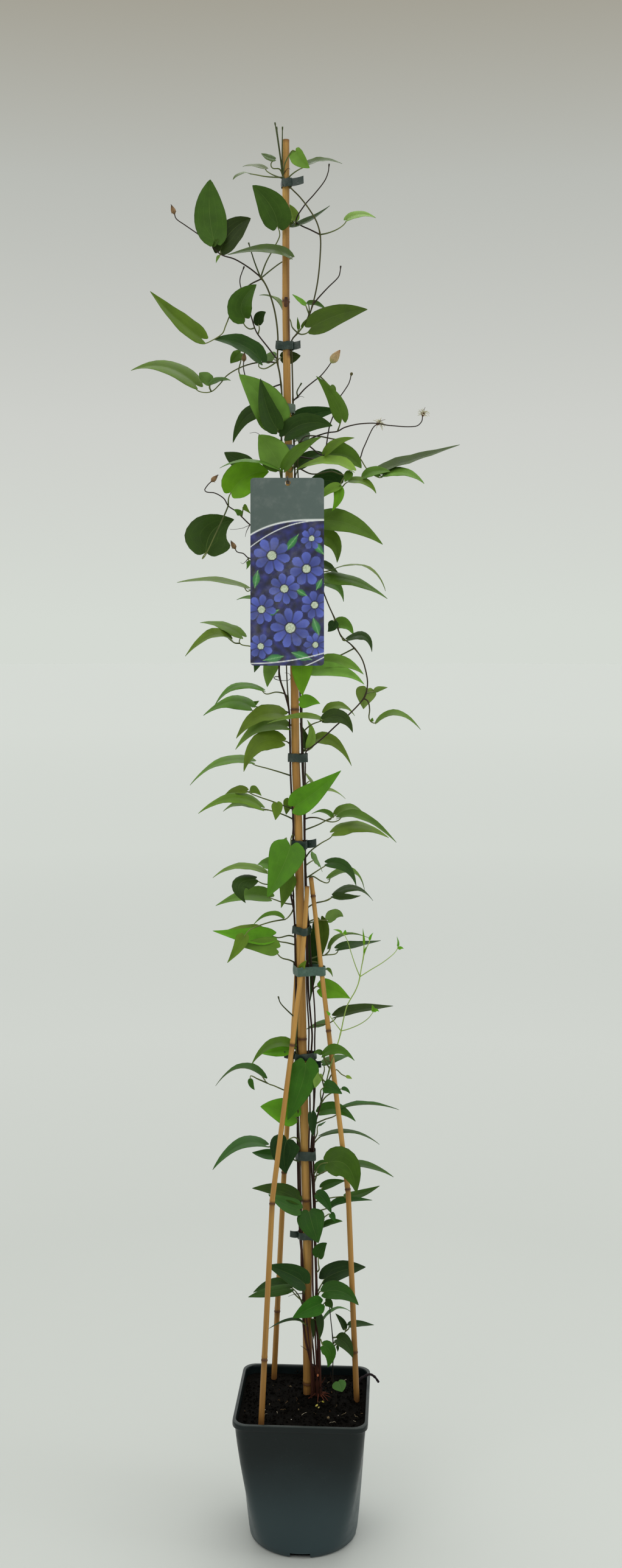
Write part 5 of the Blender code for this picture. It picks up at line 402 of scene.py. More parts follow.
        ((3.4, 68.65, 2.6), [], (3, 68.75, 3), (1.7, 68.4), (0.3, 67.8, 4), 1.3, 50, "grey"),
        (90.5, [(1, 91, 3.6)], (1.4, 91.2, 4.4), (1.9, 91), (2.6, 89.6, 7.4), 2.4, 75),
        (101.5, [(0.6, 102, 3.4)], (0.9, 102.2, 4.2), (1.3, 102), (2, 100.8, 7.6), 2.4, 75),
    ],
    "vine_low_left": [
        (65.4, [(-1.2, 65.6, 1.1)], (-1.5, 65.6, 1.2), (-4.6, 65.6), (-7.2, 62.9, 0.4), 2, 42),
        (65.2, [(-1.5, 65.1, 1.4)], (-2, 65, 1.7), (-4, 64.7), (-6, 64.5, 2.4), 1.8, 20, "bright"),
        (58.9, [(-2.6, 59.4, 1.6), (-4, 60, 1.6), (-5, 60.4)], (-5.7, 61.3, 1.4), (-9, 62.4),
         (-12.15, 60, 2.8), 2.1, 74),
        ((-5, 60.4, 1.5), [(-6.4, 61, 0.8), (-7.3, 61.4, 0.6)], (-7.35, 61, 0.4), (-7.2, 60.2),
         (-6.75, 59.45, 0.2), 0.8, 10),
        (61.1, [(-0.6, 61.6, 0.7), (0, 63.2, 0.3)], (0.3, 63.1, 0.2), (-0.3, 60), (-2.2, 55.3, -0.2), 4,
         -5),
        (55.4, [(-0.9, 55.5, 0.9)], (-1.1, 55.7, 1), (-3.2, 56.6), (-5.95, 57.15, 0.8), 3.7, 10, "bright"),
        (52.2, [(-1.2, 52.9, 0.4)], (-2.3, 52.5, 0), (-2.7, 50.6), (-2.4, 47.9, -0.6), 4.2, 5, "dark"),
        (51.6, [(-3.2, 51.8, 1.2), (-4.9, 51.6, 1)], (-5.5, 51.9, 0.7), (-9, 51.7), (-12.55, 48.4, -0.4),
         2.5, 50, "grey"),
        (49.5, [(-2, 50, 1.4)], (-3.4, 50.3, 1.5), (-5.2, 50.5), (-7.1, 50.8, 2.6), 1.7, 30),
        (43.2, [(-0.7, 43.8, 0.6)], (-0.9, 44.3, 0.7), (-3.5, 45.5), (-7.1, 45.85, 1.2), 2.3, 25),
        (41.8, [(-0.5, 42.3, 0.4)], (-0.6, 42.9, 0.1), (-2.5, 43.6), (-4.85, 45, -0.7), 2.3, 18, "grey"),
        (41.4, [(-0.1, 42.5, 0.2)], (0.8, 42.6, -0.2), (1.2, 40.9), (2.05, 38.3, -2), 3.9, 0),
        (31.2, [(0.2, 32.2, 0.2)], (0.1, 32.7, -0.1), (-1.9, 34), (-5.1, 35.2, -0.8), 3, 8, "dark"),
        (30, [(-1, 31, 1.2), (-1.6, 31.7)], (-1.9, 31.95, 1.4), (-4.7, 31.5), (-7.65, 30.8, 1.4), 1.7, 30),
        (26.8, [(-0.1, 27.3, 0.3)], (-0.3, 27.4, 0.2), (-2.2, 27.5), (-4.8, 26.45, -0.6), 1.1, 72, "dark"),
        (76.2, [], (-0.3, 76.2, 0.6), (0, 76.8), (0.45, 77.4, 0.2), 0.9, 0),
        (23.4, [(0.6, 23.4, 0.4), (0.2, 23.7), (-0.4, 24.1, 0.2)], "curl"),
        (31.3, [(-1.3, 31.2, 0.6), (-2.1, 30.9, 0.4)], "curl"),
    ],
    "vine_low_right": [
        (77.9, [(8.6, 78.8), (9.1, 79.9, 0.4)], "cut"),
        ((9.1, 79.9, 0.4), [], (9.15, 80.2, 0.4), (9.3, 80.7), (9.65, 81.2, 0.3), 0.4, 20),
        (79.3, [], (8.35, 79.6, 0.5), (8.3, 80.6), (8.2, 81.8, 0.4), 0.35, 20),
        (78.2, [], (8.4, 78.4, 0.4), (8.5, 78.8), (8.7, 79.3, 0.2), 0.3, 20),
        (75.1, [(7.2, 76.6), (6.6, 78.4), (6.1, 80), (5.7, 80.8, 0)], (5.3, 81.2, -0.1), (4.8, 81.5),
         (4.1, 81.6, -0.3), 0.4, 30),
        ((5.7, 80.8, 0), [], (5.7, 81, 0), (5.75, 81.3), (5.8, 81.6, -0.1), 0.5, 0),
        (75.1, [(9.2, 76), (11, 77.1), (12.5, 78.3), (13, 79, 1.6)], (13.05, 79.3, 1.6), (13.1, 79.9),
         (12.9, 80.65, 1.6), 0.35, 30),
        ((13, 79, 1.6), [], (13.15, 78.95, 1.5), (13.5, 79.1), (13.85, 78.95, 1.4), 0.5, 10),
        (67.6, [(6.3, 67.9), (7.9, 68.6), (9, 69.4), (9.6, 70.2, -0.6)], (9.6, 70.3, -0.6), (9.6, 70.8),
         (9.45, 71.2, -0.8), 0.55, 10),
        ((9.6, 70.2, -0.6), [], (9.75, 70.3, -0.6), (10.1, 70.5), (10.45, 70.25, -0.8), 0.5, 0),
        (67.6, [(4.5, 68.5), (3.7, 69.6, -0.3)], (3.6, 69.8, -0.3), (3.4, 70.1), (3.1, 70.4, -0.3), 0.4,
         10),
        (63.2, [(3.1, 63.6, 0.2)], (2.8, 64.4, -0.1), (4.8, 65), (7.05, 63.5, -1), 2, 38),
        (62.4, [(3, 63.4, 0.6)], (2.5, 64.5, 0.3), (2, 64.7), (1.35, 64.5, 0.2), 0.9, 30),
        (59.6, [(2.6, 61, 1.6), (2.9, 62.3, 2)], (2.7, 63.2, 2.6), (4.4, 63.9), (6.2, 64.1, 3.6), 1.7, 50,
         "grey"),
        (57.8, [(2.4, 59.4, 0)], (3, 59.9, -0.4), (4, 59.7), (5.35, 58.9, -1.4), 2, 15),
        (57.4, [(3.2, 58.6, -0.3), (4.8, 59.5, -0.7)], (5.3, 59.6, -0.9), (5.9, 59.5), (6.45, 58.9, -1.2),
         0.6, 20),
        (55.6, [(2, 56, 1.8)], (2.3, 56.4, 2.1), (4.8, 56.7), (7.2, 55.1, 2.8), 2.1, 35),
        (54.8, [(3, 55.4, 2.4), (4.2, 55.8, 2.8), (5.4, 56.7, 3)], (5.7, 57, 3), (9.4, 57.4),
         (13.2, 56.7, 4), 1.8, 80),
        (52.1, [(2, 52.7, 1.9)], (2.8, 53.3, 2.2), (6.6, 53.8), (10.5, 51.9, 2.6), 1.9, 74),
        (52.6, [(1.9, 53.4, 2), (1.9, 54.2, 2.4)], (2, 54.5, 2.6), (2.5, 54.7), (3.1, 55.1, 2.8), 0.6, 60),
        (47.8, [(2.4, 49.2, 0.4)], (3.4, 49.4, -0.2), (6.1, 48.9), (7.3, 45.25, -1.6), 4.1, 0),
        (47.4, [(3, 48.2, 2.2)], (4.8, 48.9, 2.8), (8.6, 49), (12.45, 47.4, 3), 2.1, 62),
        (46.6, [(1.8, 47.6, 2.2)], (1.9, 48.3, 2.9), (2.8, 49), (4.2, 49.3, 3.6), 1.9, 20, "grey"),
        (44.8, [(1.9, 45.2, 0.9)], (1.9, 45, 0.4), (2.9, 44.2), (3.85, 42.4, -0.4), 1.7, 15),
        (45, [(2.4, 45.6, 2)], (2.6, 46, 2.6), (4, 46.6), (5.8, 46.9, 3.4), 1.4, 30),
        (42.6, [(3, 43, 2)], (3.9, 43.3, 2.4), (6, 44.1), (9.5, 44.2, 2.6), 1.5, 50),
        (44, [(3.6, 44.5, 2.6), (5.2, 44.7, 3)], (6, 44.7, 3), (8, 45.1), (10.55, 46.2, 4), 1.4, 35),
        (40.6, [(2.6, 41.6, 0.6), (3.5, 42.3, 0)], (3.8, 42.3, -0.2), (4.1, 41.9), (4.4, 41.2, -0.6), 0.9,
         5),
        (40.4, [(2.3, 40.5, 1)], (2.8, 40.6, 0.8), (4, 41.1), (5.4, 41.3, 0.2), 1.2, 45, "light"),
        (34.2, [(2.15, 34.6, 0.9), (2.05, 35.5)], (2.05, 36.4, 0.3), (2.4, 37.5), (3.25, 38.3, -0.3), 1.8,
         8),
        (31.4, [(2.4, 32.4, 1.8)], (2.9, 33.3, 2.2), (5.5, 34.5), (8.6, 34.95, 2.8), 2.8, 18, "dark"),
        (30.8, [(2.3, 31.6, 0.4)], (2.9, 31.5, -0.2), (5.4, 31.5), (7.6, 29.7, -0.9), 2.6, 18),
        (28.8, [(2.6, 29.5, 0.4)], (2.4, 29.9, -0.3), (0.8, 29.2), (-1.5, 27.95, -1.3), 2.6, 0, "bright"),
        (28.2, [(2.6, 29.6, 0.5)], (3.1, 30.2, 0.3), (3.6, 29.9), (3.95, 29.2, 0), 1.2, 0),
        (28.6, [], (2.1, 28.3, 0.6), (2.35, 26.8), (2.2, 24.95, 0), 1.2, 25, "dark"),
        (27.4, [(2.2, 27.4, 2)], (2.6, 27.6, 2.4), (4.6, 29.3), (6.75, 28.6, 3.4), 1.2, 72, "light"),
        (25.2, [(2.4, 24.9, 0.5), (2.5, 24.5, 0.2)], (2.7, 24.1, 0), (3.7, 23.1), (3.35, 21.1, -0.8), 2, 5,
         "bright"),
        (60.4, [(2.6, 61, 0.4)], (2.2, 61.6, 0.2), (1.9, 60.8), (1.6, 59.7, 0), 1.4, 170, "light"),
        (55.6, [(1.3, 56, 0.5)], (1.1, 56.3, 0.3), (1.2, 54.8), (1.3, 53, 0), 1.3, 10, "dark"),
        (27.6, [], (1.2, 27.8, 0.6), (1.3, 26.4), (1.4, 24.9, 0.3), 0.6, 10, "dark"),
        (59.6, [(4.4, 62.2, 1.6), (5.3, 61.6, 1.8)], (5.9, 61.3, 1.8), (6.3, 61.2), (6.7, 61, 1.8), 0.6, 40,
         "light"),
    ],
    "seedling": [
        (24.4, [(4.5, 24.7)], (4.7, 25, 0.6), (5.9, 24.3), (6.85, 22.4, -1), 2, 12, "dark"),
        (25.2, [(4.9, 25.3, 2.2), (5.4, 25.5, 2.3), (5.8, 26.1, 2.3)], (5.7, 26.5, 2.2), (5.3, 27.5),
         (4.4, 28.55, 2), 0.9, 10, "dark"),
        ((5.8, 26.1, 2.3), [(6.2, 26.4, 2.4)], (6.4, 26.9, 2.5), (7.7, 27.1), (9.75, 26.95, 3.4), 1.2, 40,
         "dark"),
        (24, [(4.6, 24.3, 1.4)], (4.65, 24.1, 1.3), (4.75, 23.7), (4.7, 23.25, 1), 0.4, 0),
        (24.2, [], (3.9, 24.4, 1.7), (3.4, 24.4), (2.9, 24.35, 1.9), 0.45, 20),
        (18.9, [(3.8, 19.8, 1.6), (3.75, 20.4, 1.6)], "curl"),
    ],
    "seedling_low": [
        (18.4, [], (4.8, 19.1, -1.8), (5.1, 18.4), (5.35, 17.7, -3), 2, 10, "grey"),
    ],
}

# Ties: height, width of the band, how far from the cane it still holds stems, and the loose end's
# side and length, in centimetres
ties = [(184.7, 1.2, 1.8, 1, 1.5), (162.3, 1.2, 1.8, 1, 0.9), (153.6, 1.3, 1.8, 0, 0),
    (148.2, 0.8, 1.2, 0, 0), (105.4, 1.2, 1.8, 0, 0), (93.4, 1.2, 1.8, 1, 1.2), (81.6, 1.1, 1.8, 0, 0),
    (76.1, 1.3, 3.2, 0, 0), (64.2, 1, 1.8, -1, 1.3), (62.9, 1, 1.8, 1, 0.6), (50.6, 1.3, 1.8, 0, 0),
    (39.6, 1, 1.8, -1, 1)]

# Wire loop that hangs the card, and the dark root twig: x, depth and height, in centimetres
wirePath = [(-2.06, -2.2, 143), (-2.1, -2.5, 143.2), (-2.1, -2.7, 143.24), (-2.12, -2.86, 143.4),
    (-2.12, -2.86, 143.72), (-2.12, -2.6, 143.88), (-2.2, -2.2, 143.8), (-2.75, 0.2, 143.1),
    (-3.19, 1.35, 142.7), (-3.19, 1.75, 142.6), (-2.45, 2.5, 142.5), (-1.96, 2.68, 142.5),
    (-1.4, 2.5, 142.5), (-0.45, 2.17, 142.5), (-0.36, 1.9, 142.5), (-1.3, -0.2, 142.8)]
twigPath = [(7.1, 3.4, 14.6), (7.25, 3.5, 17.3), (7.8, 3.65, 18.6), (8.67, 3.9, 19.05), (9.28, 4, 19.2),
    (9.93, 4.1, 18.8), (10.49, 4.1, 18.06)]


def seen(x, z, depth):
    # the point at this depth that lies behind x and z of the plan plane
    k = (depth - eyeDepth) / (planDepth - eyeDepth)
    return Vector((eyeX + (x - eyeX) * k, depth, eyeHeight + (z - eyeHeight) * k)) * cm


def srgb(r, g, b):
    # a colour as it is seen, 0 to 255, in the values that the shaders count in
    return tuple((c / 255 / 12.92) if c < 10.3 else ((c / 255 + 0.055) / 1.055) ** 2.4 for c in (r, g, b))


def blendTint(a, b, t):
    t = min(max(t, 0), 1)
    return tuple(x + (y - x) * t for x, y in zip(a, b))


def smoothLine(points, step):
    # an even curve through the points, cut into short lengths
    last = len(points) - 1
    ways = [(points[min(i + 1, last)] - points[max(i - 1, 0)]).normalized() for i in range(last + 1)]
    line = []
    for i in range(last):
        a, b = points[i], points[i + 1]
        length = (b - a).length
        count = max(1, round(length / step))
        for k in range(count):
            t = k / count
            line.append(a * (2 * t**3 - 3 * t * t + 1) + ways[i] * length * (t**3 - 2 * t * t + t)
                        + b * (3 * t * t - 2 * t**3) + ways[i + 1] * length * (t**3 - t * t))
    return line + [points[-1]]


def bell(x, centre, spread):
    return math.exp(-((x - centre) / spread) ** 2)


def addObject(name, data):
    made = bpy.data.objects.new(name, data)
    bpy.context.scene.collection.objects.link(made)
    return made


def addMesh(name, bm):
    mesh = bpy.data.meshes.new(name)
    bm.to_mesh(mesh)
    bm.free()
    return addObject(name, mesh)


class Shape:
    # gathers one piece's mesh: every point has a tint and a place, which the materials read
    def __init__(self):
        self.points, self.tints, self.places, self.faces, self.slots = [], [], [], [], []

    def point(self, at, tint=(1, 1, 1), place=(0, 0, 0)):
        self.points.append(tuple(at))
        self.tints.append(tuple(tint))
        self.places.append(tuple(place))
        return len(self.points) - 1

    def face(self, corners, slot=0):
        self.faces.append(tuple(corners))
        self.slots.append(slot)

    def strip(self, a, b, slot=0, closed=True):
        count = len(a)
        for k in range(count if closed else count - 1):
            j = (k + 1) % count
            self.face((a[k], a[j], b[j], b[k]), slot)

    def skin(self, rings, slot=0, caps=True, closed=True):
        # the surface through rows of points, one after another
        for a, b in zip(rings, rings[1:]):
            self.strip(a, b, slot, closed)
        if caps:
            self.face(rings[0][::-1], slot)
            self.face(rings[-1], slot)

    def slab(self, sheets, slot=0):
        # a front and a back sheet of points, joined round their rims
        rims = []
        for sheet in sheets:
            self.skin(sheet, slot, caps=False, closed=False)
            first, last = [row[0] for row in sheet], [row[-1] for row in sheet[::-1]]
            rims.append(first + sheet[-1][1:-1] + last + sheet[0][1:-1][::-1])
        self.strip(rims[0], rims[1], slot)

    def make(self, name, materials, sharp=50):
        mesh = bpy.data.meshes.new(name)
        mesh.from_pydata(self.points, [], self.faces)
        layer = mesh.attributes.new("tint", "FLOAT_COLOR", "POINT")
        layer.data.foreach_set("color", [c for tint in self.tints for c in (*tint, 1)])
        layer = mesh.attributes.new("place", "FLOAT_VECTOR", "POINT")
        layer.data.foreach_set("vector", [c for place in self.places for c in place])
        for material in materials:
            mesh.materials.append(material)
        mesh.polygons.foreach_set("material_index", self.slots)
        mesh.polygons.foreach_set("use_smooth", [True] * len(self.faces))
        bm = bmesh.new()
        bm.from_mesh(mesh)
        bmesh.ops.recalc_face_normals(bm, faces=bm.faces)
        bm.to_mesh(mesh)
        bm.free()
        mesh.set_sharp_from_angle(angle=math.radians(sharp))
        return addObject(name, mesh)


def addTube(shape, line, radii, tints, sides=8, slot=0, caps=True, rib=0.0):
    # a tube along the line; its places run round it and along it in metres
    up = Vector((0.3, 0.9, 0.1)).normalized()
    rings, run, last = [], 0.0, len(line) - 1
    axis = Vector((0, 0, 1))
    for i, p in enumerate(line):
        ahead = line[min(i + 1, last)] - line[max(i - 1, 0)]
        if ahead.length > 1e-7:
            axis = ahead.normalized()
        if abs(axis.dot(up)) > 0.97:
            up = Vector((1, 0, 0)) if abs(axis.x) < 0.8 else Vector((0, 0, 1))
        side = axis.cross(up).normalized()
        up = side.cross(axis).normalized()
        if i:
            run += (p - line[i - 1]).length
        ring = []
        for k in range(sides):
            a = 2 * math.pi * k / sides
            c, s = math.cos(a), math.sin(a)
            r = radii[i] * (1 + rib * math.cos(6 * a))
            ring.append(shape.point(p + (side * c + up * s) * r, tints[i], (c * radii[i], s * radii[i], run)))
        rings.append(ring)
    shape.skin(rings, slot, caps)
    return rings


def seat(piece, slotName, *nodes):
    # the piece rides on the part's one body and stands for these solids
    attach(piece, "root")
    if nodes:
        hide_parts(*nodes)
    return piece


# Shader helpers
def place(tree, kind, inputs=(), **settings):
    node = tree.nodes.new("ShaderNode" + kind)
    for key, value in settings.items():
        setattr(node, key, value)
    for key, value in inputs.items() if isinstance(inputs, dict) else enumerate(inputs):
        if isinstance(value, bpy.types.NodeSocket):
            tree.links.new(value, node.inputs[key])
        elif value is not None:
            node.inputs[key].default_value = value
    return node


def maths(tree, operation, *values):
    return place(tree, "Math", values, operation=operation).outputs[0]


def mixColour(tree, factor, a, b, blend="MIX"):
    a, b = (value if isinstance(value, bpy.types.NodeSocket) else (*value, 1) for value in (a, b))
    return place(tree, "Mix", {0: factor, 6: a, 7: b}, data_type="RGBA", blend_type=blend).outputs[2]


def shaded(tree, colour, shade):
    # the colour made lighter or darker by a grey value
    grey = place(tree, "CombineColor", [shade] * 3).outputs[0]
    return mixColour(tree, 1.0, colour, grey, "MULTIPLY")


def mapped(tree, value, low, high, start=0.0, end=1.0, smooth=False):
    return place(tree, "MapRange", [value, low, high, start, end],
                 interpolation_type="SMOOTHSTEP" if smooth else "LINEAR").outputs[0]


def noisy(tree, vector, scale, detail=4, rough=0.55):
    inputs = {"Vector": vector, "Scale": scale, "Detail": detail, "Roughness": rough}
    return place(tree, "TexNoise", inputs).outputs[0]


def newGroup(name, inputs, outputs):
    # a node group whose inputs are numbers, or vectors where no value is given, and whose outputs are numbers
    tree = bpy.data.node_groups.new(name, "ShaderNodeTree")
    for label, value in inputs.items():
        kind = "NodeSocketVector" if value is None else "NodeSocketFloat"
        socket = tree.interface.new_socket(label, in_out="INPUT", socket_type=kind)
        if value is not None:
            socket.default_value = value
    for label in outputs:
        tree.interface.new_socket(label, in_out="OUTPUT", socket_type="NodeSocketFloat")
    return tree, tree.nodes.new("NodeGroupInput").outputs, tree.nodes.new("NodeGroupOutput").inputs


def newMaterial(name, **settings):
    material = bpy.data.materials.new(name)
    material.use_nodes = True
    tree = material.node_tree
    shader = tree.nodes["Principled BSDF"]
    for key, value in settings.items():
        shader.inputs[key].default_value = value
    return material, tree, shader


def bumped(tree, shader, height, strength, distance):
    bump = place(tree, "Bump", {"Strength": strength, "Distance": distance, "Height": height})
    tree.links.new(bump.outputs[0], shader.inputs["Normal"])


def setSurface(tree, shader, colour, rough):
    tree.links.new(colour, shader.inputs["Base Color"])
    tree.links.new(rough, shader.inputs["Roughness"])


# Grain that runs along a cane or stem, with broader blotches
longGrain, inlet, outlet = newGroup("longGrain", {"Place": None, "Across": 900.0, "Along": 30.0},
                                    ("Streak", "Blotch"))
spread = place(longGrain, "CombineXYZ", [inlet["Across"], inlet["Across"], inlet["Along"]]).outputs[0]
streakPlace = place(longGrain, "VectorMath", [inlet["Place"], spread], operation="MULTIPLY").outputs[0]
longGrain.links.new(noisy(longGrain, streakPlace, 1.0, 5, 0.6), outlet["Streak"])
broad = place(longGrain, "VectorMath", [streakPlace, (0.13, 0.13, 0.6)], operation="MULTIPLY").outputs[0]
longGrain.links.new(noisy(longGrain, broad, 1.0, 3, 0.5), outlet["Blotch"])

# Dust and handling marks that lie in patches
dustMarks, inlet, outlet = newGroup("dustMarks", {"Vector": None, "Scale": 12.0, "Amount": 0.5},
                                    ("Mask", "Specks"))
patch = noisy(dustMarks, inlet["Vector"], inlet["Scale"], 6, 0.65)
fine = noisy(dustMarks, inlet["Vector"], maths(dustMarks, "MULTIPLY", inlet["Scale"], 22), 3, 0.7)
patchMask = mapped(dustMarks, patch, 0.45, 0.75, smooth=True)
mask = maths(dustMarks, "MULTIPLY", maths(dustMarks, "MULTIPLY", patchMask, fine), inlet["Amount"])
dustMarks.links.new(mask, outlet["Mask"])
dustMarks.links.new(mapped(dustMarks, fine, 0.66, 0.74, smooth=True), outlet["Specks"])

# Veins of a blade: the midrib, two pairs that leave its foot, and the fine net between them
leafVeins, inlet, outlet = newGroup("leafVeins", {"Across": 0.0, "Along": 0.0, "Vector": None, "Width": 0.03},
                                    ("Veins", "Net"))
aside = maths(leafVeins, "ABSOLUTE", inlet["Across"])
found = mapped(leafVeins, aside, 0.0, inlet["Width"], 1.0, 0.0, True)
for spot, reach, weight in ((0.4, 0.3, 0.32), (0.74, 0.2, 0.2)):
    centre = mapped(leafVeins, inlet["Along"], 0.0, reach, 0.0, spot, True)
    off = maths(leafVeins, "ABSOLUTE", maths(leafVeins, "SUBTRACT", aside, centre))
    line = mapped(leafVeins, off, 0.0, inlet["Width"], weight, 0.0, True)
    found = maths(leafVeins, "MAXIMUM", found, line)
leafVeins.links.new(found, outlet["Veins"])
cellInputs = {"Vector": inlet["Vector"], "Scale": 330.0}
cells = place(leafVeins, "TexVoronoi", cellInputs, feature="DISTANCE_TO_EDGE")
leafVeins.links.new(mapped(leafVeins, cells.outputs["Distance"], 0.0, 0.09, 1.0, 0.0, True), outlet["Net"])


def tintOf(tree):
    return place(tree, "Attribute", attribute_name="tint").outputs["Color"]


def placeOf(tree):
    return place(tree, "Attribute", attribute_name="place").outputs["Vector"]


def objectPlace(tree):
    return place(tree, "TexCoord").outputs["Object"]


def marksOn(tree, scale, amount):
    inputs = {0: objectPlace(tree), 1: scale, 2: amount}
    return place(tree, "Group", inputs, node_tree=dustMarks).outputs


def grown(name, across, along, depth, rough, streakShade, specular):
    # a finish whose grain runs along the piece: canes, stems, bark
    material, tree, shader = newMaterial(name, **{"Specular IOR Level": specular})
    grain = place(tree, "Group", {0: placeOf(tree), 1: across, 2: along}, node_tree=longGrain).outputs
    colour = shaded(tree, tintOf(tree), mapped(tree, grain["Streak"], 0.3, 0.72, *streakShade))
    colour = shaded(tree, colour, mapped(tree, grain["Blotch"], 0.3, 0.7, 0.82, 1.14))
    setSurface(tree, shader, colour, mapped(tree, grain["Streak"], 0.3, 0.7, rough - 0.08, rough + 0.1))
    bumped(tree, shader, grain["Streak"], 0.5, depth)
    return material


bambooFinish = grown("bamboo", 1500.0, 14.0, 0.0003, 0.4, (0.78, 1.15), 0.25)
stemFinish = grown("youngStem", 1600.0, 60.0, 0.0002, 0.5, (0.72, 1.2), 0.2)
barkFinish = grown("darkBark", 1300.0, 160.0, 0.0006, 0.8, (0.5, 1.6), 0.1)
headFinish = grown("spentHead", 1400.0, 220.0, 0.0004, 0.75, (0.6, 1.35), 0.15)

leafFinish, tree, shader = newMaterial("leafBlade", **{"Specular IOR Level": 0.15})
spot = place(tree, "SeparateXYZ", [placeOf(tree)]).outputs
veins = place(tree, "Group", {0: spot[0], 1: spot[1], 2: objectPlace(tree), 3: 0.024},
              node_tree=leafVeins).outputs
blotch = noisy(tree, objectPlace(tree), 60.0, 4, 0.6)
leafTint = tintOf(tree)
paler = mixColour(tree, 0.4, leafTint, srgb(150, 176, 92))
colour = mixColour(tree, mapped(tree, veins["Veins"], 0, 1, 0, 0.42), leafTint, paler)
colour = mixColour(tree, mapped(tree, veins["Net"], 0, 1, 0, 0.04), colour, paler)
rimShade = mapped(tree, maths(tree, "ABSOLUTE", spot[0]), 0, 1, 0.92, 1.08)
colour = shaded(tree, colour, maths(tree, "MULTIPLY", mapped(tree, blotch, 0.3, 0.72, 0.85, 1.16), rimShade))
setSurface(tree, shader, colour, mapped(tree, blotch, 0.3, 0.7, 0.42, 0.6))
veinDip, netDip = maths(tree, "MULTIPLY", veins["Veins"], -1.0), maths(tree, "MULTIPLY", veins["Net"], -0.1)
bumped(tree, shader, maths(tree, "ADD", veinDip, netDip), 0.25, 0.0003)


# Pot: rounded square rim over a body that turns round towards its base
# The edge colour is a painted highlight along the rim's top
potLook = {"width": 0.18, "height": 0.183, "baseRadius": 0.0726, "wall": 0.0016, "turn": math.radians(-3.3),
           "rim": 0.008, "overhang": 0.006, "corner": 0.018, "sides": 96, "sharp": 38,
           "channel": (0.06, 0.027, 0.014), "channelRoof": (0.06, 0.0302, 0.0172),
           "slot": (0.012, 0.006, 0.0026), "drain": 0.0045, "drainReach": 0.045,
           # dust colours real dust marks, and also the painted reflection low on the body
           "shade": srgb(11, 21, 21), "dust": srgb(64, 82, 86), "edge": srgb(30, 41, 35),
           "speck": srgb(130, 136, 130)}
# Heights of the body's rings, outside and inside, and width and height of the rim's rings above them
outsideHeights = (0, 0.0008, 0.0018, 0.003, 0.012, 0.03, 0.06, 0.09, 0.12, 0.15, 0.168, 0.1742)
outsideRim = ((0.1743, 0.1748), (0.1765, 0.175), (0.1787, 0.1754), (0.1797, 0.1762), (0.18, 0.1775),
              (0.1801, 0.1807), (0.1799, 0.182), (0.1792, 0.1827), (0.1782, 0.183))
insideHeights = (0.0016, 0.003, 0.03, 0.06, 0.12, 0.168, 0.1748)
insideRim = ((0.1708, 0.179), (0.1712, 0.1822), (0.1722, 0.1829), (0.173, 0.186))


def potSection(size, roundness, height):
    ring, corner = [], potLook["corner"]
    inner = size / 2 - corner
    for k in range(potLook["sides"]):
        a = 2 * math.pi * (k + 0.5) / potLook["sides"]
        # more points lie at the corners than along the sides
        a += 0.125 * math.sin(4 * a)
        c, s = math.cos(a), math.sin(a)
        reach = size / 2 / max(abs(c), abs(s))
        if abs(c * reach) > inner and abs(s * reach) > inner:
            b = (abs(c) + abs(s)) * inner
            reach = b + math.sqrt(max(b * b - 2 * inner * inner + corner * corner, 0))
        reach = reach * (1 - roundness) + size / 2 * roundness
        ring.append(Vector((c, s, 0)) * reach + Vector((0, 0, height)))
    return [Matrix.Rotation(potLook["turn"], 3, "Z") @ p for p in ring]


def potOutline(z, inset):
    # the body's outline at this height, drawn in by the inset
    top = potLook["height"] - potLook["rim"]
    t = min(z / top, 1)
    base = potLook["baseRadius"] * 2
    width = base + (potLook["width"] - potLook["overhang"] - base) * t ** 0.75 - max(0.003 - z, 0) * 1.6
    return potSection(width - inset * 2, (1 - t) ** 1.6, z)


def potLoft(name, heights, rim, inset):
    shape = Shape()
    rings = [potOutline(z, inset) for z in heights] + [potSection(width, 0, z) for width, z in rim]
    shape.skin([[shape.point(p) for p in ring] for ring in rings])
    return shape.make(name, [])


def cutBox(name, size, centre, turn):
    bm = bmesh.new()
    bmesh.ops.create_cube(bm, size=1)
    bmesh.ops.transform(bm, verts=bm.verts, matrix=Matrix.Rotation(turn, 4, "Z") @ Matrix.Translation(centre)
                        @ Matrix.Diagonal((*size, 1)))
    return addMesh(name, bm)


def cutRound(name, radius, at, segments):
    bm = bmesh.new()
    bmesh.ops.create_cone(bm, cap_ends=True, segments=segments, radius1=radius, radius2=radius, depth=0.01,
                          matrix=at)
    return addMesh(name, bm)


def carve(target, cutters):
    group = bpy.data.collections.new(target.name + "Cutters")
    bpy.context.scene.collection.children.link(group)
    for cutter in cutters:
        bpy.context.scene.collection.objects.unlink(cutter)
        group.objects.link(cutter)
    cut = target.modifiers.new("carve", "BOOLEAN")
    cut.operation, cut.operand_type, cut.collection, cut.solver = "DIFFERENCE", "COLLECTION", group, "EXACT"
    with bpy.context.temp_override(object=target, active_object=target):
        bpy.ops.object.modifier_apply(modifier=cut.name)
    for cutter in cutters:
        bpy.data.objects.remove(cutter)
    bpy.data.collections.remove(group)


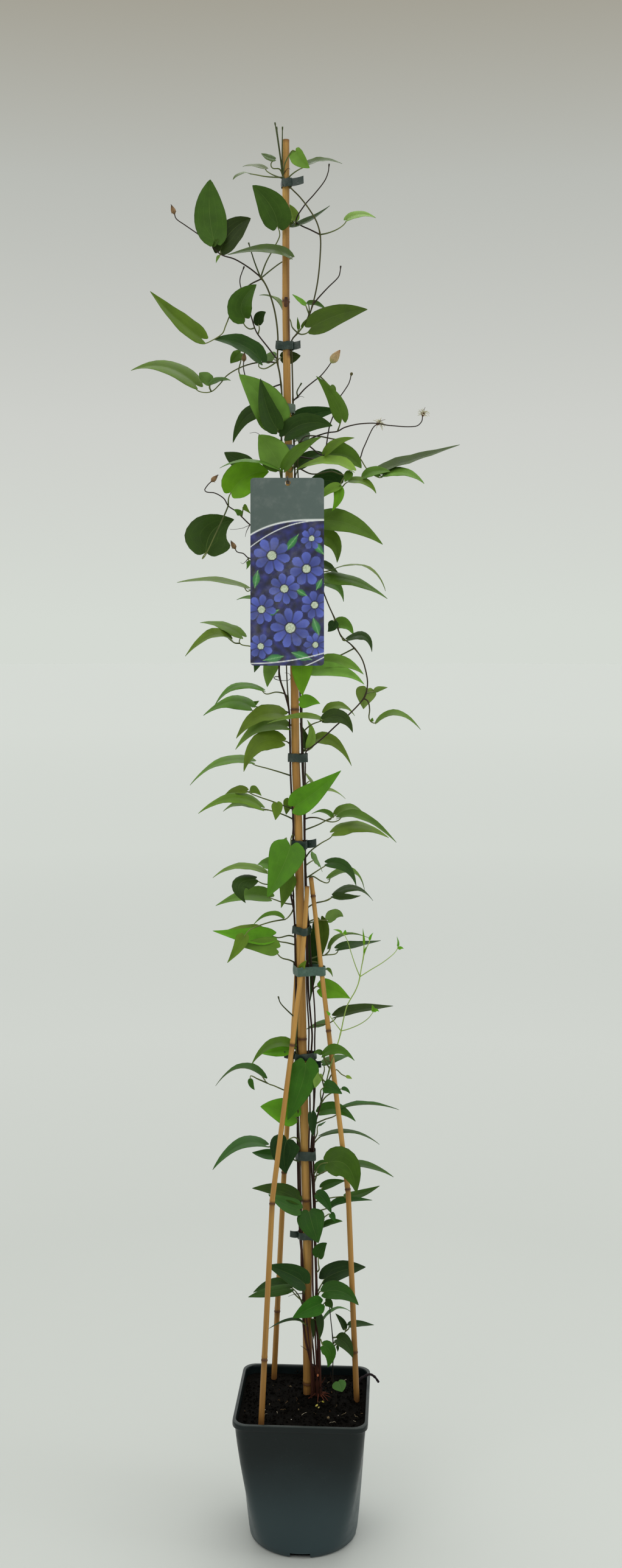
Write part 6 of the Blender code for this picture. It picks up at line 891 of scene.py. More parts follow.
potFinish, tree, shader = newMaterial("pottingPlastic", **{"Specular IOR Level": 0.28})
marks = marksOn(tree, 16.0, 0.1)
spots = objectPlace(tree)
heightUp = place(tree, "SeparateXYZ", [spots]).outputs[2]
lowDust = mapped(tree, heightUp, 0.0, 0.035, 0.3, 0.0, True)
lowDust = maths(tree, "MULTIPLY", lowDust, noisy(tree, spots, 30.0, 5, 0.7))
# painted reflection: the body is painted lighter and bluer towards its base, in the dust colour
paintedReflection = mapped(tree, heightUp, 0.03, 0.155, 0.52, 0.0, True)
# painted highlight: the rim's top two millimetres are painted lighter, in the edge colour
rimTopHighlight = mapped(tree, heightUp, 0.1812, 0.1826, 0, 0.6, True)
colour = mixColour(tree, rimTopHighlight, potLook["shade"], potLook["edge"])
# the dust colour goes on as the painted reflection, as real dust marks and as dust at the foot
for amount in (paintedReflection, marks["Mask"], lowDust):
    colour = mixColour(tree, amount, colour, potLook["dust"])
colour = mixColour(tree, mapped(tree, marks["Specks"], 0, 1, 0, 0.1), colour, potLook["speck"])
setSurface(tree, shader, colour, mapped(tree, noisy(tree, spots, 90.0, 4, 0.6), 0.3, 0.7, 0.3, 0.42))
bumped(tree, shader, noisy(tree, spots, 1400.0, 3, 0.6), 0.14, 0.0002)

turn = potLook["turn"]
quarters = [turn + math.pi / 2 * k for k in range(4)]
potBody = potLoft("pot_body", outsideHeights, outsideRim, 0)
hollow = potLoft("pot_hollow", insideHeights, insideRim, potLook["wall"])
carve(hollow, [cutBox(f"roof{k}", potLook["channelRoof"], (0.07, 0, 0), a) for k, a in enumerate(quarters)])
cutters = [cutBox(f"channel{k}", potLook["channel"], (0.0716, 0, 0), a) for k, a in enumerate(quarters)]
for k, side in enumerate((-1, 1)):
    cutters.append(cutBox(f"slot{k}", potLook["slot"], (0.0905 * side, 0.004 * side, 0.1795), turn))
for k in range(4):
    spin = Matrix.Rotation(turn + math.pi / 4 * (2 * k + 1), 4, "Z")
    at = spin @ Matrix.Translation((potLook["drainReach"], 0, 0))
    cutters.append(cutRound(f"drain{k}", potLook["drain"], at, 24))
carve(potBody, [hollow] + cutters)
potBody.data.materials.append(potFinish)
potBody.data.polygons.foreach_set("use_smooth", [True] * len(potBody.data.polygons))
potBody.data.set_sharp_from_angle(angle=math.radians(potLook["sharp"]))
seat(potBody, "pot", "pot")
print("pot made")

# Soil: a crumbly bed with loose bits, pale fibres and chips of bark
soilLook = {"level": 0.1717, "rough": 0.0023, "gap": 0.002, "rings": 44, "seed": 7,
            "reach": 0.084, "edge": 0.0835, "corner": 0.142,
            "crumbs": 1700, "crumbSizes": (0.0005, 0.0007, 0.0009, 0.0013, 0.0019), "plainShare": 0.985,
            "chipTones": ((92, 72, 46), (66, 46, 28), (120, 108, 82), (54, 46, 34)),
            "fibres": 18, "fibreRadius": 0.0002,
            "fibreTones": ((150, 138, 108), (116, 98, 70), (88, 68, 44), (190, 184, 162)), "litter": 12}
# Larger bits: x, y, size and tone
soilBits = ((0.018, -0.012, 0.0026, (196, 190, 96)), (0.027, -0.004, 0.0022, (170, 164, 70)),
            (0.022, 0.028, 0.0024, (176, 120, 60)), (-0.016, -0.047, 0.0012, (226, 224, 216)),
            (0.021, -0.018, 0.0018, (204, 196, 120)), (-0.052, -0.02, 0.0009, (220, 218, 208)),
            (0.047, -0.036, 0.001, (214, 210, 196)))
random.seed(soilLook["seed"])
soilFinish, tree, shader = newMaterial("dampCompost", **{"Specular IOR Level": 0.04})
spots = objectPlace(tree)
grit = noisy(tree, spots, 420.0, 6, 0.75)
lumps = noisy(tree, spots, 90.0, 5, 0.6)
colour = mixColour(tree, mapped(tree, grit, 0.35, 0.75, 0, 1), (0.35, 0.35, 0.35), (1.9, 1.75, 1.6))
colour = mixColour(tree, 1.0, tintOf(tree), colour, "MULTIPLY")
setSurface(tree, shader, colour, mapped(tree, lumps, 0.3, 0.7, 0.78, 1.0))
bumped(tree, shader, maths(tree, "ADD", grit, lumps), 1.0, 0.0016)


def soilHeightAt(x, y):
    broad = noise.noise(Vector((x * 38, y * 38, 1.5)))
    lumpy = noise.noise(Vector((x * 160, y * 160, 4.2)))
    fine = noise.noise(Vector((x * 520, y * 520, 9.1)))
    mound = 0.0045 * math.exp(-((x - 0.008) ** 2 + (y - 0.016) ** 2) / 0.0007)
    return soilLook["level"] + mound + soilLook["rough"] * (0.55 * broad + 0.6 * lumpy + 0.3 * fine)


dark, brown = srgb(5, 5, 3), srgb(13, 11, 8)
shape = Shape()
rings = [[shape.point(p, dark) for p in potOutline(z, soilLook["gap"])] for z in (0.004, 0.06, 0.12, 0.166)]
edge = potOutline(soilLook["level"], soilLook["gap"])
for step in range(soilLook["rings"]):
    k = 1 - step / soilLook["rings"]
    ring = []
    for p in edge:
        x, y = p.x * k, p.y * k
        mottle = 0.5 + noise.noise(Vector((x * 130, y * 130, 3)))
        ring.append(shape.point((x, y, soilHeightAt(x, y)), blendTint(dark, brown, mottle)))
    rings.append(ring)
shape.skin(rings)
seat(shape.make("soil_bed", [soilFinish], 60), "soil", "soil")


def addLump(shape, centre, size, tint, flat=1.0):
    # one rough crumb, a squashed ball with uneven faces
    rows = []
    angle = random.uniform(0, 6.28)
    spin = Matrix.Rotation(angle, 3, Vector((random.uniform(-1, 1), random.uniform(-1, 1), 1)).normalized())
    for lift, ring in ((-0.8, 0.55), (0.05, 1.0), (0.8, 0.55)):
        row = []
        for k in range(5):
            a = 2 * math.pi * (k + lift * 0.3) / 5
            p = Vector((math.cos(a) * ring, math.sin(a) * ring * flat, lift * flat))
            row.append(shape.point(centre + spin @ (p * size * random.uniform(0.72, 1.2)), tint))
        rows.append(row)
    shape.skin(rows)


def soilSpot(margin):
    while True:
        x, y = (random.uniform(-soilLook["reach"], soilLook["reach"]) for _ in range(2))
        if (abs(x) + abs(y) < soilLook["corner"] - margin
                and max(abs(x), abs(y)) < soilLook["edge"] - margin):
            return x, y


shape = Shape()
for k in range(soilLook["crumbs"]):
    x, y = soilSpot(0.003)
    size = random.choice(soilLook["crumbSizes"]) * random.uniform(0.8, 1.25)
    if random.random() < soilLook["plainShare"]:
        tint = blendTint(dark, brown, random.random())
    else:
        tint = srgb(*random.choice(soilLook["chipTones"]))
    addLump(shape, Vector((x, y, soilHeightAt(x, y) + size * 0.35)), size, tint, random.uniform(0.5, 1))
for k in range(soilLook["fibres"]):
    x, y = soilSpot(0.012)
    way, bend = random.uniform(0, 6.28), random.uniform(-1.6, 1.6)
    points, size = [], random.uniform(0.004, 0.011)
    for i in range(5):
        points.append(Vector((x, y, soilHeightAt(x, y) + 0.0007 + 0.0006 * (i % 2))))
        x, y, way = x + math.cos(way) * size / 4, y + math.sin(way) * size / 4, way + bend / 4
    tone = srgb(*random.choice(soilLook["fibreTones"]))
    line = smoothLine(points, 0.001)
    addTube(shape, line, [soilLook["fibreRadius"]] * len(line), [tone] * len(line), 4)
for x, y, size, tone in soilBits:
    addLump(shape, Vector((x, y, soilHeightAt(x, y) + size * 0.5)), size, srgb(*tone), 0.6)
for k in range(soilLook["litter"]):
    # a clump of dark litter by the rear rim
    x, y = -0.008 + random.uniform(-0.006, 0.006), 0.078 + random.uniform(-0.004, 0.002)
    size = random.uniform(0.001, 0.0026)
    addLump(shape, Vector((x, y, soilHeightAt(x, y) + 0.0035 * (k % 3))), size, brown, 0.8)
seat(shape.make("soil_bits", [soilFinish], 60), "soil")
print("soil made")

# Bamboo canes
caneLook = {"light": srgb(204, 160, 86), "deep": srgb(158, 110, 50), "ring": srgb(84, 52, 28),
            # foot is painted shade, laid on low down the canes
            "leg": srgb(170, 126, 62), "foot": srgb(122, 84, 36), "well": srgb(52, 36, 22),
            "radius": 0.645, "taper": 0.00092, "sides": 20,
            "step": 0.006, "fineStep": 0.0006, "nearNode": 0.008}


def canePath(name):
    # the cane's points and its radius at each
    if name == "cane_main":
        radii = [(caneLook["radius"] - (z - 17) * caneLook["taper"]) * cm for _, z in caneAxis]
        return [seen(x, z, planDepth) for x, z in caneAxis], radii
    path, thick, thin = legs[name]
    low, high = path[0][2], path[-1][2]
    radii = [(thick + (thin - thick) * (p[2] - low) / (high - low)) * cm for p in path]
    return [Vector(p) * cm for p in path], radii


def crossing(points, radii, z):
    for a, b, r0, r1 in zip(points, points[1:], radii, radii[1:]):
        if a.z <= z <= b.z:
            t = (z - a.z) / (b.z - a.z)
            return a.lerp(b, t), r0 + (r1 - r0) * t


for name, nodes in caneNodes.items():
    points, radii = canePath(name)
    knots = [z * cm for z in nodes]
    seed = len(name) * 3.7 + points[0].x * 90
    line, sizes, tints = [], [], []
    z, topEnd = points[0].z, points[-1].z
    while z < topEnd:
        centre, radius = crossing(points, radii, z)
        # a node is a ridge, a groove above it and a soft swelling above that, with a dark stain
        off = min((abs(z - k), z - k) for k in knots)[1]
        swell = 0.00065 * bell(off, 0, 0.0016) + 0.0003 * bell(off, 0.0042, 0.0022)
        swell -= 0.00022 * bell(off, 0.0018, 0.0007)
        wander = noise.noise(Vector((z * 9, seed, 0.3)))
        tone = blendTint(caneLook["light"], caneLook["deep"], 0.45 + 0.9 * wander + 0.25 * (z - 0.9))
        if name != "cane_main":
            tone = blendTint(tone, caneLook["leg"], 0.6)
        # painted shade: below about half a metre the canes are painted darker, towards the foot colour
        tone = blendTint(tone, caneLook["foot"], 1.1 - z * 2.2)
        stain = 0.85 * bell(off, 0.001, 0.0022) + 0.3 * bell(off, -0.004, 0.007)
        stain = max(stain, 0.42 * bell(z, 1.682, 0.008), 0.8 * bell(z, 0.172, 0.01))
        line.append(centre)
        sizes.append(radius + swell + 0.00012 * noise.noise(Vector((z * 60, seed, 2))))
        tints.append(blendTint(tone, caneLook["ring"], stain))
        z += caneLook["fineStep"] if abs(off) < caneLook["nearNode"] else caneLook["step"]
    line.append(points[-1])
    sizes.append(radii[-1])
    tints.append(blendTint(caneLook["deep"], caneLook["ring"], 0.4))
    shape = Shape()
    body = addTube(shape, line, sizes, tints, caneLook["sides"], caps=False)
    if name == "cane_main":
        # one flank is weathered brown near the top, and most of all just under the top node
        for ring, centre, size in zip(body, line, sizes):
            amount = 0.15 if centre.z < 1.608 else 0.9 if centre.z < 1.684 else 0.55
            for corner in ring:
                side = (shape.points[corner][0] - centre.x) / size
                patchy = 0.3 * noise.noise(Vector((centre.z * 25, side, 5)))
                worn = amount * min(max(side * 1.1 + 0.35 + patchy, 0), 1)
                shape.tints[corner] = blendTint(shape.tints[corner], caneLook["ring"], worn)
        # the stub of a branch at the top node
        foot = seen(-2.44, 167.7, 1.75)
        stub = [foot, foot + Vector((0.0002, -0.0035, 0.006)), foot + Vector((0.0005, -0.0052, 0.0125))]
        stubTints = [srgb(74, 46, 28), srgb(92, 60, 38), srgb(58, 38, 26)]
        addTube(shape, stub, [0.0026, 0.0029, 0.0021], stubTints, 12)
    shape.face(body[0][::-1])
    # the hollow in the cut top
    inner = [line[-1] - Vector((0, 0, 0.009)), line[-1]]
    wellRadii = [radii[-1] * 0.42, radii[-1] * 0.5]
    well = addTube(shape, inner, wellRadii, [caneLook["well"]] * 2, caneLook["sides"], caps=False)
    shape.strip(body[-1], well[-1])
    shape.face(well[0])
    seat(shape.make(name.replace("cane", "bamboo"), [bambooFinish], 60), "bamboo", name)
print("canes made")

# Leafy stems: their stalks, blades, tendrils and heads
plantLook = {"brown": srgb(46, 29, 20), "red": srgb(62, 32, 22), "olive": srgb(78, 82, 40),
             "young": srgb(146, 172, 84), "stalk": srgb(62, 72, 34), "stalkDark": srgb(44, 33, 22),
             "stalkTip": srgb(112, 122, 62), "sprout": srgb(30, 27, 20), "under": srgb(116, 140, 76),
             "rim": srgb(52, 60, 24), "thickness": 0.00022, "rimThickness": 0.00012, "seed": 21}
# Blade tones: dark is the green of darker blades and, for blades deep in the foliage, painted shade
leafTones = {"mid": (80, 112, 30), "dark": (38, 64, 13), "light": (102, 136, 46), "green": (66, 114, 24),
             "bright": (92, 148, 22), "grey": (100, 130, 74)}
# Leaves are deeper green low down, and olive at the top: height in metres, and what multiplies the colours
leafZones = [(0.4, (0.44, 0.62, 0.4)), (0.62, (0.6, 0.78, 0.5)), (0.76, (1, 1, 1)), (1.36, (1, 1, 1)),
             (1.58, (0.84, 0.9, 0.66)), (1.76, (0.68, 0.7, 0.55))]
# How far along a blade, and how wide it is there: slim with a drawn-out tip, and full
bladeSlim = [(0, 0.5), (0.04, 0.74), (0.1, 0.92), (0.17, 1), (0.25, 0.99), (0.35, 0.92), (0.45, 0.82),
             (0.55, 0.69), (0.65, 0.55), (0.75, 0.4), (0.84, 0.26), (0.91, 0.15), (0.96, 0.08), (1, 0.015)]
bladeFull = (0.42, 0.66, 0.84, 0.93, 0.98, 1, 0.98, 0.92, 0.81, 0.66, 0.48, 0.3, 0.17, 0.02)
bladeAcross = (-1, -0.9, -0.72, -0.48, -0.22, -0.06, 0.06, 0.22, 0.48, 0.72, 0.9, 1)


def stemPoint(name, z):
    path = stems[name]
    for (x0, z0, d0), (x1, z1, d1) in zip(path, path[1:]):
        if min(z0, z1) <= z <= max(z0, z1):
            t = (z - z0) / (z1 - z0)
            return (x0 + (x1 - x0) * t, z, d0 + (d1 - d0) * t)
    return path[-1]


def stalkPoints(name, start, via, end, forks):
    # a stalk's points; where the depth isn't given it follows from the place along the stalk
    first = start if isinstance(start, tuple) else stemPoint(name, start)
    flat = [first] + list(via) + ([end] if end else [])
    known = [i for i, p in enumerate(flat) if len(p) == 3]
    run = [0.0]
    for a, b in zip(flat, flat[1:]):
        run.append(run[-1] + math.dist(a[:2], b[:2]) + 1e-6)
    points = []
    for i, p in enumerate(flat):
        depth = p[-1]
        if len(p) < 3:
            a, b = max(k for k in known if k < i), min(k for k in known if k > i)
            depth = flat[a][2] + (flat[b][2] - flat[a][2]) * (run[i] - run[a]) / (run[b] - run[a])
        point = seen(p[0], p[1], depth)
        if i == 0 and isinstance(start, tuple):
            point = forks[start[:2]]
        elif p[:2] in forks:
            forks[p[:2]] = point
        points.append(point)
    return points


def bladeTints(tone, height):
    # the colours of a blade's upper side and underside
    zones = [z for z in zip(leafZones, leafZones[1:]) if height < z[1][0]]
    (low, a), (high, b) = zones[0] if zones else (leafZones[-1],) * 2
    zone = blendTint(a, b, (height - low) / (high - low) if high > low else 1)
    if tone in ("bright", "light", "green") and height > 0.45:
        zone = (1, 1, 1)
    elif tone == "dark":
        zone = blendTint(zone, (1, 1, 1), 0.5)
    red, green, blue = (c * k for c, k in zip(leafTones[tone], zone))
    warm, light = random.uniform(-7, 9), random.uniform(0.9, 1.1)
    tint = ((red + warm) * light, green * light, (blue - warm * 0.4) * light)
    upper = srgb(*(min(max(c, 4), 250) for c in tint))
    return upper, blendTint(upper, plantLook["under"], 0.35)


def addBlade(shape, base, middle, tip, width, turn, tone):
    # a heart-shaped blade with a drawn-out tip, folded along its midrib and rippled at its edge
    along = (tip - base).normalized()
    view = (Vector((eyeX, eyeDepth, eyeHeight)) * cm - base).normalized()
    view = (view - along * view.dot(along)).normalized()
    rise = along.cross(view).normalized()
    if rise.z < 0:
        rise = -rise
    a = math.radians(turn)
    across = along.cross(view * math.cos(a) + rise * math.sin(a)).normalized()
    length = (tip - base).length
    fold, waves = random.uniform(0.1, 0.3), random.uniform(1.6, 3.2)
    ripple, phase = random.uniform(0.02, 0.055) * width, random.uniform(0, 6.28)
    cup = random.uniform(-0.25, 0.3)
    bend = middle * 2 - (base + tip) / 2
    tints = bladeTints(tone, base.z)
    back = 0.1 if width > 0.009 else 0.02
    fullness = 0.15 if base.z > 0.64 else 0.55
    if base.z > 1.4:
        fullness = 0.92 if length < width * 2.2 else 0.3
    fullness += random.uniform(-0.15, 0.15)
    skew = random.uniform(-0.07, 0.07)
    sheets = [[], []]
    for (v, slim), full in zip(bladeSlim, bladeFull):
        half = slim + (full - slim) * fullness
        centre = base * (1 - v) ** 2 + bend * 2 * v * (1 - v) + tip * v * v
        ahead = ((bend - base) * (1 - v) + (tip - bend) * v).normalized()
        side = (across - ahead * across.dot(ahead)).normalized()
        normal = side.cross(ahead).normalized()
        rows = [[], []]
        for u in bladeAcross:
            far = abs(u)
            onRim = far > 0.95
            lobe = max(1 - ((far - 0.7) / 0.7) ** 2, 0) * back * length * max(1 - v / 0.3, 0) ** 1.6
            swing = math.sin(waves * 6.28 * v + phase + (1.7 if u > 0 else 0))
            wave = ripple * far**1.5 * swing * min(v * 5, 1) * (1 - v)
            lift = fold * far * half * width / 2 - cup * (far * half) ** 2 * width / 2 + wave
            p = centre + side * u * half * (1 + skew * u / (far + 1e-6)) * width / 2
            p = p - ahead * lobe + normal * lift
            thick = plantLook["rimThickness" if onRim else "thickness"]
            for row, sign, tint in zip(rows, (1, -1), tints):
                tint = blendTint(tint, plantLook["rim"], 0.3 * onRim)
                row.append(shape.point(p + normal * thick * sign, tint, (u, v, width)))
        for sheet, row in zip(sheets, rows):
            sheet.append(row)
    shape.slab(sheets, 1)


def addFilament(shape, foot, way, length, radius, tint, slot):
    droop = Vector((0, 0, -1)) * length * 0.25
    side = Vector([random.uniform(-1, 1) for _ in range(3)]) * length * 0.16
    line = smoothLine([foot, foot + way * length * 0.5 + side, foot + way * length + droop], length / 6)
    count = len(line)
    addTube(shape, line, [radius * (1 - 0.6 * i / count) for i in range(count)], [tint] * count, 5, slot)


# How far along its axis a head is how thick, in millimetres
headProfiles = {
    "pod": ((-1, 0.8), (0, 1.5), (1.5, 2.8), (3.5, 3.4), (6, 3.1), (8.5, 2.1), (10.5, 1.3), (11.6, 0.5)),
    "bud": ((-1, 1), (0.5, 3), (3, 5), (6, 5.9), (10, 5.4), (14, 4), (18, 2), (20.6, 0.5)),
}
headTones = {
    "pod": (srgb(82, 62, 38), srgb(144, 114, 80), srgb(58, 44, 32)),
    "bud": (srgb(150, 160, 96), srgb(172, 150, 108), srgb(146, 108, 76)),
    "knob": (srgb(84, 78, 44),) * 3,
    "star": (srgb(92, 62, 38), srgb(176, 174, 134), srgb(216, 210, 184)),
}


def addHead(shape, kind, foot, before):
    # what ends a flower stalk
    tones = headTones[kind]
    axis = (foot - before).normalized()
    side = axis.orthogonal().normalized()
    if kind in headProfiles:
        profile = headProfiles[kind]
        line = [foot + axis * a * 0.001 for a, _ in profile]
        count = len(profile) - 1
        shades = []
        for i in range(count + 1):
            t = 2.4 * i / count
            early = i < count * 0.55
            shade = blendTint(tones[0], tones[1], t) if early else blendTint(tones[1], tones[2], t - 1.4)
            shades.append(shade)
        addTube(shape, line, [r * 0.001 for _, r in profile], shades, 18, 2, rib=0.07)
        if kind == "pod":
            for k in range(7):
                way = (Matrix.Rotation(k * 0.9 + 0.3, 3, axis) @ side + axis * 0.35).normalized()
                addFilament(shape, foot + axis * 0.0015, way, 0.0042, 0.0004, tones[0], 2)
            for k in range(5):
                way = (Matrix.Rotation(k * 1.25, 3, axis) @ side * 0.3 + axis).normalized()
                addFilament(shape, foot + axis * 0.0105, way, 0.003, 0.0003, tones[2], 2)
    else:
        size = 0.0022 if kind == "knob" else 0.0026
        line = [foot + axis * a * size for a in (-0.6, 0, 0.7, 1.3, 1.7)]
        addTube(shape, line, [size * r for r in (0.35, 0.75, 1, 0.8, 0.25)], [tones[0]] * 5, 12, 2)
        if kind == "star":
            for k in range(34):
                spin = Matrix.Rotation(k * 2.4, 3, axis) @ side
                way = (spin * random.uniform(0.3, 1) + axis * random.uniform(-0.2, 1.1)).normalized()
                addFilament(shape, foot + axis * size * 0.8, way, random.uniform(0.006, 0.0115), 0.0005,
                            blendTint(tones[1], tones[2], random.random()), 2)
            addFilament(shape, foot + axis * size, axis, 0.012, 0.0005, tones[0], 2)


def addStem(shape, name):
    # the stem itself, thicker where something leaves it
    thick, thin = stemRadii[name]
    line = smoothLine([seen(*p) for p in stems[name]], 0.004)
    starts = [stemPoint(name, row[0])[1] for row in leafRows[name] if not isinstance(row[0], tuple)]
    heights = [seen(0, z, 1.5).z for z in starts]
    radii, tints = [], []
    for i, p in enumerate(line):
        t = i / (len(line) - 1)
        near = min((abs(p.z - h) for h in heights), default=1)
        radii.append((thick + (thin - thick) * t) * cm * (1 + 0.35 * bell(near, 0, 0.0035)))
        tone = blendTint(plantLook["red"], plantLook["brown"], (p.z - 0.25) / 0.35)
        tone = blendTint(tone, plantLook["olive"], (t - 0.62) / 0.5)
        if name == "vine_low_right":
            tone = blendTint(tone, plantLook["young"], (p.z - 0.6) / 0.06)
        tints.append(plantLook["sprout"] if "seedling" in name else tone)
    addTube(shape, line, radii, tints, 8)


def addStalk(shape, name, line, kind, bends):
    last = len(line) - 1
    young = name == "vine_low_right" and line[0].z > 0.64
    tone = plantLook["stalkDark" if bends > 4 or kind == "curl" else "stalk"]
    if young:
        tone = plantLook["young"]
    slim = 0.00058 if kind == "curl" or young else 0.0009
    widths = [slim * (1.25 - 0.45 * i / last) for i in range(last + 1)]
    if kind == "curl":
        widths = [w * (1 - 0.5 * i / last) for i, w in enumerate(widths)]
    if kind == "cut":
        widths[-1] = widths[-2] = slim * 1.25
    tipTone = plantLook["stalkTip"] if kind == "leaf" and not young else tone
    addTube(shape, line, widths, [blendTint(tone, tipTone, i / last) for i in range(last + 1)], 7)


def addRow(shape, name, row, forks):
    # one stalk, and the blade or head that ends it
    blade = len(row) > 3
    kind = "leaf" if blade else row[2]
    points = stalkPoints(name, row[0], row[1], row[2] if blade else None, forks)
    if len(points) > 1 and (points[-1] - points[0]).length > 1e-4:
        addStalk(shape, name, smoothLine(points, 0.0025), kind, len(row[1]))
    if blade:
        base, middle, tip, width, turn = row[2:7]
        tone = row[7] if len(row) > 7 else "mid"
        if name == "vine_low_right" and points[-1].z > 0.66:
            tone = "bright"
        addBlade(shape, points[-1], seen(*middle, (base[2] + tip[2]) / 2), seen(*tip), width * cm, turn, tone)
    elif kind in headTones:
        addHead(shape, kind, points[-1], points[-2])


random.seed(plantLook["seed"])
for name in stems:
    shape = Shape()
    addStem(shape, name)
    forks = {row[0][:2]: None for row in leafRows[name] if isinstance(row[0], tuple)}
    for row in leafRows[name]:
        addRow(shape, name, row, forks)
    seat(shape.make(name + "_growth", [stemFinish, leafFinish, headFinish]), "foliage", name)
print("leafy stems made")

# Tape ties: thin wrapped bands with creased faces and a loose end
tieLook = {"dark": srgb(24, 45, 35), "blue": srgb(84, 104, 112), "clear": srgb(104, 124, 106),
           "grey": srgb(60, 88, 74), "mark": srgb(150, 158, 146),
           "others": {2: "clear", 3: "blue", 7: "grey"},
           "thickness": 0.0005, "endThickness": 0.00044, "gap": 0.0011,
           "around": 56, "rows": 6, "endSteps": 11}


def tapeFinish(name, **settings):
    material, tree, shader = newMaterial(name, **settings)
    creases = noisy(tree, objectPlace(tree), 260.0, 4, 0.6)
    colour = mixColour(tree, marksOn(tree, 90.0, 0.2)["Mask"], tintOf(tree), tieLook["mark"])
    colour = shaded(tree, colour, mapped(tree, creases, 0.3, 0.7, 0.75, 1.25))
    setSurface(tree, shader, colour, mapped(tree, creases, 0.3, 0.7, 0.28, 0.5))
    bumped(tree, shader, creases, 0.7, 0.0008)
    return material


tapeDark = tapeFinish("tyingTape")
tapeClear = tapeFinish("clearTape", **{"Transmission Weight": 0.35, "IOR": 1.4})


def convexOutline(points):
    # the tightest outline round the points
    points = sorted(set(points))
    sides = []
    for order in (points, points[::-1]):
        half = []
        for p in order:
            while len(half) > 1 and ((half[-1][0] - half[-2][0]) * (p[1] - half[-2][1])
                                     - (half[-1][1] - half[-2][1]) * (p[0] - half[-2][0])) <= 1e-12:
                half.pop()
            half.append(p)
        sides += half[:-1]
    return sides


def evenOutline(outline, count):
    # the outline cut into equal lengths
    closed = outline + outline[:1]
    lengths = [math.dist(a, b) for a, b in zip(closed, closed[1:])]
    total, spots, run, i = sum(lengths), [], 0.0, 0
    for k in range(count):
        want = total * k / count
        while run + lengths[i] < want:
            run += lengths[i]
            i += 1
        t = (want - run) / max(lengths[i], 1e-9)
        spots.append(Vector(closed[i]).lerp(Vector(closed[i + 1]), t))
    return spots


axes = {name: canePath(name) for name in caneNodes}
for name, path in stems.items():
    thick, thin = stemRadii[name]
    radii = [(thick + (thin - thick) * i / (len(path) - 1)) * cm for i in range(len(path))]
    axes[name] = ([seen(*p) for p in path], radii)


def tieOutline(z, height, tieReach):
    # an even outline round the cane and the stems that the band holds
    centre = crossing(*axes["cane_main"], z * cm)[0]
    flat = []
    for level in (z - height / 2 - 0.05, z, z + height / 2 + 0.05):
        for axis in axes.values():
            met = crossing(*axis, level * cm)
            if met and (met[0] - centre).length < tieReach * cm:
                reach = met[1] + tieLook["gap"]
                flat += [(met[0].x + reach * math.cos(a), met[0].y + reach * math.sin(a))
                         for a in (2 * math.pi * k / 20 for k in range(20))]
    return evenOutline(convexOutline(flat), tieLook["around"])


def addBand(shape, outline, z, height, number, tint):
    # the band: an inner and an outer wall with puffed faces and wavy edges
    middle = sum(outline, Vector((0, 0))) / len(outline)
    layers = []
    for outward in (0, tieLook["thickness"]):
        rows = []
        for step in range(tieLook["rows"] + 1):
            t = step / tieLook["rows"]
            row = []
            for k, p in enumerate(outline):
                a = 2 * math.pi * k / len(outline)
                edgeWave = 0.0005 * math.sin(3 * a + number) + 0.0003 * math.sin(7 * a + number * 2)
                puff = 0.0003 * math.sin(5 * a + number * 1.3 + t * 4) + 0.00035 * math.sin(math.pi * t)
                q = p + (p - middle).normalized() * (outward + puff)
                level = z * cm + (t - 0.5) * height * cm * 0.96 + edgeWave * (1 - 0.4 * math.sin(math.pi * t))
                row.append(shape.point((q.x, q.y, level), tint))
            rows.append(row)
        layers.append(rows)
    for rows in layers:
        shape.skin(rows, caps=False)
    for end in (0, -1):
        shape.strip(layers[0][end], layers[1][end])


def addLooseEnd(shape, outline, z, height, side, tail, tint):
    # a ribbon that leaves the band and turns forward
    far = max(outline, key=lambda p: p.x * side)
    sheets = [[], []]
    for i in range(tieLook["endSteps"] + 1):
        t = i / tieLook["endSteps"]
        swing = Vector((side * (tail * cm * 1.1 * t), -0.003 * math.sin(1.4 * t), tail * cm * 0.2 * t * t))
        p = Vector((far.x, far.y, z * cm)) + swing
        lean = 0.12 * t * side
        across = Vector((-math.sin(lean) * 0.3, math.sin(lean), math.cos(lean))).normalized()
        for sheet, sign in zip(sheets, (-1, 1)):
            outwards = Vector((0, sign * tieLook["endThickness"] / 2, 0))
            sheet.append([shape.point(p + across * h * height * cm * 0.46 + outwards, tint)
                          for h in (-1, -0.5, 0, 0.5, 1)])
    shape.slab(sheets)


for number, (z, height, tieReach, side, tail) in enumerate(ties):
    kind = tieLook["others"].get(number, "dark")
    outline = tieOutline(z, height, tieReach)
    shape = Shape()
    addBand(shape, outline, z, height, number, tieLook[kind])
    if side:
        addLooseEnd(shape, outline, z, height, side, tail, tieLook[kind])
    finish, slotName = (tapeClear, "clear_tie") if kind == "clear" else (tapeDark, "tie")
    seat(shape.make(f"tape_{number + 1:02d}", [finish]), slotName, f"tie_{number + 1:02d}")
print("ties made")

# Hanging card: plain grey head, pale arcs and a field of simple rosettes
cardLook = {"width": 0.0997, "height": 0.2543, "thickness": 0.0008, "corner": 0.0045, "depth": -2.6,
            "bow": 0.0011, "curl": 0.0009, "hole": 0.0038, "columns": 116, "rows": 290,
            "head": (78, 94, 88), "field": (30, 34, 92), "line": (226, 230, 226), "back": (206, 208, 202),
            "cut": (196, 200, 196), "dust": (214, 214, 206)}
# Rosettes: x and y of the middle in centimetres, size, number of petals and lean
rosettes = [(2.9, 14.9, 2.5, 8, 0.2), (7.6, 13.1, 2.3, 7, 1.1), (4.6, 10.4, 2.1, 8, 0.6),
            (8.7, 8.2, 1.9, 7, 0.1), (1.5, 7.6, 2.0, 8, 0.9), (5.4, 5.1, 2.7, 9, 0.4),
            (1.4, 2.6, 1.7, 7, 0.5), (8.8, 2.8, 1.6, 8, 0.8), (8.3, 17.2, 1.5, 7, 0.2)]
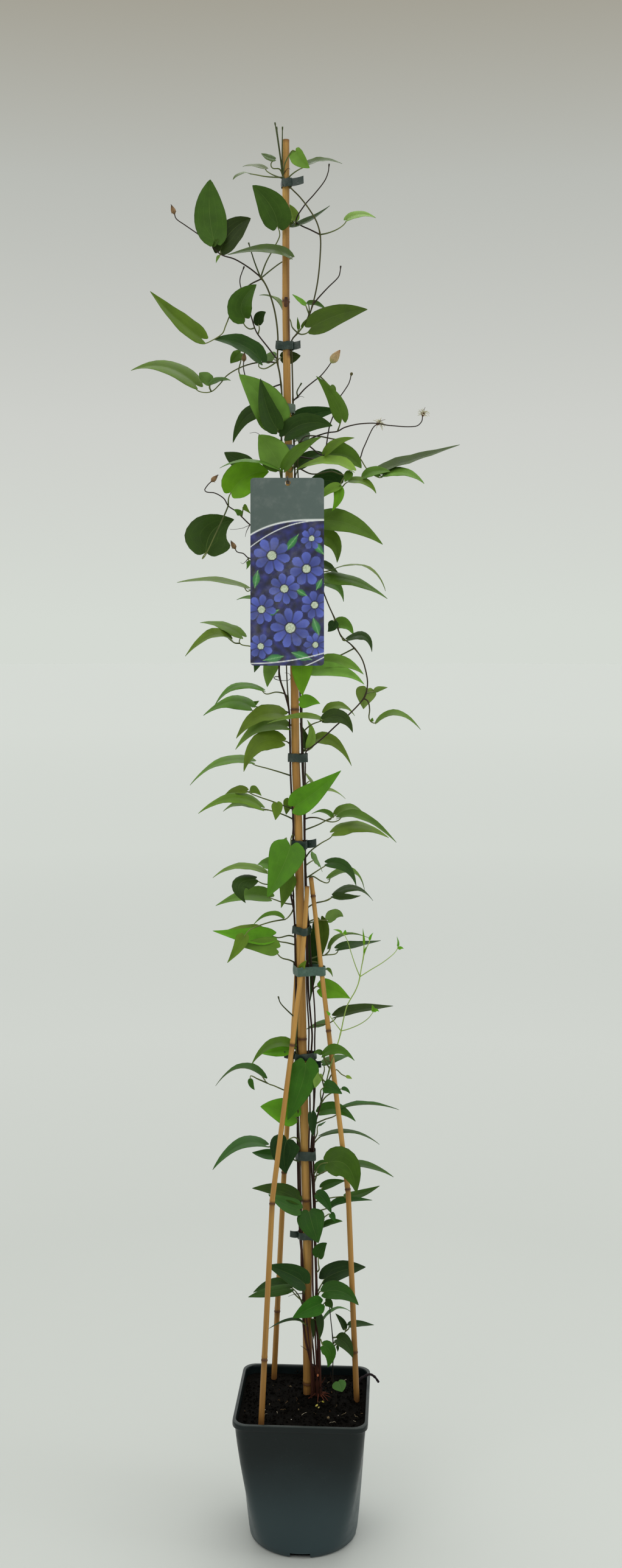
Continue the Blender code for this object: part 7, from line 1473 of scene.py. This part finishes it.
# Sprigs: x and y of the middle in centimetres, half length, half width and lean
sprigs = [(5.6, 16.6, 1.7, 0.5, 0.9), (9.2, 15.9, 1.3, 0.5, 2.3), (0.8, 11.7, 1.4, 0.5, 1.4),
          (6.9, 9.9, 1.0, 0.4, 2.6), (3.0, 7.2, 1.1, 0.4, 0.4), (8.9, 5.3, 1.5, 0.55, 1.9),
          (3.2, 1.0, 1.6, 0.55, 0.2), (6.9, 1.3, 1.7, 0.6, 2.8), (9.3, 11.0, 1.0, 0.4, 1.1)]


def fieldColour(x, y):
    # the card's lower part: sprigs under rosettes on a mottled ground
    ripple = noise.noise(Vector((x * 1.3, y * 1.3, 2)))
    colour = tuple(c * (0.85 + 0.8 * ripple) for c in cardLook["field"])
    for cx, cy, long, wide, lean in sprigs:
        dx, dy = x - cx, y - cy
        a, b = dx * math.cos(lean) + dy * math.sin(lean), -dx * math.sin(lean) + dy * math.cos(lean)
        inside = 1 - (a / long) ** 2 - abs(b) / (wide * max(1 - (a / long) ** 2, 0.02))
        if abs(a) < long and inside > 0:
            colour = (40 + 26 * inside, 104 + 50 * inside, 54 + 20 * inside)
            if abs(b) < 0.05:
                colour = (120, 170, 110)
    for cx, cy, size, petals, lean in rosettes:
        r, a = math.hypot(x - cx, y - cy), math.atan2(y - cy, x - cx) + lean
        lobe = abs(math.cos(petals * a / 2))
        edge = size * (0.62 + 0.38 * lobe ** 0.7)
        if r < edge:
            k = r / edge
            tone = (44 + 44 * k, 54 + 50 * k, 134 + 58 * k)
            shade = 0.5 + 0.5 * min(lobe * 2.2, 1) if r > size * 0.31 else 0.4
            colour = tuple(c * shade * (0.94 + 0.1 * math.sin(a * 2 + cx)) for c in tone)
            if r < size * 0.24:
                colour = (202, 214, 190) if (int(a * 9) + int(r * 16)) % 2 else (174, 188, 156)
    return colour


def cardColour(x, y):
    # x and y in centimetres from the card's lower left corner
    wide, tall = 9.97, 25.43
    s, t = x / wide, y / tall
    upperArc = 0.696 + 0.08 * (1 - (1 - s) ** 3)
    lowerArc = 0.631 + 0.142 * (1 - (1 - s) ** 2.2)
    colour = tuple(c * (0.97 + 0.06 * s) for c in cardLook["head"]) if t > upperArc else fieldColour(x, y)
    arcs = ((upperArc, 0.11), (lowerArc, 0.07), (0.011 + 0.056 * s * s, 0.07), (-0.06 + 0.105 * s * s, 0.07))
    for height, thin in arcs:
        mix = min(max(1.6 - abs(t - height) * tall / thin, 0), 1)
        if mix > 0:
            colour = tuple(c + (w - c) * mix for c, w in zip(colour, cardLook["line"]))
    return srgb(*(min(max(c, 0), 255) for c in colour))


cardFinish, tree, shader = newMaterial("printedCard", **{"Coat Weight": 0.35, "Coat Roughness": 0.18})
spots = objectPlace(tree)
printed = mixColour(tree, marksOn(tree, 40.0, 0.18)["Mask"], tintOf(tree), srgb(*cardLook["dust"]))
setSurface(tree, shader, printed, mapped(tree, noisy(tree, spots, 300.0, 4, 0.6), 0.3, 0.7, 0.32, 0.46))
bumped(tree, shader, noisy(tree, spots, 2200.0, 2, 0.5), 0.12, 0.0001)
cardTop = seen(-2.25, 144.08, cardLook["depth"])
halfWide, tall, corner = cardLook["width"] / 2, cardLook["height"], cardLook["corner"]
shape, sheets = Shape(), [[], []]
for j in range(cardLook["rows"] + 1):
    up = tall * j / cardLook["rows"]
    into = max(corner - min(up, tall - up), 0)
    reach = halfWide - (corner - math.sqrt(max(corner ** 2 - into * into, 0)))
    bow = cardLook["bow"] * math.sin(math.pi * j / cardLook["rows"])
    for sheet, y in zip(sheets, (-cardLook["thickness"] / 2, cardLook["thickness"] / 2)):
        row = []
        for i in range(cardLook["columns"] + 1):
            u = 2 * i / cardLook["columns"] - 1
            back = cardLook["depth"] * cm + y - bow + cardLook["curl"] * u ** 2
            row.append(shape.point((cardTop.x + reach * u, back, cardTop.z - tall + up)))
        sheet.append(row)
shape.slab(sheets)
card = shape.make("hanging_card", [])
holeAt = seen(-2.16, 143.35, cardLook["depth"])
punchAt = Matrix.Translation(holeAt) @ Matrix.Rotation(math.pi / 2, 4, "X")
carve(card, [cutRound("punch", cardLook["hole"], punchAt, 32)])
mesh = card.data
mesh.attributes.remove(mesh.attributes["tint"])
layer = mesh.attributes.new("tint", "FLOAT_COLOR", "CORNER")
cutTone, backTone = srgb(*cardLook["cut"]), srgb(*cardLook["back"])
known, colours = {}, []
for face in mesh.polygons:
    for corner in face.vertices:
        tone = backTone if face.normal.y > 0.6 else cutTone
        if face.normal.y < -0.6:
            if corner not in known:
                co = mesh.vertices[corner].co
                right, up = co.x - cardTop.x + halfWide, co.z - cardTop.z + tall
                known[corner] = cardColour(right * 100, up * 100)
            tone = known[corner]
        colours += (*tone, 1)
layer.data.foreach_set("color", colours)
mesh.materials.append(cardFinish)
mesh.polygons.foreach_set("use_smooth", [False] * len(mesh.polygons))
seat(card, "label", "label")

# The card's wire: a closed loop, and a knot through the card's hole
wireLook = {"dark": srgb(26, 26, 26), "worn": srgb(62, 60, 56), "radius": 0.00065, "knotRadius": 0.0006,
            "knotWidth": 0.0017, "knotPoints": 52}
wireFinish, tree, shader = newMaterial("coatedWire")
spots = objectPlace(tree)
colour = mixColour(tree, noisy(tree, spots, 400.0), wireLook["dark"], wireLook["worn"])
setSurface(tree, shader, colour, mapped(tree, noisy(tree, spots, 700.0), 0.3, 0.7, 0.35, 0.6))
shape = Shape()
loop = [Vector(p) * cm for p in wirePath]
line = smoothLine([loop[-1]] + loop + loop[:2], 0.002)
# from the first pass of the loop's first point to the next
firstTurn = min(range(len(line)), key=lambda i: (line[i] - loop[0]).length)
line = line[firstTurn:]
closed = [i for i, p in enumerate(line) if i > 10 and (p - loop[0]).length < 0.0011]
line = line[:closed[0] + 1] if closed else line
addTube(shape, line, [wireLook["radius"]] * len(line), [(1, 1, 1)] * len(line), 8)
knot = []
for k in range(wireLook["knotPoints"]):
    a, size = 0.4 * k, wireLook["knotWidth"]
    knot.append(holeAt + Vector((size * math.cos(a), 0.0022 - 0.00017 * a, size * math.sin(a) + 0.0012)))
addTube(shape, knot, [wireLook["knotRadius"]] * len(knot), [(1, 1, 1)] * len(knot), 7)
seat(shape.make("hanging_wire", [wireFinish]), "wire", "label_wire")
print("card made")

# Root crown: the woody foot that the stems leave, with torn strips of bark
crownLook = {"x": 1.96, "depth": 1.45, "low": 15.4, "top": 21.4, "rings": 39, "strips": 15, "roots": 12,
             "seed": 5, "wood": srgb(36, 21, 16), "torn": srgb(96, 58, 38), "root": srgb(78, 40, 26),
             "rootReach": (0.005, 0.009, 0.0135, 0.018), "rootLift": (0.0035, 0.002, 0.0008, -0.0008)}
random.seed(crownLook["seed"])
shape = Shape()
line, sizes, tints = [], [], []
for k in range(crownLook["rings"] + 1):
    t = k / crownLook["rings"]
    z = crownLook["low"] + (crownLook["top"] - crownLook["low"]) * t
    line.append(seen(crownLook["x"] + 0.12 * math.sin(t * 5), z, crownLook["depth"]))
    sizes.append((0.0072 - 0.0046 * t**0.8) * (1 + 0.2 * noise.noise(Vector((t * 9, 2, 7)))))
    patchy = 0.15 + 0.9 * noise.noise(Vector((t * 6, 8, 1)))
    tints.append(blendTint(crownLook["wood"], crownLook["torn"], patchy))
addTube(shape, line, sizes, tints, 18, rib=0.1)
for k in range(crownLook["strips"]):
    a, at = 2.4 * k, random.randrange(6, 38)
    out = Vector((math.cos(a), math.sin(a), 0))
    tone = blendTint(crownLook["wood"], crownLook["torn"], random.random() ** 3)
    way = (out + Vector((0, 0, random.uniform(0.4, 2.4)))).normalized()
    addFilament(shape, line[at] + out * sizes[at] * 0.8, way, random.uniform(0.006, 0.014), 0.0011, tone, 0)
for k in range(crownLook["roots"]):
    a = 2.4 * k + 0.4
    way = Vector((math.cos(a), math.sin(a), 0))
    points = []
    for reach, lift in zip(crownLook["rootReach"], crownLook["rootLift"]):
        p = line[12].xy.to_3d() + way * reach
        points.append(Vector((p.x, p.y, soilHeightAt(p.x, p.y) + lift)))
    curve = smoothLine(points, 0.002)
    count = len(curve)
    addTube(shape, curve, [0.0009 - 0.0005 * i / count for i in range(count)], [crownLook["root"]] * count, 6)
addLump(shape, seen(1.97, 20.0, 0.9), 0.0021, srgb(204, 124, 82), 0.8)
seat(shape.make("root_crown", [barkFinish]), "bark")

# Dark root twig that leans out over the rim
twigLook = {"radius": 0.002, "shade": srgb(31, 25, 27)}
shape = Shape()
line = smoothLine([Vector(p) * cm for p in twigPath], 0.002)
last = len(line) - 1
sizes = []
for i in range(last + 1):
    uneven = 1 + 0.4 * noise.noise(Vector((i * 0.9, 3, 1)))
    sizes.append(twigLook["radius"] * (1 - 0.2 * i / last) * uneven)
addTube(shape, line, sizes, [twigLook["shade"]] * (last + 1), 9)
seat(shape.make("twig", [barkFinish]), "bark", "root_twig")

# Floor, light and camera
stageLook = {"low": 0.35, "high": 1.0, "rear": 0.25, "floorRadius": 45,
             "floor": ((0, (182, 186, 180)), (0.072, (181, 185, 179)), (0.164, (195, 199, 193)),
                       (0.41, (208, 213, 206)), (1, (213, 218, 211))),
             "backdrop": ((0, (213, 218, 211)), (0.1, (213, 218, 211)), (0.22, (206, 208, 203)),
                          (0.362, (186, 188, 182)), (0.46, (164, 161, 149)), (1, (190, 191, 186)))}


def toneRamp(tree, value, tones):
    ramp = place(tree, "ValToRGB", [value])
    stops = ramp.color_ramp.elements
    for at, tone in tones[1:-1]:
        stops.new(at)
    for stop, (at, tone) in zip(stops, tones):
        stop.position, stop.color = at, (*srgb(*tone), 1)
    return ramp.outputs[0]


bm = bmesh.new()
bmesh.ops.create_circle(bm, cap_ends=True, segments=96, radius=stageLook["floorRadius"])
floor = addMesh("floor", bm)
floorFinish, tree, shader = newMaterial("mattFloor", Roughness=0.9)
reach = place(tree, "VectorMath", [objectPlace(tree)], operation="LENGTH").outputs["Value"]
floorTone = toneRamp(tree, mapped(tree, reach, 0.0, 16.0), stageLook["floor"])
tree.links.new(floorTone, shader.inputs["Base Color"])
floor.data.materials.append(floorFinish)

world = bpy.data.worlds.new("studio")
bpy.context.scene.world = world
world.use_nodes = True
tree = world.node_tree
way = place(tree, "SeparateXYZ", [place(tree, "TexCoord").outputs["Generated"]]).outputs
glow = maths(tree, "ADD", mapped(tree, way[2], -0.05, 0.7, stageLook["low"], stageLook["high"], True),
             mapped(tree, way[1], -0.2, 1.0, 0.0, stageLook["rear"], True))
backdrop = place(tree, "Background", [toneRamp(tree, mapped(tree, way[2], -0.1, 0.9), stageLook["backdrop"])])
softLight = place(tree, "Background", [place(tree, "CombineColor", [glow] * 3).outputs[0]])
cameraRay = place(tree, "LightPath").outputs["Is Camera Ray"]
shown = place(tree, "MixShader", [cameraRay, softLight.outputs[0], backdrop.outputs[0]])
tree.links.new(shown.outputs[0], tree.nodes["World Output"].inputs[0])


def addLamp(name, at, aim, size, power, tint=(1, 1, 1)):
    lamp = bpy.data.lights.new(name, "AREA")
    lamp.shape, lamp.size, lamp.size_y, lamp.energy, lamp.color = "RECTANGLE", size[0], size[1], power, tint
    holder = addObject(name, lamp)
    holder.location = at
    holder.rotation_euler = (Vector(aim) - Vector(at)).to_track_quat("-Z", "Y").to_euler()
    holder.visible_camera = False


addLamp("keySoftbox", (-1.7, -2.3, 2.9), (0, 0, 1.0), (1.8, 1.8), 16, (1, 0.99, 0.96))
addLamp("sideSoftbox", (1.9, -0.5, 1.2), (0, 0, 0.7), (0.7, 1.8), 9, (0.96, 0.98, 1))
addLamp("topSoftbox", (0.2, 0.6, 3.4), (0, 0, 1.0), (2, 2), 30)

eye = bpy.data.cameras.new("eye")
eye.sensor_fit, eye.sensor_width = "AUTO", 36
eye.lens = focalLength / pictureHeight * eye.sensor_width
eye.shift_y = -horizonShift / pictureHeight
camera = addObject("eye", eye)
camera.location = Vector((eyeX, eyeDepth, eyeHeight)) * cm
camera.rotation_euler = (math.pi / 2, 0, 0)
bpy.context.scene.camera = camera
bpy.context.scene.view_settings.view_transform = "Standard"
print("stage made")
